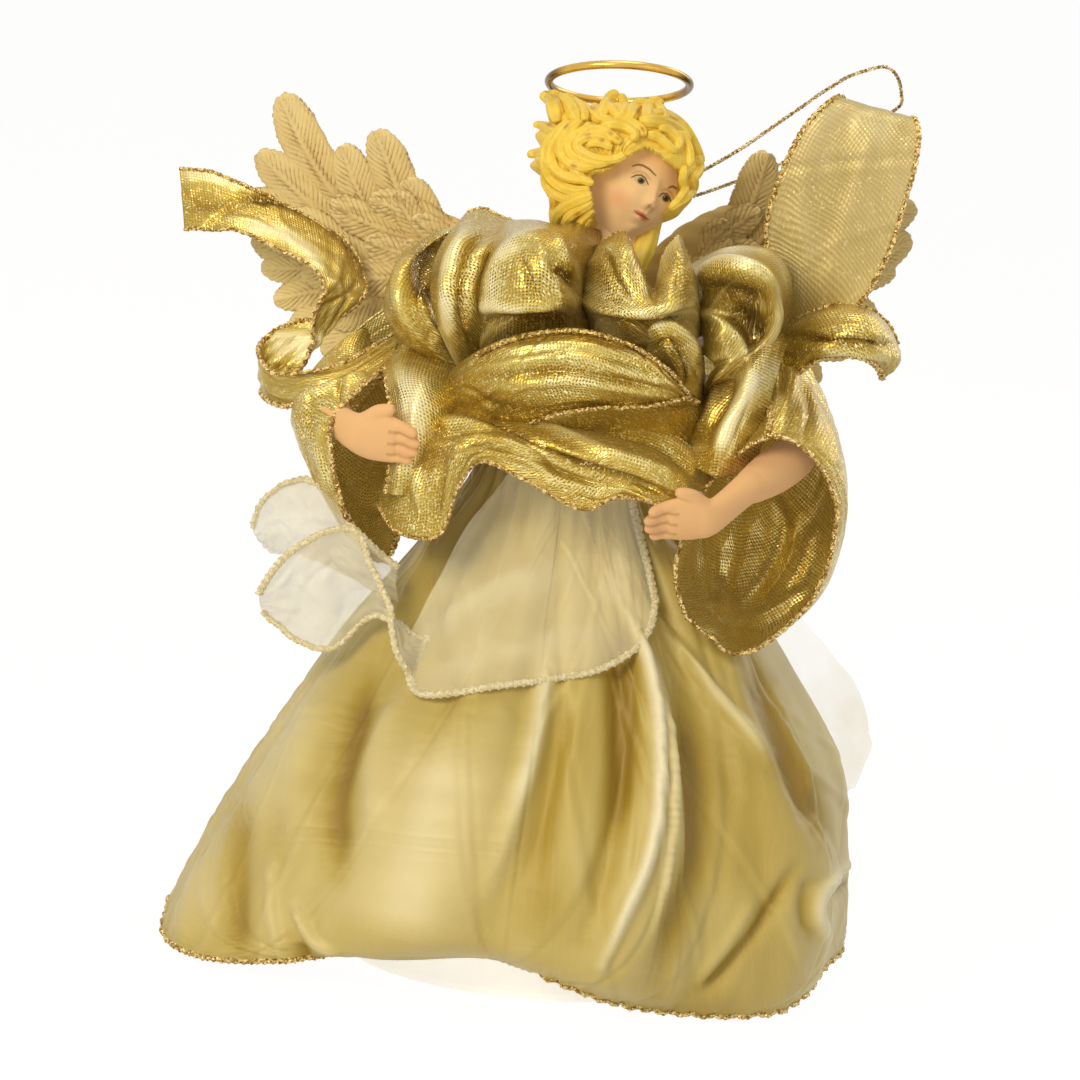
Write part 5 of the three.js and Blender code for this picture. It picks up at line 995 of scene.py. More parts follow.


# Folds drawn where the photograph shows them: places along each, half width in picture points,
# height in millimetres. Tones do the same for colour alone: painted shade and painted highlight, with a few
# paler sheer places.

drawnFolds = {
    "collar_puff_far_right": [
        ([(418, 243), (404, 264), (401, 292), (408, 322), (426, 346), (448, 357)], 6, 1.3),
        ([(424, 292), (430, 322), (446, 346)], 5, 1.0),
        ([(436, 244), (424, 262), (424, 292), (430, 310)], 8, -1.4),
        ([(412, 330), (426, 350), (444, 362)], 4, -1.0),
    ],
    "collar_puff_right": [
        ([(474, 233), (456, 256), (448, 290), (450, 328), (462, 354)], 6, 1.5),
        ([(484, 240), (467, 262), (461, 300), (464, 338)], 4, -1.6),
        ([(494, 246), (478, 268), (472, 300), (476, 334)], 5, 1.1),
        ([(490, 262), (486, 300), (488, 330)], 4, -1.0),
    ],
    "collar_puff_middle": [
        ([(552, 238), (520, 248), (500, 266), (490, 300), (488, 326)], 6, 1.4),
        ([(482, 311), (520, 314), (562, 311)], 5, 1.6), ([(486, 325), (530, 323), (574, 322)], 6, -1.8),
        ([(500, 338), (540, 331), (580, 332)], 4, 1.0), ([(556, 240), (562, 262), (574, 284)], 5, 1.2),
        ([(518, 260), (529, 284), (536, 306)], 4, -1.2), ([(538, 250), (546, 280), (562, 308)], 4, 1.0),
        ([(554, 276), (566, 281), (575, 292)], 6, -2.4),
    ],
    "collar_puff_throat": [
        ([(618, 243), (598, 262), (583, 282), (575, 300)], 6, 1.5),
        ([(620, 246), (629, 268), (641, 292), (654, 306)], 5, 1.3),
        ([(606, 262), (612, 285), (626, 302)], 4, -1.3),
        ([(578, 304), (610, 317), (645, 319), (684, 309)], 5, 1.8),
        ([(596, 322), (640, 331), (684, 322)], 5, -1.8), ([(668, 246), (662, 270), (658, 296)], 5, 1.2),
        ([(680, 254), (688, 280), (691, 302)], 4, 1.3), ([(674, 264), (673, 296)], 4, -1.1),
        ([(600, 336), (640, 344), (676, 342)], 4, 1.0),
    ],
    "collar_puff_low": [
        ([(638, 336), (664, 330), (686, 346), (690, 372)], 5, 1.6),
        ([(650, 352), (668, 346), (680, 362), (682, 386)], 5, -1.9),
        ([(640, 352), (655, 366), (672, 386)], 4, 1.1),
    ],
    "collar_puff_left": [
        ([(696, 274), (725, 268), (752, 276), (770, 292)], 6, 2.0),
        ([(700, 292), (726, 297), (758, 304)], 8, -2.0),
        ([(690, 310), (715, 324), (735, 345), (745, 368)], 6, 1.8),
        ([(728, 312), (750, 330), (752, 352)], 10, -2.0),
        ([(769, 296), (773, 322), (765, 347), (745, 371), (720, 381)], 5, 1.5),
        ([(704, 362), (732, 358)], 5, 1.0), ([(712, 258), (742, 254), (772, 262)], 5, 0.9),
    ],
    "bodice_side_left": [
        ([(752, 356), (744, 392), (722, 432), (712, 462)], 6, 1.6),
        ([(730, 372), (724, 402), (704, 436)], 5, -1.6), ([(716, 380), (708, 410), (696, 434)], 4, 1.2),
    ],
    "bodice_wrap": [
        ([(472, 376), (520, 367), (560, 362), (600, 369), (650, 384), (684, 396)], 5, 1.3),
        ([(490, 384), (550, 376), (610, 383), (672, 394)], 4, -1.4),
        ([(490, 394), (560, 386), (610, 391), (664, 400)], 5, 1.1),
        ([(500, 356), (560, 350), (612, 356), (650, 368)], 4, 0.9),
        ([(476, 402), (530, 414), (570, 410), (630, 404)], 4, -1.2),
    ],
    "sash_drape": [
        ([(432, 408), (470, 401), (520, 418), (560, 436), (600, 452), (650, 468), (684, 484)], 5, 1.7),
        ([(440, 416), (500, 427), (540, 445), (580, 465), (630, 481), (662, 494)], 3.5, -2.2),
        ([(428, 430), (460, 421), (500, 436), (540, 456), (580, 474), (622, 484)], 5, 1.5),
        ([(430, 452), (480, 441), (520, 456), (555, 481), (600, 491), (640, 484)], 5, 1.3),
        ([(446, 440), (490, 434), (524, 446), (560, 472), (606, 484)], 3.5, -1.4),
        ([(590, 426), (640, 432), (680, 450), (698, 482)], 5, 1.4),
        ([(566, 424), (620, 438), (664, 454), (688, 480)], 3.5, -1.3),
        ([(426, 436), (418, 470), (424, 512)], 6, 1.3), ([(446, 462), (442, 496), (438, 520)], 5, -1.4),
    ],
    "left_sleeve": [
        ([(770, 352), (777, 392), (766, 432)], 5, 1.5), ([(793, 356), (787, 394), (776, 430)], 5, 1.5),
        ([(781, 360), (780, 400)], 3.5, -1.5), ([(812, 366), (832, 398), (830, 436)], 8, 1.8),
        ([(800, 374), (806, 410), (800, 440)], 5, -1.3), ([(742, 372), (736, 406), (720, 440)], 7, 1.4),
        ([(756, 372), (752, 404), (738, 440)], 4, -1.4),
    ],
    "right_sleeve": [
        ([(350, 446), (347, 482), (358, 522), (378, 552)], 5, 1.6),
        ([(366, 454), (363, 490), (374, 524)], 4, -1.5), ([(326, 420), (325, 456), (334, 492)], 5, 1.2),
        ([(300, 402), (330, 390), (372, 372)], 5, 1.6), ([(306, 390), (345, 378), (388, 360)], 4, -1.4),
        ([(330, 372), (365, 362), (400, 340)], 5, 1.3), ([(390, 330), (420, 350), (440, 380)], 6, 1.4),
        ([(372, 340), (402, 364), (424, 392)], 5, -1.5),
    ],
    "shoulder_ruffle_left": [
        ([(766, 342), (800, 326), (840, 317), (884, 326)], 5, 1.3),
        ([(792, 338), (840, 343), (888, 347)], 5, -1.9), ([(806, 352), (850, 353), (892, 360)], 5, 1.4),
        ([(800, 366), (836, 362), (872, 374)], 4, -1.1),
    ],
    "ribbon_tail_right": [
        ([(190, 212), (226, 218), (262, 226), (300, 248), (322, 264)], 5, 0.9),
        ([(196, 164), (226, 172), (252, 186)], 6, 0.8),
        ([(232, 196), (280, 200), (318, 216), (346, 246)], 5, -1.2),
        ([(264, 334), (300, 340), (346, 344)], 6, 1.0), ([(264, 366), (310, 372), (352, 362)], 5, -1.0),
        ([(300, 392), (336, 392), (380, 378)], 5, 1.0),
    ],
    "bow_loop_left": [
        ([(826, 106), (808, 160), (800, 220), (806, 280)], 12, 0.5),
        ([(872, 118), (862, 170), (842, 230), (828, 290)], 9, 0.5),
    ],
    "skirt": [
        ([(545, 640), (541, 700), (530, 756), (514, 806), (492, 880)], 11, 3.2),
        ([(566, 690), (556, 740), (546, 800), (530, 880)], 14, -2.8),
        ([(622, 604), (620, 680), (620, 760), (606, 850), (584, 930)], 14, -4.4),
        ([(618, 596), (636, 640), (648, 680), (655, 740), (654, 800), (645, 850), (625, 900),
          (600, 955)], 6, 4.0),
        ([(660, 690), (669, 760), (666, 850), (650, 930)], 5, 1.6),
        ([(676, 690), (690, 760), (692, 840), (676, 900), (656, 965)], 13, -3.4),
        ([(640, 600), (690, 664), (736, 720), (766, 756)], 6, 2.4),
        ([(792, 862), (762, 912), (720, 962), (690, 986)], 8, -2.8),
        ([(748, 900), (716, 950), (690, 990)], 7, 1.4),
        ([(745, 660), (772, 720), (796, 780), (822, 840)], 12, -3.8),
        ([(792, 650), (816, 700), (840, 760), (856, 824), (852, 868)], 8, 3.0),
        ([(772, 690), (800, 760), (812, 800)], 5, 1.6),
        ([(858, 864), (834, 874), (817, 890), (814, 912), (824, 938)], 5, 2.6),
        ([(856, 888), (842, 889), (831, 894)], 5, -3.0), ([(808, 872), (800, 896), (804, 930)], 7, -1.8),
        ([(372, 680), (352, 744), (342, 800), (342, 866)], 14, -3.0),
        ([(404, 690), (380, 760), (378, 830)], 12, 1.8), ([(326, 690), (300, 760), (296, 840)], 14, 2.0),
        ([(246, 800), (240, 880), (246, 950)], 13, -2.6), ([(206, 850), (190, 900), (184, 940)], 9, 1.4),
        ([(274, 850), (276, 900), (284, 950)], 6, 1.5), ([(300, 900), (316, 930), (346, 946)], 5, 2.4),
        ([(300, 934), (312, 956), (324, 976)], 8, -2.8),
        ([(346, 946), (400, 951), (470, 955), (560, 962)], 5, 1.4),
        ([(420, 560), (440, 620), (452, 700)], 10, -1.8), ([(474, 560), (480, 640), (470, 720)], 12, 1.6),
    ],
    "organza_panel": [
        ([(480, 490), (456, 560), (420, 616)], 8, 0.9), ([(540, 560), (480, 590), (430, 630)], 7, 0.9),
        ([(560, 500), (561, 600), (548, 632)], 5, -0.8), ([(600, 506), (604, 560), (600, 600)], 6, 0.8),
        ([(500, 490), (500, 560)], 7, -0.8),
    ],
    "organza_flounce_side": [
        ([(372, 532), (384, 580), (392, 630)], 7, 1.2), ([(300, 556), (296, 590), (310, 626)], 8, -1.2),
        ([(330, 544), (328, 590), (342, 632)], 9, 1.2),
    ],
    "organza_flounce_top": [
        ([(262, 506), (290, 492), (324, 492)], 7, 1.0), ([(262, 534), (300, 520), (340, 522)], 6, -1.0),
    ],
}

# The far wall, seen through the open mouth of the sleeve; its folds also paint the tone there as painted
# shade and highlight
drawnInside = {
    "left_sleeve": [
        ([(700, 536), (696, 576), (701, 612), (714, 642)], 5, 2.0),
        ([(684, 546), (681, 584), (692, 626)], 4, -1.6), ([(724, 536), (721, 562), (722, 582)], 6, -2.0),
        ([(708, 594), (724, 618), (744, 644)], 15, 2.6),
        ([(776, 500), (784, 532), (766, 572), (744, 604)], 5, 1.9),
        ([(756, 514), (746, 560), (730, 604)], 8, -2.0), ([(818, 526), (804, 560), (786, 592)], 5, 1.6),
        ([(798, 522), (788, 564), (762, 600)], 4, -1.6),
        ([(712, 634), (745, 623), (782, 606), (812, 584)], 6, 1.8),
    ],
    "right_sleeve": [
        ([(388, 470), (392, 500), (404, 530)], 6, -1.6), ([(410, 470), (420, 500), (430, 520)], 5, 1.2),
    ],
}

# Painted shade below zero and painted highlight above zero, with a few paler sheer places
drawnTones = {
    "collar_puff_far_right": [([(434, 248), (424, 268), (427, 296), (433, 312)], 11, -0.75)],
    "collar_puff_right": [
        ([(448, 300), (451, 318), (456, 336)], 7, 0.7), ([(466, 332), (474, 346), (486, 354)], 7, -0.5),
        ([(470, 236), (456, 258), (450, 286)], 7, 0.35),
    ],
    "collar_puff_middle": [
        ([(486, 274), (496, 300), (486, 316)], 9, 0.45), ([(555, 276), (567, 282), (576, 294)], 7, -0.8),
        ([(560, 246), (570, 258), (578, 268)], 8, -0.35), ([(486, 328), (530, 326), (572, 326)], 6, -0.4),
        ([(520, 252), (500, 268)], 7, 0.4), ([(490, 312), (530, 314)], 4, 0.5),
    ],
    "collar_puff_throat": [
        ([(642, 262), (650, 286), (656, 302)], 7, -0.6), ([(584, 290), (596, 298), (612, 306)], 8, 0.6),
        ([(684, 304), (690, 310)], 8, 0.5), ([(610, 324), (650, 332), (684, 326)], 6, -0.5),
    ],
    "collar_puff_low": [
        ([(668, 352), (680, 366), (686, 384)], 7, -0.6), ([(640, 334), (664, 330)], 6, 0.35),
    ],
    "collar_puff_left": [
        ([(736, 306), (752, 328), (750, 350)], 15, -0.7), ([(702, 288), (730, 293), (760, 302)], 6, -0.5),
        ([(710, 256), (745, 253), (776, 266), (786, 290)], 7, 0.7), ([(704, 384), (724, 386)], 8, -0.5),
        ([(696, 274), (724, 268), (752, 276)], 4, 0.5),
    ],
    "bodice_wrap": [
        ([(500, 360), (560, 354), (610, 362)], 7, 0.3), ([(560, 378), (600, 384)], 6, 0.35),
        ([(640, 408), (700, 404)], 5, -0.6),
    ],
    "sash_drape": [
        ([(440, 404), (480, 403), (520, 418), (566, 436), (610, 452)], 6, 0.6),
        ([(450, 416), (500, 428), (540, 446), (580, 466), (640, 485)], 3.5, -0.8),
        ([(440, 448), (486, 444), (520, 454)], 5, -0.4), ([(588, 428), (616, 430)], 5, 0.3),
    ],
    "sash_flap_right": [([(396, 368), (420, 390), (412, 420), (410, 476)], 20, 0.8)],
    "bodice_side_left": [([(752, 372), (734, 412), (722, 460)], 16, 0.7)],
    "left_sleeve": [
        ([(806, 364), (820, 384), (824, 398)], 6, 0.5), ([(742, 376), (734, 410)], 10, 0.4),
        ([(790, 372), (786, 410), (780, 440)], 5, -0.5), ([(780, 364), (780, 400)], 3, -0.6),
        ([(836, 410), (842, 460)], 10, -0.5),
    ],
    "shoulder_ruffle_left": [
        ([(800, 340), (840, 344), (880, 348)], 5, -0.6), ([(820, 353), (866, 356)], 5, 0.3),
    ],
    "ribbon_tail_right": [
        ([(178, 168), (214, 170), (250, 182)], 13, 1.1), ([(184, 206), (214, 208), (236, 206)], 9, -0.4),
        ([(238, 198), (286, 202), (326, 220), (352, 250), (366, 280)], 8, -1.0),
        ([(236, 226), (274, 232), (306, 250), (330, 276)], 8, 0.9),
        ([(264, 344), (310, 348), (340, 346)], 16, 1.0), ([(290, 376), (340, 372)], 6, -0.5),
        ([(362, 262), (370, 290)], 6, -0.4),
    ],
    "bow_loop_left": [
        ([(840, 116), (870, 126), (896, 136)], 16, 0.45),
        ([(800, 262), (824, 280), (840, 296)], 18, -0.25), ([(788, 200), (800, 240)], 12, 0.2),
    ],
    "skirt": [
        ([(300, 640), (270, 760), (230, 860), (200, 940)], 34, 0.5),
        ([(450, 730), (430, 800), (410, 880), (400, 930)], 48, 0.75),
        ([(372, 676), (356, 740), (342, 800), (340, 866)], 13, -1.0),
        ([(246, 800), (236, 880), (244, 950)], 14, -0.75),
        ([(520, 660), (480, 690), (440, 700)], 22, -0.35),
        ([(545, 640), (541, 700), (530, 756), (512, 806)], 8, 0.7),
        ([(572, 690), (560, 780), (545, 860), (540, 940)], 28, -0.65),
        ([(622, 612), (622, 680), (622, 760), (612, 820)], 16, -1.1),
        ([(618, 598), (636, 640), (648, 680), (655, 740), (654, 800), (645, 850), (625, 900),
          (602, 952)], 4.5, 1.3),
        ([(662, 700), (668, 760), (664, 850), (650, 920)], 4, 0.5),
        ([(680, 690), (692, 760), (694, 840), (678, 900), (656, 966)], 13, -0.8),
        ([(730, 730), (740, 820), (730, 900)], 40, -0.35), ([(740, 900), (770, 960)], 30, -0.1),
        ([(690, 664), (736, 720), (766, 756)], 4, 0.5),
        ([(792, 862), (762, 912), (720, 962), (690, 986)], 7, -0.6),
        ([(745, 660), (772, 720), (798, 780), (822, 840)], 13, -1.1),
        ([(792, 650), (816, 700), (842, 764), (857, 826), (852, 868)], 7, 0.7),
        ([(858, 864), (834, 874), (817, 890), (814, 912), (824, 938)], 4, 0.9),
        ([(834, 891), (854, 887)], 5, -1.1), ([(804, 884), (802, 912), (808, 936)], 5, -0.5),
        ([(302, 934), (314, 954), (326, 976)], 9, -0.8), ([(380, 952), (460, 957), (540, 962)], 6, -0.4),
        ([(640, 990), (680, 1000), (740, 1000)], 16, -0.3),
    ],
    "organza_panel": [
        ([(560, 572), (500, 590), (440, 622), (410, 650)], 13, 0.9),
        ([(600, 630), (540, 642), (470, 660), (420, 676)], 10, 0.6),
        ([(478, 500), (450, 556), (414, 620)], 11, 0.7), ([(622, 520), (618, 570), (604, 606)], 9, 0.8),
        ([(520, 500), (530, 570)], 12, -0.5), ([(560, 520), (566, 560)], 14, -0.5),
    ],
    "organza_flounce_side": [
        ([(360, 540), (374, 590), (392, 640)], 10, 0.6), ([(290, 590), (300, 620)], 14, 0.4),
    ],
    "organza_flounce_back": [
        ([(764, 610), (800, 650), (822, 690)], 44, -1.2), ([(850, 700), (866, 736), (852, 790)], 20, 1.3),
    ],
}


# What the lines add at places of the photograph
def drawnHeight(across, down, lines):
    total = np.zeros(across.shape)
    for places, wide, proud in lines:
        count = 10 * len(places)
        line = spline(np.array(places, float), np.linspace(0, 1, count))
        low = line.min(0) - 2.6 * wide
        high = line.max(0) + 2.6 * wide
        near = (across > low[0]) & (across < high[0]) & (down > low[1]) & (down < high[1])
        px, py = across[near], down[near]
        best = np.full(px.shape, 1e9)
        share = np.zeros(px.shape)
        for k, (x, y) in enumerate(line):
            away = np.hypot(px - x, py - y)
            share = np.where(away < best, k / (count - 1), share)
            best = np.minimum(best, away)
        taper = np.clip(np.minimum(share, 1 - share) * 4 + 0.25, 0, 1)
        total[near] += proud * taper * np.exp(-(best / wide) ** 2)
    return total


# Small creases at repeatable places: each a narrow rise with a hollow beside it
def creaseHeight(u, v, long, high, count, size, seed, lean=0.0):
    pick = np.random.default_rng(seed)
    total = np.zeros(u.shape)
    x, y = u * long, v * high
    for k in range(count):
        atX, atY = pick.uniform(0, long), pick.uniform(0, high)
        turn = lean + pick.normal(0, 0.5)
        reach = pick.uniform(0.12, 0.34) * max(long, high)
        wide = pick.uniform(0.9, 2.0)
        proud = size * pick.uniform(0.4, 1.0) * (1 if k % 2 else -1)
        bend = pick.uniform(-0.25, 0.25) / reach
        along = (x - atX) * math.cos(turn) + (y - atY) * math.sin(turn)
        aside = (y - atY) * math.cos(turn) - (x - atX) * math.sin(turn) + bend * along ** 2
        shape = np.exp(-(aside / wide) ** 2) - 0.5 * np.exp(-((aside - 1.6 * wide) / wide) ** 2)
        total += proud * shape * np.exp(-(along / reach) ** 2)
    return total


# Cord of the hanging loop: two strands laid round each other along its route

cordPitch = 2.6
cordStep = 0.35
strandAway = 0.29
strandRadius = 0.34
cordLine = spline(np.array(cordShares) * tableSpan + shoulderAnchor, np.linspace(0, 1, 900))
cordRoute, cordLong = evenly(cordLine, cordStep)


def makeCord():
    tangent, side, top = lineFrames(cordRoute)
    angle = np.arange(len(cordRoute)) * cordStep / cordPitch * 2 * math.pi
    bodies = Bodies()
    for turn in (0.0, math.pi):
        away = side * np.cos(angle + turn)[:, None] + top * np.sin(angle + turn)[:, None]
        bodies.add(tubeOf(cordRoute + away * strandAway, strandRadius, 6))
    cord = bodies.piece("hanging_cord", [looks["cord"]])
    part(cord, "braid", "hanging_loop")
    print("cord", round(cordLong, 1))


makeCord()


# Cloth

braidStep = 0.38
stitchPitch = 2.5
beadPitch = 1.25
plainBraidWide = 1.05
laidBraidWide = 1.25
clothThick = 0.55


# The stitched edge along a line of the cloth: a flat cord with crossing stitches
def edgeBraid(bodies, line, wide, closed=False):
    sides = 8
    line, _ = evenly(line, braidStep, closed)
    angle = roundAngles(sides)
    along = np.arange(len(line)) * braidStep
    lay = np.cos(angle[None, :] * 2 - along[:, None] * 2 * math.pi / stitchPitch)
    bead = np.cos(along * 2 * math.pi / beadPitch)
    radii = wide * (0.78 + 0.16 * lay + 0.1 * bead[:, None])
    bodies.add(tubeOf(line, radii, sides, closed, 0.72))


def clothSize(grid):
    return float(gridSteps(grid, 1)[:, -1].mean()), float(gridSteps(grid, 0)[-1].mean())


# Moves a grid by its folds, and gives its tone of painted shade and painted highlight: 0 in hollows, 1 on
# ridges
def folded(name, grid, u, v, closed, spec):
    normal = gridNormals(grid, closed)
    long, high = clothSize(grid)
    outward = normal * np.sign((normal * (grid - grid.mean((0, 1)))).sum(-1).mean())
    facing = outward @ towardsViewer
    across, down = seenFrom(grid)
    drawn = drawnHeight(across, down, drawnFolds.get(name, ()))
    toned = drawnHeight(across, down, drawnTones.get(name, ()))
    if closed:
        near = np.clip(facing * 3, 0, 1)
        far = np.clip(-facing * 3, 0, 1)
        inside = drawnHeight(across, down, drawnInside.get(name, ())) * far
        # the drawn tones go on the near wall; the far wall gets the tone of its lines inside and is painted
        # lighter as a whole: painted light
        toned = toned * near + inside * 0.3 + far * 0.35
        seen = drawn * near - inside
        toward = outward
    else:
        seen = drawn
        toward = outward * np.clip(facing * 4, -1, 1)[..., None]
    waves = foldHeight(u, v, spec.get("folds", ()))
    count, size, lean = spec.get("creases", (26, 0.5, 0.3))
    waves = waves + creaseHeight(u, v, long, high, count, size, len(name), lean)
    if closed:
        waves = waves * np.clip(np.minimum(u, 1 - u) * 10, 0, 1)
    grid = grid + toward * seen[..., None] + outward * waves[..., None]
    rise = seen + waves * (1.0 if closed else np.sign(facing + 1e-6))
    tone = np.clip(0.5 + rise * 0.13 + toned * 0.5, 0, 1)
    return grid, tone


def gridEdge(grid, which):
    return {
        "first": grid[0], "last": grid[-1], "start": grid[:, 0], "end": grid[:, -1],
    }[which]


# Where lines of the photograph lie on a cloth
def seenOn(grid, places):
    across, down = seenFrom(grid)
    near = grid @ towardsViewer
    line = spline(np.array(places, float), np.linspace(0, 1, 8 * len(places)))
    spots = []
    for x, y in line:
        away = np.hypot(across - x, down - y)
        close = away < away.min() + 2.0
        pick = np.argmax(np.where(close, near, -1e9))
        spots.append(grid.reshape(-1, 3)[pick] + towardsViewer * 1.6)
    spots = np.array(spots)
    for _ in range(3):
        spots[1:-1] = (spots[:-2] + spots[1:-1] + spots[2:]) / 3
    return spots


# One sheet of cloth with its folds and stitched edges
def makeCloth(name, spec, grid=None):
    closed = spec.get("closed", False)
    columns, lines = spec["fine"]
    if grid is None and "places" in spec:
        grid = placedGrid(spec["places"], columns, lines)
    if grid is None:
        grid = netGrid(spec["rows"], spec["anchor"], columns, lines, closed)
    u, v = gridShares(grid, closed)
    grid, tone = folded(name, grid, u, v, closed, spec)
    points, faces, corners = shellOf(grid, spec.get("thick", clothThick), closed)
    sheet = meshPiece(name + "_cloth", points, faces, [looks[spec["look"]]], corners)
    paintPoints(sheet, np.tile(tone.ravel(), 2)[:, None])
    part(sheet, spec["slot"], name)
    bodies = Bodies()
    for which in spec.get("edges", ()):
        edgeBraid(bodies, gridEdge(grid, which), spec.get("braidWide", plainBraidWide), closed)
    for places in spec.get("braids", ()):
        edgeBraid(bodies, seenOn(grid, places), laidBraidWide)
    if bodies.count:
        trim = bodies.piece(name + "_edge", [looks[spec.get("braid", "braid")]])
        part(trim, "braid")
    long, high = clothSize(grid)
    area = sum(face.area for face in sheet.data.polygons) / 2
    print("cloth", name, "long", round(long), "high", round(high), "area_mm2", round(area * 1e6),
          "flat", round(spec["flat"][0] * spec["flat"][1] * 1e6))


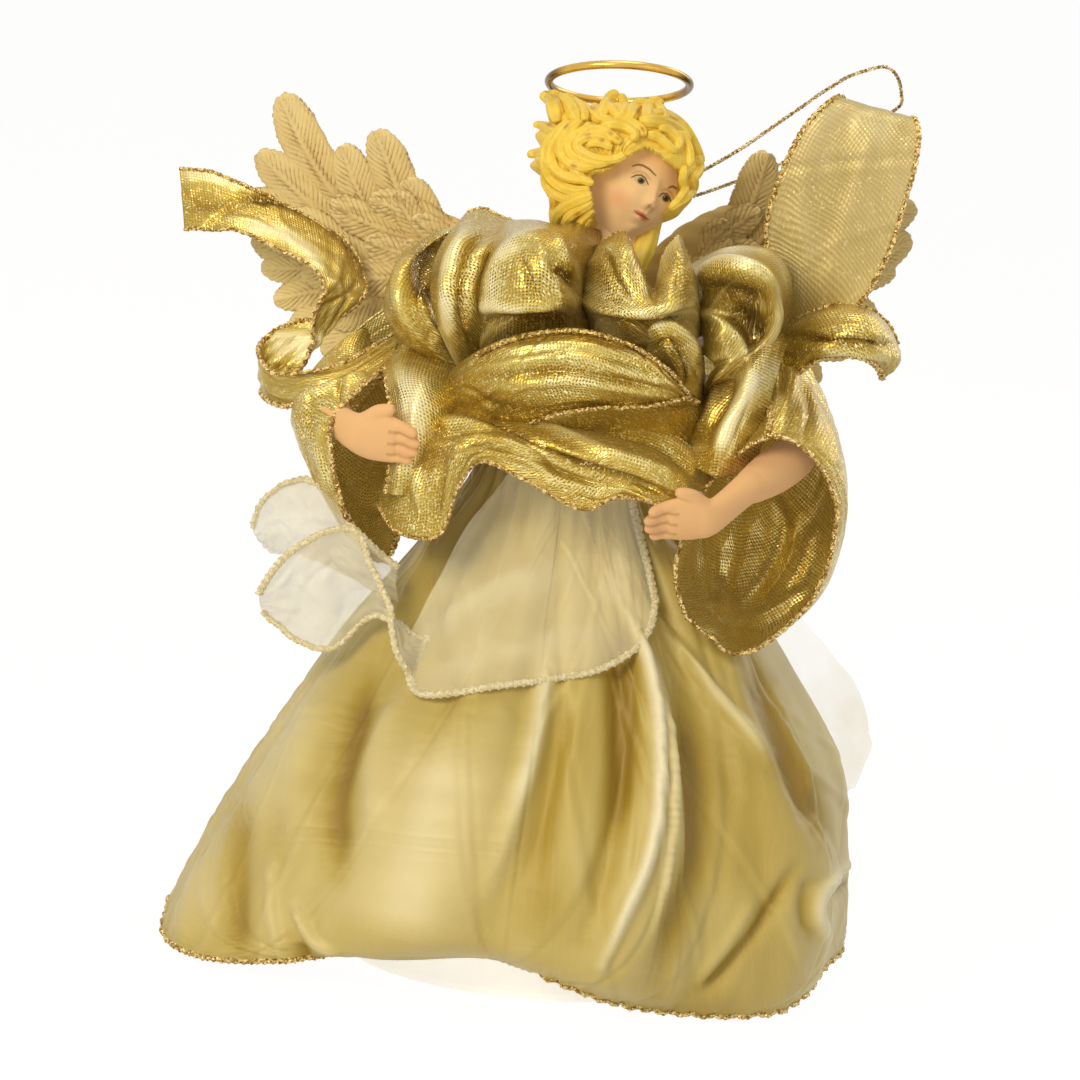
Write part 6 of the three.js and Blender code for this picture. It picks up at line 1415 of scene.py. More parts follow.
# Collar and sides of the bodice: each a net of places in the photograph with their depth in millimetres
collarPlaces = {
    "collar_puff_far_right": [
        [(456, 230, -4), (432, 238, -8), (408, 256, -12), (392, 283, -16), (386, 306, -18),
         (392, 330, -19), (412, 350, -18), (454, 374, -14)],
        [(452, 234, -9), (432, 247, -16), (411, 266, -25), (398, 288, -30), (395, 308, -32),
         (402, 331, -31), (421, 352, -27), (458, 374, -20)],
        [(450, 242, -8), (440, 258, -12), (428, 275, -22), (424, 294, -30), (425, 312, -33),
         (430, 332, -32), (442, 352, -28), (463, 373, -21)],
        [(458, 248, -8), (454, 264, -12), (450, 280, -18), (448, 297, -22), (450, 313, -24),
         (455, 331, -24), (462, 349, -22), (472, 371, -18)],
    ],
    "collar_puff_right": [
        [(468, 214, 0), (456, 230, -8), (444, 248, -20), (436, 268, -28), (433, 292, -33),
         (437, 318, -34), (446, 344, -30), (460, 373, -22)],
        [(484, 211, 0), (470, 228, -14), (458, 248, -30), (450, 270, -38), (448, 294, -43),
         (451, 318, -42), (459, 343, -35), (472, 372, -24)],
        [(501, 219, -2), (490, 234, -18), (478, 252, -32), (470, 272, -39), (466, 296, -43),
         (467, 320, -41), (472, 344, -34), (484, 369, -24)],
        [(520, 226, -4), (514, 242, -18), (502, 258, -28), (493, 277, -34), (487, 299, -37),
         (486, 320, -36), (488, 343, -31), (496, 365, -22)],
    ],
    "collar_puff_middle": [
        [(492, 230, -6), (512, 225, -12), (536, 225, -16), (558, 230, -18), (578, 228, -17),
         (602, 234, -6)],
        [(494, 250, -28), (512, 243, -38), (536, 241, -43), (559, 244, -43), (579, 248, -35),
         (596, 262, -18)],
        [(483, 280, -36), (504, 269, -48), (534, 265, -54), (560, 269, -51), (578, 272, -40),
         (588, 280, -24)],
        [(479, 305, -38), (502, 305, -52), (534, 307, -56), (560, 305, -53), (576, 300, -42),
         (584, 300, -26)],
        [(482, 322, -36), (504, 324, -46), (534, 323, -48), (562, 321, -46), (578, 318, -40),
         (588, 318, -26)],
        [(474, 356, -28), (498, 352, -33), (530, 346, -34), (562, 342, -34), (584, 341, -32),
         (596, 340, -22)],
    ],
    "collar_puff_throat": [
        [(588, 254, -8), (603, 247, -24), (622, 239, -32), (634, 264, -34), (650, 297, -38),
         (663, 266, -34), (675, 242, -30), (687, 262, -16)],
        [(580, 277, -18), (598, 270, -38), (618, 264, -47), (634, 282, -48), (650, 306, -50),
         (666, 286, -47), (679, 266, -40), (691, 277, -20)],
        [(574, 296, -22), (595, 296, -43), (618, 300, -52), (638, 306, -55), (654, 314, -55),
         (670, 304, -53), (685, 291, -42), (695, 292, -22)],
        [(574, 313, -22), (596, 318, -44), (618, 324, -53), (640, 326, -56), (658, 325, -55),
         (674, 318, -51), (689, 307, -40), (697, 305, -22)],
        [(582, 332, -22), (602, 338, -36), (622, 342, -42), (642, 344, -45), (660, 342, -45),
         (676, 336, -42), (691, 323, -33), (699, 316, -20)],
        [(590, 350, -20), (608, 358, -32), (628, 362, -36), (646, 364, -40), (662, 362, -40),
         (678, 356, -36), (692, 344, -28), (701, 334, -16)],
    ],
    "collar_puff_low": [
        [(626, 328, -28), (644, 328, -47), (662, 325, -50), (680, 333, -48), (693, 346, -38),
         (700, 350, -20)],
        [(630, 346, -28), (648, 348, -47), (664, 345, -52), (680, 352, -48), (694, 365, -38),
         (702, 370, -20)],
        [(640, 363, -27), (656, 365, -43), (670, 365, -47), (683, 373, -45), (694, 385, -36),
         (702, 391, -18)],
        [(654, 380, -22), (666, 384, -36), (677, 388, -40), (687, 395, -38), (695, 402, -31),
         (703, 410, -16)],
    ],
    "collar_puff_left": [
        [(686, 270, -4), (706, 259, -8), (726, 252, -8), (750, 250, -6), (772, 254, -2), (788, 276, 2),
         (790, 304, 4), (781, 334, 3), (762, 362, 0), (738, 382, -2)],
        [(688, 276, -12), (708, 268, -23), (728, 263, -28), (750, 262, -28), (768, 270, -22),
         (779, 290, -14), (780, 312, -10), (773, 336, -9), (757, 361, -10), (734, 384, -11)],
        [(690, 284, -16), (708, 280, -31), (728, 276, -38), (748, 278, -39), (764, 286, -34),
         (774, 302, -27), (775, 321, -24), (768, 343, -22), (751, 364, -20), (728, 386, -18)],
        [(691, 297, -16), (708, 296, -30), (727, 295, -35), (745, 299, -35), (757, 307, -31),
         (764, 320, -27), (763, 335, -26), (756, 351, -27), (742, 368, -26), (722, 388, -22)],
        [(692, 314, -16), (708, 315, -26), (722, 318, -28), (735, 323, -27), (744, 331, -25),
         (748, 341, -24), (746, 351, -26), (739, 362, -28), (729, 374, -28), (713, 392, -23)],
        [(693, 334, -14), (704, 336, -27), (714, 340, -31), (722, 346, -31), (727, 352, -30),
         (729, 359, -30), (726, 366, -31), (719, 375, -31), (712, 384, -29), (700, 398, -20)],
        [(693, 356, -12), (699, 357, -23), (705, 359, -27), (710, 362, -28), (712, 366, -28),
         (712, 371, -28), (709, 376, -28), (705, 383, -27), (701, 390, -25), (694, 402, -16)],
    ],
    "bodice_side_left": [
        [(740, 354, -12), (754, 347, -22), (768, 343, -24), (784, 346, -16)],
        [(706, 378, -14), (730, 380, -29), (752, 378, -33), (774, 374, -22)],
        [(686, 402, -14), (714, 410, -33), (740, 412, -38), (766, 406, -26)],
        [(676, 430, -14), (702, 440, -35), (728, 445, -41), (760, 438, -28)],
        [(670, 454, -14), (693, 469, -36), (716, 478, -41), (750, 470, -30)],
    ],
    "sash_flap_right": [
        [(386, 350, -12), (402, 346, -14), (424, 346, -16), (452, 352, -16), (480, 362, -14)],
        [(388, 378, -26), (405, 377, -33), (428, 381, -35), (456, 386, -30), (482, 392, -24)],
        [(393, 406, -36), (409, 406, -42), (428, 409, -43), (450, 412, -38), (474, 416, -28)],
        [(396, 438, -40), (409, 440, -45), (424, 442, -45), (442, 443, -40), (462, 444, -30)],
        [(392, 468, -42), (404, 472, -46), (417, 476, -45), (434, 478, -40), (452, 480, -30)],
        [(388, 494, -42), (398, 496, -45), (408, 496, -44), (420, 496, -40), (434, 494, -32)],
    ],
}


def placedGrid(rows, columns, lines):
    curves = np.stack([spline(np.array(row, float), np.linspace(0, 1, columns + 1)) for row in rows])
    spots = spline(curves, np.linspace(0, 1, lines + 1))
    return np.moveaxis(seenAt(spots[..., 0], spots[..., 1], spots[..., 2]), 0, -1)


collarFolds = {
    "collar_puff_far_right": {"flat": (0.062, 0.03), "creases": (8, 0.4, 0.2)},
    "collar_puff_right": {"flat": (0.062, 0.03), "creases": (8, 0.4, 0.2), "edges": ("start",)},
    "collar_puff_middle": {"flat": (0.062, 0.044), "creases": (6, 0.35, 0.3)},
    "collar_puff_throat": {
        "flat": (0.09, 0.044), "creases": (8, 0.35, 0.3), "edges": ("first",), "braidWide": 0.6,
    },
    "collar_puff_low": {"flat": (0.05, 0.022), "creases": (5, 0.35, 0.8)},
    "bodice_side_left": {"flat": (0.045, 0.036), "creases": (7, 0.4, 1.2)},
    "sash_flap_right": {"flat": (0.045, 0.032), "creases": (6, 0.4, 1.2), "edges": ("start",)},
    "collar_puff_left": {"flat": (0.095, 0.034), "creases": (9, 0.35, 0.2)},
}
for name, details in collarFolds.items():
    fine = (120, 90)
    makeCloth(name, {
        "fine": fine, "look": "ribbon", "slot": "lame", "on": ["torso_form"], **details,
    }, placedGrid(collarPlaces[name], *fine))
print("collar ready")

firstBraid = [
    (478, 357), (500, 347), (530, 338), (562, 334), (600, 338), (640, 353), (664, 372), (683, 392),
    (690, 402),
]
secondBraid = [(530, 426), (560, 418), (600, 413), (640, 412), (668, 407), (694, 400), (712, 397)]
bodicePlaces = [
    [(452, 374, -28), (476, 357, -40), (505, 344, -46), (540, 336, -48), (575, 334, -48),
     (610, 341, -48), (640, 354, -48), (665, 374, -49), (690, 398, -32)],
    [(446, 388, -28), (474, 373, -42), (505, 362, -51), (540, 356, -54), (575, 355, -54),
     (608, 360, -53), (638, 371, -52), (664, 387, -49), (692, 403, -33)],
    [(444, 405, -28), (474, 394, -42), (505, 388, -52), (540, 384, -56), (575, 382, -56),
     (608, 384, -54), (638, 390, -51), (668, 399, -46), (696, 407, -31)],
    [(446, 424, -26), (476, 416, -38), (508, 410, -48), (540, 408, -52), (575, 407, -52),
     (608, 407, -50), (638, 406, -47), (670, 409, -41), (700, 412, -28)],
    [(450, 446, -24), (480, 442, -30), (510, 438, -34), (540, 436, -36), (575, 436, -37),
     (608, 437, -36), (640, 439, -33), (672, 443, -30), (704, 446, -22)],
]
makeCloth("bodice_wrap", {
    "places": bodicePlaces, "fine": (150, 72), "look": "bodice",
    "slot": "lame", "on": ["torso_form"], "flat": (0.105, 0.042),
    "folds": [(0.5, 0.8, 4.0, 0.45, 21)], "creases": (14, 0.5, 0.1), "held": "stretched",
    "braids": [firstBraid, secondBraid],
})
makeCloth("sash_drape", {
    "rows": sashShares, "anchor": waistAnchor, "fine": (200, 72), "look": "sleeve",
    "slot": "lame", "on": ["torso_form", "left_forearm"], "flat": (0.108, 0.038),
    "edges": ("first", "last"), "folds": [(0.5, 0.9, 3.2, 0.5, 23)],
    "creases": (12, 0.5, 0.15), "held": "draped",
})

sleeveDetails = {
    "left_sleeve": {
        "folds": [(0.9, 6.0, 1.2, 0.45, 31)], "creases": (26, 0.6, 0.6), "flat": (0.135, 0.09),
        "braids": [[(798, 350), (784, 348), (771, 354), (766, 382), (764, 426), (752, 452)]],
    },
    "right_sleeve": {
        "folds": [(0.9, 6.0, 1.0, 0.45, 33)], "creases": (22, 0.6, 1.0), "flat": (0.12, 0.068),
    },
}
for name, details in sleeveDetails.items():
    makeCloth(name, {
        "rows": sleeveShares[name], "anchor": shoulderAnchor, "fine": (200, 110), "closed": True,
        "look": "sleeve", "slot": "lame", "on": ["torso_form"], "edges": ("last",),
        "braidWide": 1.25, "held": "gathered", **details,
    })
print("sleeves ready")

rufflePlaces = [
    [(762, 350, 22), (782, 329, 14), (812, 313, 8), (842, 305, 6), (868, 310, 6), (887, 325, 8),
     (897, 345, 8)],
    [(764, 358, 8), (787, 337, 0), (815, 323, -8), (844, 316, -10), (868, 321, -10), (886, 335, -6),
     (898, 356, -2)],
    [(768, 366, 0), (792, 345, -8), (818, 334, -16), (846, 328, -18), (869, 333, -17), (885, 346, -11),
     (896, 365, -5)],
    [(772, 378, -2), (797, 357, -12), (822, 347, -20), (848, 342, -21), (868, 348, -19),
     (882, 359, -13), (889, 373, -7)],
    [(776, 392, -2), (801, 371, -10), (824, 361, -16), (846, 357, -17), (864, 362, -15),
     (876, 371, -9), (880, 380, -5)],
]
ribbonDetails = {
    "shoulder_ruffle_left": {
        "places": rufflePlaces, "fine": (120, 60), "look": "ribbon", "creases": (10, 0.4, 0.3),
        "braidWide": 1.35, "flat": (0.062, 0.026), "on": ["left_sleeve"], "held": "gathered",
    },
    "ribbon_tail_right": {
        "rows": ribbonShares["ribbon_tail_right"], "fine": (420, 36), "look": "tail", "on": ["torso_form"],
        "folds": [(0.5, 10.0, 0.8, 0.4, 43)], "creases": (30, 0.5, 0.3), "flat": (0.16, 0.016),
    },
    "bow_loop_left": {
        "rows": ribbonShares["bow_loop_left"], "fine": (300, 48), "braidWide": 1.3,
        "folds": [(0.3, 6.0, 0.7, 0.2, 45)], "creases": (9, 0.25, 0.4), "flat": (0.2, 0.024),
    },
    "bow_loop_back": {
        "rows": bowShares["bow_loop_back"], "fine": (160, 48),
        "folds": [(0.4, 6.0, 0.8, 0.3, 47)], "flat": (0.1, 0.018),
    },
    "bow_tail_back": {
        "rows": bowShares["bow_tail_back"], "fine": (120, 48), "edges": ("first", "last", "end"),
        "folds": [(0.5, 4.0, 0.8, 0.3, 48)], "flat": (0.09, 0.024),
    },
}
for name, details in ribbonDetails.items():
    makeCloth(name, {
        "anchor": shoulderAnchor, "slot": "lame", "look": "sheer", "edges": ("first", "last"),
        "on": ["bow_knot"], "held": "hung", **details,
    })
print("ribbons ready")


skirtHeight = 150.0
skirtHemRadius = 104.0
skirtFoldHeight = 5.5
hemClear = 3.2
organzaStandOff = 2.2
# Where the hem is turned under, in places across the photograph
turnedUnder = (312, 548)
turnedSoft = 24


def turnedAway(degrees, centre):
    return ((degrees - centre) % 360 + 540) % 360 - 180


# Skirt: a ring of shares at each height, then broad folds, then small ones
def skirtGrid(turn, drop, standOff=0.0):
    rows = np.array([ring for _, ring in skirtRowShares])
    heights = np.array([z for z, _ in skirtRowShares])
    reach = np.stack([spline(ring, turn.ravel(), True) for ring in rows])
    pairs = np.stack([reach, np.broadcast_to(heights[:, None], reach.shape)], -1)
    at = drop.ravel()
    longer, index, share = openSpans(pairs, at)
    column = np.arange(pairs.shape[1])
    spot = curved(*(longer[index + step, column] for step in range(4)), share[:, None])
    lift = spline(hemLiftShares, turn.ravel(), True)
    fold = np.zeros_like(at)
    for (waist, half, hem), proud, wide in skirtFolds:
        early = waist + (half - waist) * at * 2
        late = half + (hem - half) * (at * 2 - 1)
        away = turnedAway(turn.ravel() * 360, np.where(at < 0.5, early, late))
        fold += proud * np.exp(-(away / wide) ** 2)
    grow = np.sin(np.minimum(1, at * 1.25) * math.pi / 2) * (1 - 0.35 * at * at)
    radius = spot[:, 0] * skirtHemRadius + fold * skirtFoldHeight * grow + standOff
    rise = lift * (1 - spot[:, 1]) + spot[:, 1]
    z = hemClear + (skirtHeight - hemClear) * rise + standOff * 0.4
    around = turn.ravel() * 2 * math.pi
    points = np.stack([radius * np.sin(around), -radius * np.cos(around), z], 1)
    return points.reshape(*turn.shape, 3)


# Small folds of the satin: degrees at waist and hem, from and to down the skirt, height and width
smallFolds = [
    (-8, -16, 0.0, 0.5, 0.9, 3.5), (4, 14, 0.05, 0.75, 1.3, 4.0), (18, 24, 0.0, 0.6, -1.1, 3.2),
    (28, 38, 0.2, 1.0, 1.2, 3.0), (42, 58, 0.1, 0.9, -1.0, 3.0), (60, 74, 0.3, 1.0, 1.1, 3.4),
    (-22, -32, 0.0, 0.7, -1.0, 3.6), (-34, -52, 0.15, 0.9, 0.9, 4.0), (-54, -60, 0.3, 1.0, -0.9, 4.0),
    (52, 50, 0.0, 0.45, 0.9, 2.6), (12, 2, 0.4, 1.0, 0.9, 4.2), (-2, -6, 0.3, 0.9, -0.8, 3.6),
    (98, 104, 0.1, 1.0, 1.0, 4.5), (126, 128, 0.1, 1.0, -1.0, 4.5), (152, 150, 0.1, 1.0, 1.0, 4.5),
    (-178, -178, 0.1, 1.0, 1.1, 4.5), (-156, -154, 0.1, 1.0, -1.0, 4.5), (-128, -130, 0.1, 1.0, 1.0, 4.5),
    (-104, -104, 0.1, 1.0, 1.0, 4.5), (-80, -84, 0.1, 1.0, -0.9, 4.0),
]


def makeSkirt():
    columns, lines = 860, 190
    turn, drop = np.meshgrid(np.arange(columns) / columns, np.linspace(0, 1, lines + 1))
    grid = skirtGrid(turn, drop)
    normal = gridNormals(grid, True)
    height = np.zeros_like(turn)
    for waist, hem, begin, end, proud, wide in smallFolds:
        away = turnedAway(turn * 360, waist + (hem - waist) * drop)
        starts = np.clip((drop - begin) / 0.14 + 0.4, 0, 1)
        stops = np.clip((end - drop) / 0.14 + 0.4, 0, 1)
        height += proud * (starts * stops) * np.exp(-(away / wide) ** 2)
    outward = normal if (normal[lines // 2, 0] * grid[lines // 2, 0])[:2].sum() > 0 else -normal
    near = np.clip(outward @ towardsViewer * 3 + 0.3, 0, 1)
    across, down = seenFrom(grid)
    drawn = drawnHeight(across, down, drawnFolds["skirt"]) * near
    toned = drawnHeight(across, down, drawnTones["skirt"]) * near
    height += drawn + creaseHeight(turn, drop, 520.0, 170.0, 90, 0.5, 77, 1.5)
    # tone of painted shade in the hollows and painted highlight on the ridges, from fold heights and drawn
    # tones
    tone = np.clip(0.5 + (height - 0.3) * 0.05 + toned * 0.42, 0, 1)
    first, last = turnedUnder
    under = np.clip((across - first) / turnedSoft, 0, 1) * np.clip((last - across) / turnedSoft, 0, 1) * near
    gather = np.exp(-drop * 7.0)
    height += gather * 1.2 * np.sin(2 * math.pi * (34 * turn + 0.4 * wander(turn, drop, 5)))
    pucker = np.exp(-(1 - drop) * 40.0)
    ripple = np.sin(2 * math.pi * (86 * turn + 0.5 * wander(turn, drop, 6)))
    height += pucker * (1 - under) * 0.5 * ripple
    grid = grid + outward * height[..., None]
    tuck = under * np.clip((drop - 0.955) / 0.045, 0, 1) ** 2
    grid[..., :2] *= (1 - 0.045 * tuck)[..., None]
    grid[..., 2] = np.maximum(grid[..., 2], 1.6)
    points, faces, corners = shellOf(grid, 0.6, True)
    skirt = meshPiece("skirt_cloth", points, faces, [looks["satin"]], corners)
    paintPoints(skirt, np.tile(tone.ravel(), 2)[:, None])
    part(skirt, "satin", "skirt")
    bodies = Bodies()
    hem = grid[-1].copy()
    hem[:, 2] += 1.8 * under[-1] - 0.5
    hem[:, :2] *= (1 - 0.03 * under[-1])[:, None]
    edgeBraid(bodies, hem, 1.15, True)
    braid = bodies.piece("skirt_hem_edge", [looks["braid"]])
    part(braid, "braid", "skirt_hem_braid")
    area = sum(face.area for face in skirt.data.polygons) / 2
    print("skirt area_mm2", round(area * 1e6))


makeSkirt()


def organzaGrid(columns, lines):
    u, v = np.linspace(0, 1, columns + 1), np.linspace(0, 1, lines + 1)
    rows = np.stack([spline(np.array(row, float), u) for row in organzaPanelShares])
    spots = spline(rows, v)
    return skirtGrid(spots[..., 0] / 360, spots[..., 1], organzaStandOff)


panelSpec = {
    "fine": (170, 90), "look": "veil", "slot": "organza", "on": ["skirt"], "held": "draped",
    "flat": (0.07, 0.066), "edges": ("last", "end"), "braid": "braidCream", "braidWide": 1.75,
    "folds": [(0.5, 5.0, 1.0, 0.3, 51)], "creases": (14, 0.4, 1.2), "thick": 0.3,
}
makeCloth("organza_panel", panelSpec, organzaGrid(*panelSpec["fine"]))
flounceDetails = {
    "organza_flounce_side": {
        "fine": (150, 60), "flat": (0.074, 0.024), "edges": ("first", "last"),
        "folds": [(0.9, 3.0, 0.8, 0.3, 53), (0.4, 7.0, 2.0, 0.3, 54)],
    },
    "organza_flounce_top": {
        "fine": (150, 60), "flat": (0.058, 0.024), "edges": ("first",),
        "folds": [(0.8, 3.0, 1.0, 0.3, 55), (0.4, 7.0, 2.0, 0.3, 56)],
    },
    "organza_flounce_back": {
        "fine": (150, 50), "flat": (0.12, 0.019), "edges": ("last",), "look": "veil",
        "folds": [(1.0, 4.0, 0.8, 0.3, 57), (0.4, 9.0, 2.0, 0.3, 58)],
    },
}
for name, details in flounceDetails.items():
    makeCloth(name, {
        "rows": flounceShares[name], "anchor": waistAnchor, "look": "organza", "slot": "organza",
        "on": ["skirt"], "held": "gathered", "braid": "braidCream", "braidWide": 1.55,
        "thick": 0.3, **details,
    })
print("dress ready")


# Castings

def turnX(angle):
    c, s = math.cos(angle), math.sin(angle)
    return np.array(((1, 0, 0), (0, c, -s), (0, s, c)))


def turnY(angle):
    c, s = math.cos(angle), math.sin(angle)
    return np.array(((c, 0, s), (0, 1, 0), (-s, 0, c)))


def turnZ(angle):
    c, s = math.cos(angle), math.sin(angle)
    return np.array(((c, -s, 0), (s, c, 0), (0, 0, 1)))


headHalf = np.array((12.3, 13.6, 16.0))
neckRadius = 6.6
headMiddle = np.array((9.5, -2.0, shoulderZ + 36.0))
viewTurn = turnX(-viewRise)
headPose = viewTurn @ turnY(math.radians(20)) @ turnZ(math.radians(26)) @ turnX(math.radians(-18))
neckFoot = np.array((9.5 * 0.45, -1.0, shoulderZ - 2.0))
bustRadius = 17.0
bustHeight = 9.0
bustSunk = 2.7
bustProfile = [(1, -0.3), (1, 0), (0.86, 0.42), (0.55, 0.8), (0.3, 1.0)]
neckHead = headPose @ np.array((0, headHalf[1] * 0.1, -headHalf[2] * 0.45)) + headMiddle


def softSpot(across, down, centre, size, turn, edge):
    dx = across - centre[0]
    dy = down - centre[1]
    c, s = math.cos(math.radians(turn)), math.sin(math.radians(turn))
    away = np.hypot((dx * c + dy * s) / size[0], (dy * c - dx * s) / size[1])
    return np.clip((1.0 - away) / edge, 0, 1)


def softStroke(across, down, line, wide, edge):
    line, _ = evenly(np.array([(x, y, 0.0) for x, y in line]), 0.25)
    best = np.full(across.shape, 1e9)
    count = len(line)
    for k, (x, y, _) in enumerate(line):
        thin = wide * (0.35 + 0.65 * math.sin(math.pi * (0.12 + 0.76 * k / max(1, count - 1))))
        best = np.minimum(best, np.hypot(across - x, down - y) / thin)
    return np.clip((1.0 - best) / edge + 0.5, 0, 1)


def blended(base, share, colour):
    return base * (1 - share[..., None]) + np.array(colour) * share[..., None]


# The doll's face, in places of the photograph, and how far its paint is shifted on them
facePaintShift = (1.2, -4.6)
# from here across, the face is painted darker to the right: painted shade
faceShadeFrom = 634
# Soft spots: middle, half widths, turn in degrees, softness, strength and colour; a painted highlight on the
# left cheek, blush on both cheeks, and painted shade under the nose
faceSpots = [
    ((606, 205), (18, 32), 0, 1.0, 0.6, (0.86, 0.62, 0.4)),
    ((619, 199), (17, 13), 30, 1.0, 0.5, (0.72, 0.3, 0.18)),
    ((668, 214), (9, 8), 30, 1.0, 0.35, (0.56, 0.2, 0.1)),
    ((650, 207.5), (5.5, 3.0), 35, 0.8, 0.5, (0.34, 0.18, 0.08)),
]
# Middle and half widths of the eyes, with the middle of the iris, and of the lips
facePlaces = {
    "eyes": [((640.0, 181.6), (8.2, 3.9), (641.0, 181.0)), ((664.6, 198.6), (6.6, 3.9), (665.6, 198.0))],
    "lips": [((640.5, 213.6), (8.0, 2.7)), ((643.0, 217.8), (6.0, 3.2))],
}
# Strokes: width, softness, strength, colour and lines; painted shade in the creases of the lids, then lids,
# brows and the line of the lips
faceStrokes = [
    (
        1.3, 1.4, 0.4, (0.34, 0.18, 0.08),
        [
            [(633, 173.5), (639, 171.8), (645, 173.8), (650, 180)],
            [(661, 190.5), (666, 189), (671, 192.5), (674, 198)],
        ],
    ),
    (
        1.0, 0.6, 0.9, (0.07, 0.035, 0.015),
        [
            [(631.5, 177.8), (636, 175.6), (641, 175.6), (645, 178.5), (648, 185)],
            [(658.5, 196.6), (662, 193.2), (666.5, 193.6), (669.5, 197.2), (671, 202.5)],
        ],
    ),
    (
        1.15, 0.6, 0.85, (0.12, 0.05, 0.018),
        [
            [(632.5, 166.5), (638, 165), (643, 166), (649, 169.5), (655.5, 176)],
            [(668, 187.5), (672.5, 185.8), (676.5, 187.5), (680, 193.5)],
        ],
    ),
    (
        0.8, 0.6, 0.8, (0.26, 0.05, 0.03),
        [[(633.8, 210.2), (637.5, 213.4), (641.5, 215.4), (645, 217.4), (648.6, 219)]],
    ),
]


def paintFace(points):
    across, down = seenFrom(points)
    across = across + facePaintShift[0]
    down = down + facePaintShift[1]
    colour = np.broadcast_to(np.array((0.80, 0.54, 0.32)), points.shape).copy()
    # the right side of the face is painted darker: painted shade
    colour = blended(colour, np.clip((across - faceShadeFrom) / 60, 0, 1) * 0.4, (0.60, 0.36, 0.18))
    for centre, size, turn, edge, strength, tint in faceSpots:
        colour = blended(colour, softSpot(across, down, centre, size, turn, edge) * strength, tint)
    for middle, size, iris in facePlaces["eyes"]:
        white = softSpot(across, down, middle, size, 33, 0.25)
        colour = blended(colour, white, (0.56, 0.44, 0.31))
        ring = softSpot(across, down, iris, (4.3, 4.1), 0, 0.3) * (white > 0.02)
        colour = blended(colour, ring, (0.07, 0.05, 0.02))
        colour = blended(colour, softSpot(across, down, iris, (2.6, 2.6), 0, 0.4), (0.004, 0.003, 0.002))
        glint = (iris[0] - 1.3, iris[1] - 1.5)
        colour = blended(colour, softSpot(across, down, glint, (0.55, 0.55), 0, 0.4) * 0.7, (0.7, 0.7, 0.66))
    upper, lower = (softSpot(across, down, middle, size, 31, 0.5) for middle, size in facePlaces["lips"])
    colour = blended(colour, np.maximum(upper, lower) * 0.95, (0.60, 0.17, 0.10))
    for wide, edge, strength, tint, lines in faceStrokes:
        for line in lines:
            colour = blended(colour, softStroke(across, down, line, wide, edge) * strength, tint)
    return colour


def faceSurface(columns, lines):
    t = np.linspace(0, 1, columns, endpoint=False)
    turn = -math.pi / 2 + 2 * math.pi * (t - 0.5) - 0.8 * np.sin(2 * math.pi * (t - 0.5))
    lift = np.linspace(-math.pi / 2 + 0.03, math.pi / 2 - 0.03, lines)
    turn, lift = np.meshgrid(turn, lift)
    dx, dy, dz = np.cos(lift) * np.cos(turn), np.cos(lift) * np.sin(turn), np.sin(lift)
    low = np.minimum(0, dz)
    x = dx * (1 - 0.34 * low * low)
    y = dy * (1 - 0.12 * low * low)
    front = dy < 0
    for (atX, atZ), (wideX, wideZ), proud in faceBumpShares + faceDetailShares:
        bump = proud * np.exp(-((dx - atX) / wideX) ** 2 - ((dz - atZ) / wideZ) ** 2)
        y = y - np.where(front, bump, 0)
    points = np.stack([x, y, dz], -1) * headHalf
    return points @ headPose.T + headMiddle


# Finer bumps than the casting's main ones: nostrils, lips, lids, dimple of the chin
faceDetailShares = [
    ((-0.1, -0.46), (0.06, 0.05), 0.07), ((0.1, -0.46), (0.06, 0.05), 0.07),
    ((0.0, -0.53), (0.05, 0.05), -0.03), ((0.0, -0.6), (0.2, 0.035), 0.025),
    ((0.0, -0.655), (0.24, 0.018), -0.035), ((0.0, -0.7), (0.16, 0.04), 0.035),
    ((0.0, -0.78), (0.16, 0.04), -0.03), ((0.4, 0.04), (0.15, 0.07), 0.05),
    ((-0.4, 0.04), (0.15, 0.07), 0.05),
]


# A closed body from rings of points, capped at both ends
def gridBody(grid):
    lines, columns = grid.shape[:2]
    i, j = cellPlaces(columns, lines - 1)
    a = j * columns + i
    b = j * columns + (i + 1) % columns
    faces = np.stack([a, b, b + columns, a + columns], 1).tolist()
    spot = np.stack([
        np.stack([i, j], -1), np.stack([i + 1, j], -1),
        np.stack([i + 1, j + 1], -1), np.stack([i, j + 1], -1),
    ], 1) * 0.0002
    corners = spot.reshape(-1, 2).tolist()
    for ring, flip in ((0, True), (lines - 1, False)):
        cap = [ring * columns + k for k in range(columns)]
        faces.append(cap[::-1] if flip else cap)
        corners += [[0.0, 0.0]] * columns
    return grid.reshape(-1, 3), faces, corners


def rightWayOut(piece):
    cut = bmesh.new()
    cut.from_mesh(piece.data)
    bmesh.ops.recalc_face_normals(cut, faces=cut.faces)
    cut.to_mesh(piece.data)
    cut.free()
    piece.data.update()


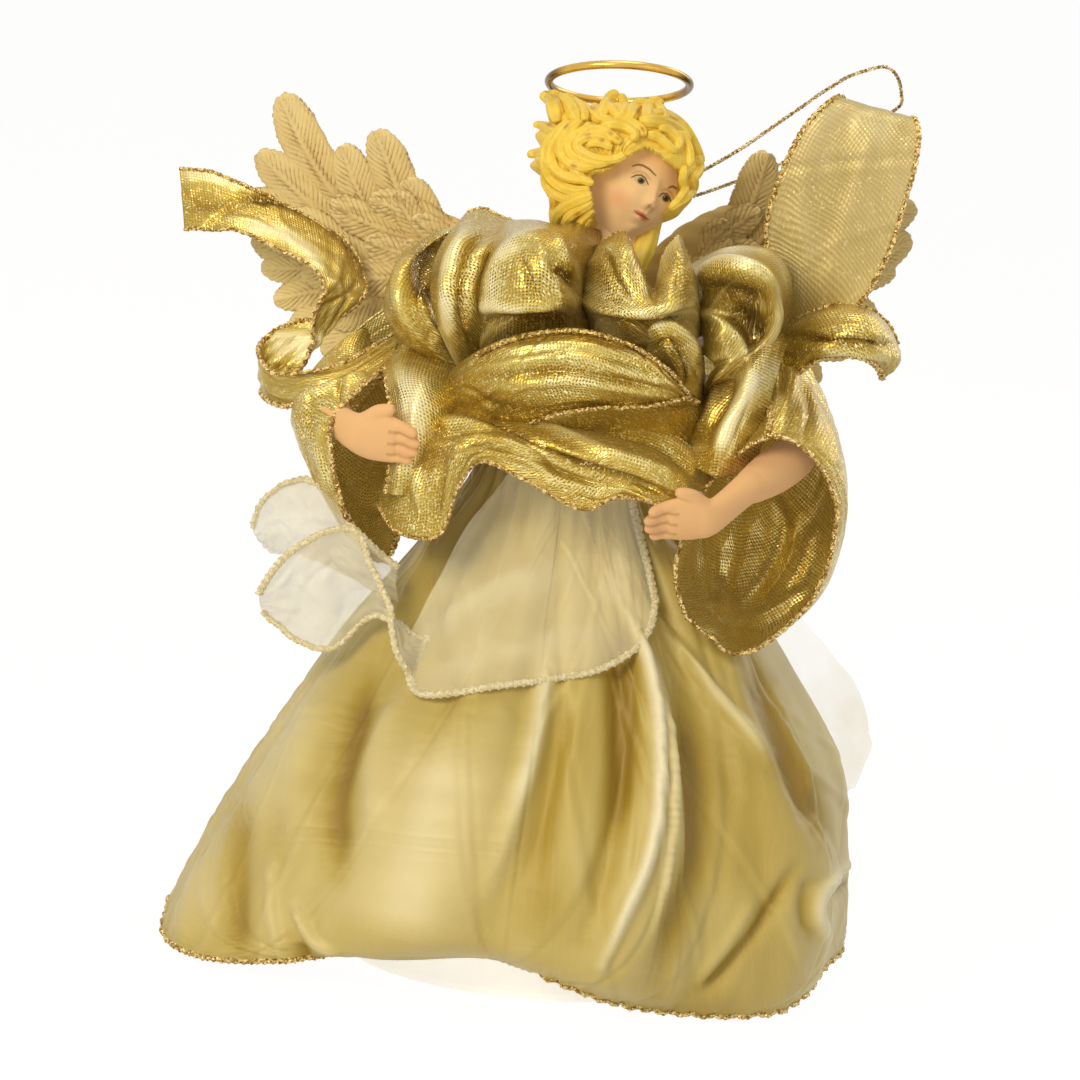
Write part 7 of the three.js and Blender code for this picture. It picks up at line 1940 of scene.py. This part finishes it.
def makeHead():
    face = faceSurface(*(((440, 300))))
    bodies = Bodies()
    bodies.add(gridBody(face))
    steps = np.linspace(0, 1, 24)
    neckPlaces = [neckFoot + (neckHead - neckFoot) * share for share in (0, 0.35, 0.65)]
    neckLine = spline(np.array([*neckPlaces, neckHead]), steps)
    neckSizes = np.interp(steps, [0, 0.35, 1], [1.4, 1.02, 1.0]) * neckRadius
    bodies.add(tubeOf(neckLine, neckSizes, 40))
    shares = spline(np.array(bustProfile), np.linspace(0, 1, 20))
    angle = roundAngles(48)
    bust = np.stack([
        neckFoot[0] * 0.4 + bustRadius * shares[:, :1] * np.cos(angle),
        bustRadius * shares[:, :1] * chestDepthShare * np.sin(angle),
        shoulderZ - bustSunk + shares[:, 1:] * bustHeight + 0 * angle,
    ], -1)
    bodies.add(gridBody(bust))
    head = bodies.piece("head_painted", [looks["skin"]])
    rightWayOut(head)
    paintPoints(head, paintFace(np.concatenate(bodies.points)))
    part(head, "skin", "head_casting")


hairRadius = 25.0
hairHalfDepth = 20.0
hairMiddle = headMiddle + np.array((-6.0, 2.0, 5.0))


def hairReach(degrees):
    rows = np.array(hairOutlineShares, float)
    rows = np.concatenate([rows, rows[:1] + (360, 0)])
    return np.interp(degrees % 360, rows[:, 0], rows[:, 1])


# Depth of the front of the hair at places square to the view, from the middle of the hair
def hairFront(x, z):
    rho = np.hypot(x, z) / (hairRadius * hairReach(np.degrees(np.arctan2(z, x))))
    return -hairHalfDepth * np.sqrt(np.clip(1 - rho ** 2.5, 0.0, 1))


def insideEdge(x, z):
    inside = np.zeros(x.shape, bool)
    corners = np.array(faceEdgeShares) * hairRadius
    last = corners[-1]
    for here in corners:
        crosses = (here[1] > z) != (last[1] > z)
        at = (last[0] - here[0]) * (z - here[1]) / (last[1] - here[1] + 1e-12) + here[0]
        inside ^= crosses & (x < at)
        last = here
    return inside


def hairLocal(points):
    return (np.asarray(points, float) - hairMiddle) @ viewTurn


def hairWorld(points):
    return np.asarray(points, float) @ viewTurn.T + hairMiddle


# Locks of the hair: places in the photograph and half widths from root to tip
hairLocks = [
    ([(557, 127), (553, 109), (547, 101), (540, 98.5)], 9, 5),
    ([(577, 127), (569, 111), (559, 101), (547, 96)], 8, 5),
    ([(584, 127), (580, 113), (571, 103), (563, 98.5)], 7, 4),
    ([(560, 140), (549, 133), (539, 128.5), (533.5, 129)], 7, 3),
    ([(554, 160), (543, 157), (533, 157), (527.5, 159)], 7, 3.5),
    ([(553, 171), (543, 166), (536, 163.5)], 6, 3),
    ([(600, 123), (606, 109), (611, 100), (618.5, 97)], 8, 5),
    ([(620, 123), (623, 111), (622, 103), (618.5, 98)], 7, 4),
    ([(628, 127), (633, 113), (640, 107), (648, 108.5)], 8, 5),
    ([(648, 127), (647, 114), (651, 106), (660, 103.5)], 8, 5),
    ([(663, 127), (660, 116), (657, 107), (663, 105.5)], 7, 4),
    ([(638, 127), (653, 127), (668, 130), (680, 137), (687, 148)], 8, 6),
    ([(648, 121), (665, 120), (680, 128.5), (691, 144), (698, 160), (699, 168)], 7, 5),
    ([(657, 134), (668, 137), (677, 146), (675, 156)], 7, 4.5),
    ([(674, 137), (684, 148), (688, 160), (688, 171)], 7, 4),
    ([(695, 160), (698, 171), (694, 180), (688, 183)], 6, 4),
    ([(690, 180), (691, 191), (684, 201), (674, 208.5), (668, 214)], 7, 4.5),
    ([(683, 171), (681, 185), (683, 194), (677, 204), (671, 213)], 5, 4),
    ([(620, 127), (631, 130), (640, 136), (643, 143)], 7, 4),
    ([(600, 134), (613, 131), (626, 134), (633, 141), (630, 147)], 7, 4.5),
    ([(611, 147), (600, 143), (587, 143), (577, 149), (580, 157), (594, 164), (609, 166),
      (620, 161)], 6, 5),
    ([(620, 149), (611, 143), (600, 137), (587, 137), (576, 141), (569, 149), (571, 159), (583, 166),
      (597, 170), (611, 167)], 6.5, 5),
    ([(611, 154), (601, 150), (591, 150), (587, 153)], 5, 3),
    ([(580, 126), (567, 140), (561, 154), (567, 167), (580, 173), (594, 173)], 8, 5),
    ([(570, 127), (559, 141), (551, 157), (553, 171), (563, 180), (577, 184), (591, 186)], 8, 5.5),
    ([(563, 137), (549, 149), (546, 166), (549, 180), (560, 191), (574, 196), (589, 194)], 8, 5.5),
    ([(549, 171), (547, 186), (554, 197), (567, 203), (580, 201), (591, 199)], 7.5, 5),
    ([(571, 171), (577, 179), (584, 186), (593, 189)], 5.5, 4),
    ([(591, 201), (577, 206), (564, 213), (556, 221), (554, 230)], 8, 5.5),
    ([(591, 206), (581, 213), (570, 220), (563, 229)], 7, 5), ([(591, 213), (586, 220), (577, 229)], 6, 4),
    ([(553, 197), (554, 209), (553, 220), (556, 230)], 6, 4), ([(589, 221), (584, 229), (577, 234)], 5, 4),
    ([(600, 127), (589, 117), (581, 109), (577, 104)], 6.5, 4),
    ([(613, 131), (600, 123), (594, 113), (597, 107)], 6.5, 4),
    ([(629, 131), (617, 123), (611, 114), (609, 109)], 6, 4),
    ([(591, 131), (581, 140), (574, 147)], 6.5, 5),
    ([(646, 140), (657, 143), (664, 149), (670, 154), (676, 157)], 5.5, 4),
    ([(623, 160), (619, 163), (611, 166), (600, 164)], 5.5, 4),
]
hangingLock = [(0.5, -0.02, -0.42), (0.46, -0.14, -0.8), (0.42, -0.2, -1.05), (0.4, -0.22, -1.3)]
# Dark hollows between the locks, painted shade: place and size
hairHollows = [
    (610, 139, 4), (640, 136, 4), (661, 138, 3.5), (642, 143, 3), (594, 157, 4), (573, 172, 4),
    (577, 220, 5), (555, 100, 4), (587, 142, 4), (601, 147, 3.5), (549, 130, 3.5), (566, 133, 4),
    (637, 116, 4), (612, 105, 3.5), (592, 113, 4), (617, 144, 3.5),
]


def hairPaint(points, groove):
    across, down = seenFrom(points)
    yellow = np.array((0.90, 0.68, 0.10))
    colour = np.broadcast_to(yellow, points.shape).copy()
    light = 0.5 + 0.5 * wander(across / 60, down / 50, 4)
    colour = blended(colour, light * 0.5, (0.95, 0.80, 0.24))
    # darker in the grooves and in the hollows between the locks: painted shade
    colour = blended(colour, np.clip(groove, 0, 1) * 0.3, (0.74, 0.47, 0.05))
    for x, y, size in hairHollows:
        spot = np.clip(1.15 - np.hypot(across - x, down - y) / size, 0, 1)
        colour = blended(colour, spot * (0.35 + 0.65 * np.clip(groove, 0, 1)), (0.40, 0.17, 0.05))
    return colour


# A lock: a flattened strand with grooves along it, laid on the front of the hair
def lockBody(line, wide, high, strands, phase):
    tangent = tangentsOf(line)
    side = np.cross(tangent, np.broadcast_to((0.0, -1.0, 0.0), tangent.shape))
    side /= np.maximum(np.linalg.norm(side, axis=1, keepdims=True), 1e-6)
    top = np.cross(side, tangent)
    angle = roundAngles(28)
    share = np.linspace(0, 1, len(line))[:, None]
    ridge = np.cos(strands * angle[None, :] + phase + share * 2.2)
    swell = 1 + 0.085 * ridge
    across = np.cos(angle)[None, :] * wide[:, None] * swell
    over = np.sin(angle)[None, :] * high[:, None] * swell
    return ringsRound(line, side, top, across, over), np.clip(0.5 - 0.6 * ridge, 0, 1)


def makeHair():
    bodies = Bodies()
    grooves = []

    def addLock(line, half, strands, phase):
        points, groove = lockBody(line, half, half * 0.8, strands, phase)
        bodies.add(gridBody(hairWorld(points)))
        grooves.append(groove.ravel())

    columns, rings = 220, 70
    angle = roundAngles(columns)
    reach = hairReach(np.degrees(angle))
    reach = (np.roll(reach, 1) + reach * 2 + np.roll(reach, -1)) / 4
    rho = np.sin(np.linspace(0.02, math.pi - 0.02, rings * 2))[:, None]
    x = hairRadius * reach[None, :] * rho * np.cos(angle) * 0.97
    z = hairRadius * reach[None, :] * rho * np.sin(angle) * 0.97
    front = np.arange(rings * 2)[:, None] < rings
    depth = hairHalfDepth * np.sqrt(np.clip(1 - rho ** 2.5, 0, 1)) * 0.94 + 0 * x
    strand = np.sin(angle[None, :] * 9 + rho * 7 + 1.4 * wander(x / 30, z / 30, 9))
    fine = np.sin(angle[None, :] * 34 + rho * 16 + 3.0 * wander(x / 22, z / 22, 12))
    y = np.where(front, -depth, depth) * (1 + 0.030 * strand + 0.014 * fine)
    window = insideEdge(x, z) & front
    y = np.where(window, np.maximum(y, hairHalfDepth * 0.12), y)
    grid = np.stack([x * (1 + 0.012 * strand), y, z * (1 + 0.012 * strand)], -1)
    bodies.add(gridBody(hairWorld(grid)))
    grooves.append(np.clip(0.45 - 0.35 * strand - 0.3 * fine, 0, 1).ravel())
    share = np.linspace(0, 1, 46)
    for k, (places, wide, tip) in enumerate(hairLocks):
        local = hairLocal([seenAt(px, py) for px, py in places])
        flat = spline(local * (1, 0, 1), share)
        half = (wide + (tip - wide) * share) * photoScale * 0.92
        half = half * np.sqrt(np.clip(1 - np.clip((share - 0.8) / 0.22, 0, 1) ** 2, 0.02, 1))
        half = half * np.clip(0.55 + share * 4, 0, 1)
        flat[:, 1] = hairFront(flat[:, 0], flat[:, 2]) - half * 0.15
        flat[:, 1] = np.convolve(np.pad(flat[:, 1], 4, "edge"), np.ones(9) / 9, "valid")
        addLock(flat, half, 5 + k % 3, k * 1.3)
    share = np.linspace(0, 1, 50)
    hang = spline(np.array(hangingLock) * hairRadius, share)
    addLock(hang, np.interp(share, [0, 0.5, 1], [3.2, 3.3, 1.6]), 6, 0.4)
    hair = bodies.piece("hair_locks", [looks["hair"]])
    rightWayOut(hair)
    paintPoints(hair, hairPaint(np.concatenate(bodies.points), np.concatenate(grooves)))
    part(hair, "hair", "hair_casting")


makeHead()
makeHair()
print("head ready")


# Wings: every feather has a quill, slanting barbs, brown in the grooves and painted shade towards its root

wingSweep = {"left": math.radians(19), "right": math.radians(15)}
wingRoot = np.array((14.0, chestHalfWidth * chestDepthShare, shoulderZ - 4.0))
featherLayerStep = 1.5
featherCream = np.array((0.74, 0.58, 0.30))
outwards = {"left": np.array((1, 1, 1)), "right": np.array((-1, 1, 1))}
# Small feathers along the arm, that only the front of the wing shows
covertShares = {
    "right": [(2.6, 0.4, 0.2, 30, 0.2, 0.09), (2.6, 0.46, 0.27, 48, 0.2, 0.09),
     (2.6, 0.3, 0.06, 10, 0.2, 0.09), (2.9, 0.3, 0.14, 30, 0.16, 0.08),
     (2.9, 0.22, 0.02, 0, 0.18, 0.08), (2.9, 0.44, 0.02, -10, 0.22, 0.09)],
    "left": [(2.6, 0.24, 0.3, 60, 0.18, 0.09), (2.6, 0.3, 0.14, 20, 0.2, 0.09),
     (2.6, 0.34, 0.05, 0, 0.22, 0.09), (2.9, 0.2, 0.18, 44, 0.16, 0.08),
     (2.9, 0.26, 0.24, 40, 0.18, 0.08), (2.9, 0.42, 0.14, 8, 0.22, 0.09)],
}


def featherGrid(row, seed):
    layer, tipOut, tipUp, degrees, longShare, wideShare = row
    lines, columns = 150, 36
    s, t = np.meshgrid(np.linspace(-1, 1, columns), np.linspace(0, 1, lines))
    long = longShare * tableSpan
    wide = wideShare * tableSpan / 2
    turn = math.radians(degrees)
    along = np.array((math.cos(turn), 0, math.sin(turn)))
    aside = np.array((-math.sin(turn), 0, math.cos(turn)))
    front = np.array((0.0, -1.0, 0.0))
    tip = np.array((tipOut, 0, tipUp)) * tableSpan
    body = 0.5 + 0.5 * np.clip(t / 0.4, 0, 1) ** 0.8
    blunt = np.sqrt(np.clip(1 - np.clip((t - 0.72) / 0.285, 0, 1) ** 2.2, 0.004, 1))
    notch = 1 - 0.045 * np.abs(np.sin(t * long / 2.1 + seed)) * (np.abs(s) > 0.8)
    half = wide * body * blunt * notch
    sway = 0.05 * long * np.sin(t * math.pi) * math.sin(seed * 2.1)
    middle = tip + (t[..., None] - 1) * long * along + sway[..., None] * aside
    flow = (t * long - np.abs(s) * wide * 1.15) / 1.75
    barbs = np.sin(flow * 2 * math.pi / 1.1 + seed + 0.9 * wander(t * 1.1, s * 0.4, seed + 2))
    deep = 0.35 + 0.65 * np.clip(0.3 + wander(t * 1.2, s * 0.5, seed + 7) * 1.6, 0, 1)
    quill = np.exp(-(s / 0.1) ** 2)
    camber = 1.1 * (1 - s * s) * (0.5 + 0.5 * t)
    groove = (1 - quill) * deep * np.sign(barbs) * np.abs(barbs) ** 0.7
    rise = layer * featherLayerStep + 0.8 * t + camber + 0.75 * quill * (1 - 0.5 * t) + 0.3 * groove
    rise = rise + 0.9 * np.clip(t - 0.75, 0, 1) ** 2 * 8
    grid = middle + aside * (s * half)[..., None] + front * rise[..., None]
    dark = np.clip(-barbs * deep, 0, 1) * (1 - quill)
    return grid, dark, t, s


def wingPlaces(points, side):
    swept = points @ turnZ(wingSweep[side]).T + wingRoot + np.array((0, featherLayerStep, 0))
    return swept * outwards[side]


def featherPaint(dark, t, s, k, small):
    colour = np.broadcast_to(featherCream, (*t.shape, 3)).copy()
    colour = blended(colour, (0.5 + 0.5 * wander(t, s * 0.4, k)) * 0.5, (0.84, 0.72, 0.45))
    colour = blended(colour, np.clip(t - 0.55, 0, 1) * 1.2, (0.90, 0.79, 0.52))
    window = np.clip((t - 0.12) * 4, 0, 1) * np.clip((0.98 - t) * 3.5, 0, 1)
    brownPatches = np.clip(0.6 + wander(t * 1.3, s * 0.5, k + 3) * 1.5, 0.1, 1) * window
    brownPatches = brownPatches * np.exp(-(s / (0.95 if small else 0.55)) ** 2) * 1.3 + 0.06
    colour = blended(colour, np.clip(dark * 3.6, 0, 1) * np.clip(brownPatches, 0, 1), (0.17, 0.075, 0.015))
    beside = np.exp(-((np.abs(s) - 0.17) / 0.07) ** 2) * np.clip(1.15 - t, 0, 1)
    colour = blended(colour, beside * np.clip(brownPatches, 0, 1) * 0.75, (0.30, 0.15, 0.04))
    # darker towards the root, where the next layer overlaps: painted shade
    colour = blended(colour, np.clip(1 - t * 2.0, 0, 1) * 0.45, (0.52, 0.34, 0.12))
    if small:
        patchy = np.clip(0.1 + wander(t * 1.4, s * 1.2, k + 5) * 1.4, 0, 1)
        brush = np.clip((t - 0.45) * 2.0, 0, 1) * patchy
        colour = blended(colour, brush * 0.7, (0.27, 0.13, 0.03))
    edge = np.clip((np.abs(s) - 0.82) * 5, 0, 1)
    colour = blended(colour, edge * (1 - 0.5 * t) * (0.9 if small else 0.45), (0.34, 0.18, 0.05))
    return colour.reshape(-1, 3)


def makeWing(side):
    bodies = Bodies()
    paints = []
    for k, row in enumerate(featherShares[side] + covertShares[side]):
        grid, dark, t, s = featherGrid(row, k + (0 if side == "left" else 50))
        bodies.add(shellOf(wingPlaces(grid, side), 1.0))
        paints += [featherPaint(dark, t, s, k, row[0] >= 2)] * 2
    share = np.linspace(0, 1, 60)
    behind = -featherLayerStep * 1.4
    armPlaces = [(out * tableSpan, behind, up * tableSpan) for out, up, _ in wingArmShares[side]]
    arm = spline(np.array(armPlaces), share)
    sizes = np.interp(share, np.linspace(0, 1, 5), [row[2] for row in wingArmShares[side]]) * 6.2
    angle = roundAngles(28)
    scale = np.abs(np.sin(np.linspace(0, 26, 60)[:, None] + angle[None, :] * 2))
    top = np.cross(tangentsOf(arm), (0.0, 1.0, 0.0))
    reach = sizes[:, None] * (0.94 + 0.08 * scale)
    flatSide = np.broadcast_to((0.0, -0.5, 0.0), arm.shape)
    places = wingPlaces(ringsRound(arm, flatSide, top, np.cos(angle) * reach, np.sin(angle) * reach), side)
    bodies.add(gridBody(places))
    shade = blended(np.broadcast_to(featherCream, places.shape), scale * 0.25, (0.50, 0.32, 0.12))
    paints.append(shade.reshape(-1, 3))
    away = (wingRoot + np.array((0.0, 1.8, 0.0))) * outwards[side]
    pin = np.stack([away, away - np.array((0.0, 10.5, 0.0))])
    bodies.add(tubeOf(spline(pin, np.linspace(0, 1, 6)), 2.6, 24))
    paints.append(np.broadcast_to(featherCream, (6 * 24, 3)))
    wing = bodies.piece(side + "_wing_feathers", [looks["wing"]])
    rightWayOut(wing)
    paintPoints(wing, np.concatenate(paints))
    part(wing, "wing", side + "_wing")


for side in ("left", "right"):
    makeWing(side)
print("wings ready")


# Hands and forearms: joined from limbs, remeshed and smoothed into one casting

elbowRadius = 7.4
wristRadius = 4.9
palmLength = 12.0
palmHeight = 14.5
palmThickness = 7.0
fingerLength = 11.0
fingerRadius = 1.95
thumbLength = 9.5
# Along a finger: share of its length, bend, width and height
fingerStations = [
    (-0.1, 0, 0.9, 0.95), (0.25, 0.0, 0.98, 0.96), (0.45, 0.02, 1.0, 0.9), (0.68, 0.06, 0.88, 0.84),
    (0.82, 0.12, 0.9, 0.84), (0.97, 0.2, 0.72, 0.7), (1.05, 0.25, 0.3, 0.3),
]


def unit(vector):
    return vector / np.linalg.norm(vector)


def limbBody(stations, sides, up):
    fine = np.linspace(0, 1, len(stations) * 7)
    full = [(*station, up)[:4] for station in stations]
    line, wide, high, ups = (spline(np.array([row[k] for row in full]), fine) for k in range(4))
    tangent = tangentsOf(line)
    side = np.cross(tangent, ups)
    side /= np.linalg.norm(side, axis=1, keepdims=True)
    top = np.cross(side, tangent)
    angle = roundAngles(sides)
    rings = ringsRound(line, side, top, np.cos(angle) * wide[:, None], np.sin(angle) * high[:, None])
    return gridBody(rings)


# Colour of a hand: warmer towards the fingertips, and painted shade between the fingers
def handPaint(points, end, along, up):
    colour = np.broadcast_to(np.array((0.74, 0.46, 0.26)), points.shape).copy()
    share = np.clip((points - end) @ along / fingerLength, -0.6, 1)
    colour = blended(colour, np.clip(share, 0, 1) * 0.35, (0.60, 0.27, 0.15))
    between = 0.0
    for k in range(3):
        rise = (1.0 - k) * fingerRadius * 1.86
        aside = (points - end) @ up - rise * (1 - 0.22 * np.clip(share, 0, 1))
        between = np.maximum(between, np.exp(-(aside / 0.5) ** 2) * (share > -0.12))
    return blended(colour, between * 0.55, (0.34, 0.16, 0.07))


def makeForearm(side):
    shares = armShares[side]
    elbow, wrist, hand, tips = (
        np.array(shares[key]) * tableSpan + shoulderAnchor for key in ("elbow", "wrist", "hand", "tips")
    )
    along = unit(tips - hand)
    across = unit(np.cross(unit(np.array(shares["up"])), along))
    up = unit(np.cross(along, across))
    start = hand - along * palmLength * 0.4
    end = hand + along * palmLength * 0.6
    level = np.array((0.0, 0.0, 1.0))
    # The right arm begins further on and is thinner, so that it stays inside its sleeve
    begin, full = (0.1, 1.0) if side == "left" else (0.46, 0.6)
    arm = []
    for share, wide, high, thin in (
        (begin, 0.5, 0.5, 1.0), (begin * 0.7 + 0.168, 0.82, 0.82, full), (0.56, 0.88, 0.9, full),
    ):
        spot = elbow + (wrist - elbow) * share
        arm.append((spot, elbowRadius * wide * thin, elbowRadius * high * thin, level))
    arm.append((elbow + (wrist - elbow) * 0.85, wristRadius * 1.1, wristRadius * 1.13, level))
    arm.append((wrist, wristRadius * 0.9, wristRadius, up))
    for spot, thick, high in (
        (start, 0.5, 0.42), (hand, 0.52, 0.52), (end, 0.4, 0.49), (end + along * 1.2, 0.22, 0.4),
    ):
        arm.append((spot, palmThickness * thick, palmHeight * high, up))
    bodies = Bodies()
    bodies.add(limbBody(arm, 30, level))
    curl = across * (1 if side == "left" else -1)
    for k in range(4):
        rise = (1.5 - k) * fingerRadius * 1.86
        long = fingerLength * (0.9, 1.0, 0.97, 0.82)[k]
        root = end - along * fingerRadius * 1.6 + up * rise
        finger = []
        for share, bend, wide, high in fingerStations:
            spot = root + along * long * share + curl * long * bend - up * rise * 0.22 * share
            finger.append((spot, fingerRadius * wide, fingerRadius * high))
        bodies.add(limbBody(finger, 16, up))
    root = start + along * palmLength * 0.15 + up * palmHeight * 0.22
    knee = root + (along + up) * thumbLength * 0.5
    tip = root + along * thumbLength + up * thumbLength * 0.72
    thumb = []
    for spot, wide, high in (
        (root, 1.4, 1.5), (root + (knee - root) * 0.6, 1.25, 1.2), (knee, 1.12, 1.05),
        (knee + (tip - knee) * 0.6, 0.98, 0.92), (tip, 0.6, 0.6),
    ):
        thumb.append((spot, fingerRadius * wide, fingerRadius * high))
    bodies.add(limbBody(thumb, 16, across))
    piece = bodies.piece(side + "_hand_painted", [looks["skin"]])
    rightWayOut(piece)
    remesh = piece.modifiers.new("join", "REMESH")
    remesh.mode = "VOXEL"
    remesh.voxel_size = 0.00045
    soften = piece.modifiers.new("soften", "SMOOTH")
    soften.factor = 0.5
    soften.iterations = 3
    graph = bpy.context.evaluated_depsgraph_get()
    mesh = bpy.data.meshes.new_from_object(piece.evaluated_get(graph))
    piece.modifiers.clear()
    piece.data = mesh
    mesh.polygons.foreach_set("use_smooth", np.ones(len(mesh.polygons), bool))
    if not mesh.materials:
        mesh.materials.append(looks["skin"])
    points = np.empty(len(mesh.vertices) * 3)
    mesh.vertices.foreach_get("co", points)
    points = points.reshape(-1, 3) * 1000 - axisShift
    paintPoints(piece, handPaint(points, end, along, up))
    part(piece, "skin", side + "_forearm")


for side in ("left", "right"):
    makeForearm(side)
print("hands ready")


# Halo, eyelet, neckline edge and the knot of the bow

haloRadius = 20.6
haloWireRadius = 1.25
haloTilt = math.radians(22)
haloLean = math.radians(-5)
haloMiddle = np.array((2.0, 2.0, shoulderZ + 66.0))
haloStemTurn = math.pi * 0.86
haloDrillShare = (-0.62, 0.1, 0.35)
eyeletShare = (0.052, 0.115, 0.282)
# Radius and place along the axis
eyeletProfile = [
    (0.9, -4.0), (2.3, -4.1), (2.6, -3.6), (2.6, 2.2), (2.8, 2.7), (2.5, 3.3), (1.9, 3.4), (1.2, 3.0),
    (1.1, 0.5),
]


def makeHalo():
    pose = turnY(haloLean) @ turnX(-haloTilt)
    angle = np.linspace(0, 2 * math.pi, 200, endpoint=False)
    ring = np.stack([np.cos(angle), np.sin(angle), 0 * angle], 1) * haloRadius @ pose.T + haloMiddle
    bodies = Bodies()
    bodies.add(tubeOf(ring, haloWireRadius, 20, True))
    leave = pose @ np.array((math.cos(haloStemTurn), math.sin(haloStemTurn), 0)) * haloRadius + haloMiddle
    drill = np.array(haloDrillShare) * hairRadius + hairMiddle
    stem = spline(np.array([
        leave, leave + np.array((haloWireRadius * 0.3, haloWireRadius, -haloWireRadius * 2.4)),
        drill + (leave - drill) * 0.45 + np.array((0, haloWireRadius, 0)), drill,
    ]), np.linspace(0, 1, 40))
    bodies.add(tubeOf(stem, haloWireRadius * 0.9, 18))
    halo = bodies.piece("halo_polished", [looks["halo"]])
    rightWayOut(halo)
    part(halo, "plated", "halo_ring")


def makeEyelet():
    middle = np.array(eyeletShare) * tableSpan + shoulderAnchor
    angle = roundAngles(40)
    rings = [[(r * math.cos(a), y, r * math.sin(a)) for a in angle] for r, y in eyeletProfile]
    bodies = Bodies()
    bodies.add(gridBody(np.array(rings) + middle))
    eyelet = bodies.piece("eyelet_polished", [looks["brass"]])
    rightWayOut(eyelet)
    part(eyelet, "plated", "cord_eyelet")


def makeNeckline():
    anchor = neckFoot + (neckHead - neckFoot) * 0.3
    places = np.array(neckTrimShares) * neckRadius + anchor
    line = spline(places, np.linspace(0, 1, 240, endpoint=False), True)
    bodies = Bodies()
    edgeBraid(bodies, line, 0.85, True)
    trim = bodies.piece("neckline_edge", [looks["braid"]])
    part(trim, "braid", "neck_trim")


def makeKnot():
    low, high = (np.array(corner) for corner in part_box("bow_knot"))
    middle = (low + high) / 2 * 1000 - axisShift
    half = (high - low) / 2 * 1000
    lift = np.linspace(-math.pi / 2 + 0.05, math.pi / 2 - 0.05, 60)[:, None]
    turn = roundAngles(96)[None, :]
    pleat = 1 + 0.06 * np.sin(turn * 9 + 1.2 * np.sin(lift * 2)) + 0.02 * np.sin(turn * 23)
    x = np.cos(lift) * np.cos(turn) * pleat * half[0] * 0.97
    y = np.cos(lift) * np.sin(turn) * pleat * half[1] * 0.97
    z = np.sin(lift) * half[2] * (0.92 + 0.05 * np.cos(turn * 2))
    bodies = Bodies()
    bodies.add(gridBody(np.stack([x, y, z], -1) + middle))
    knot = bodies.piece("bow_knot_gathered", [looks["ribbon"]])
    rightWayOut(knot)
    part(knot, "lame", "bow_knot")


makeHalo()
makeEyelet()
makeNeckline()
makeKnot()

for name, look in (("base_cone", "card"), ("torso_form", "foam"), ("arm_wire", "steel")):
    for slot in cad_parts[name].material_slots:
        slot.material = looks[look]
print("small pieces ready")
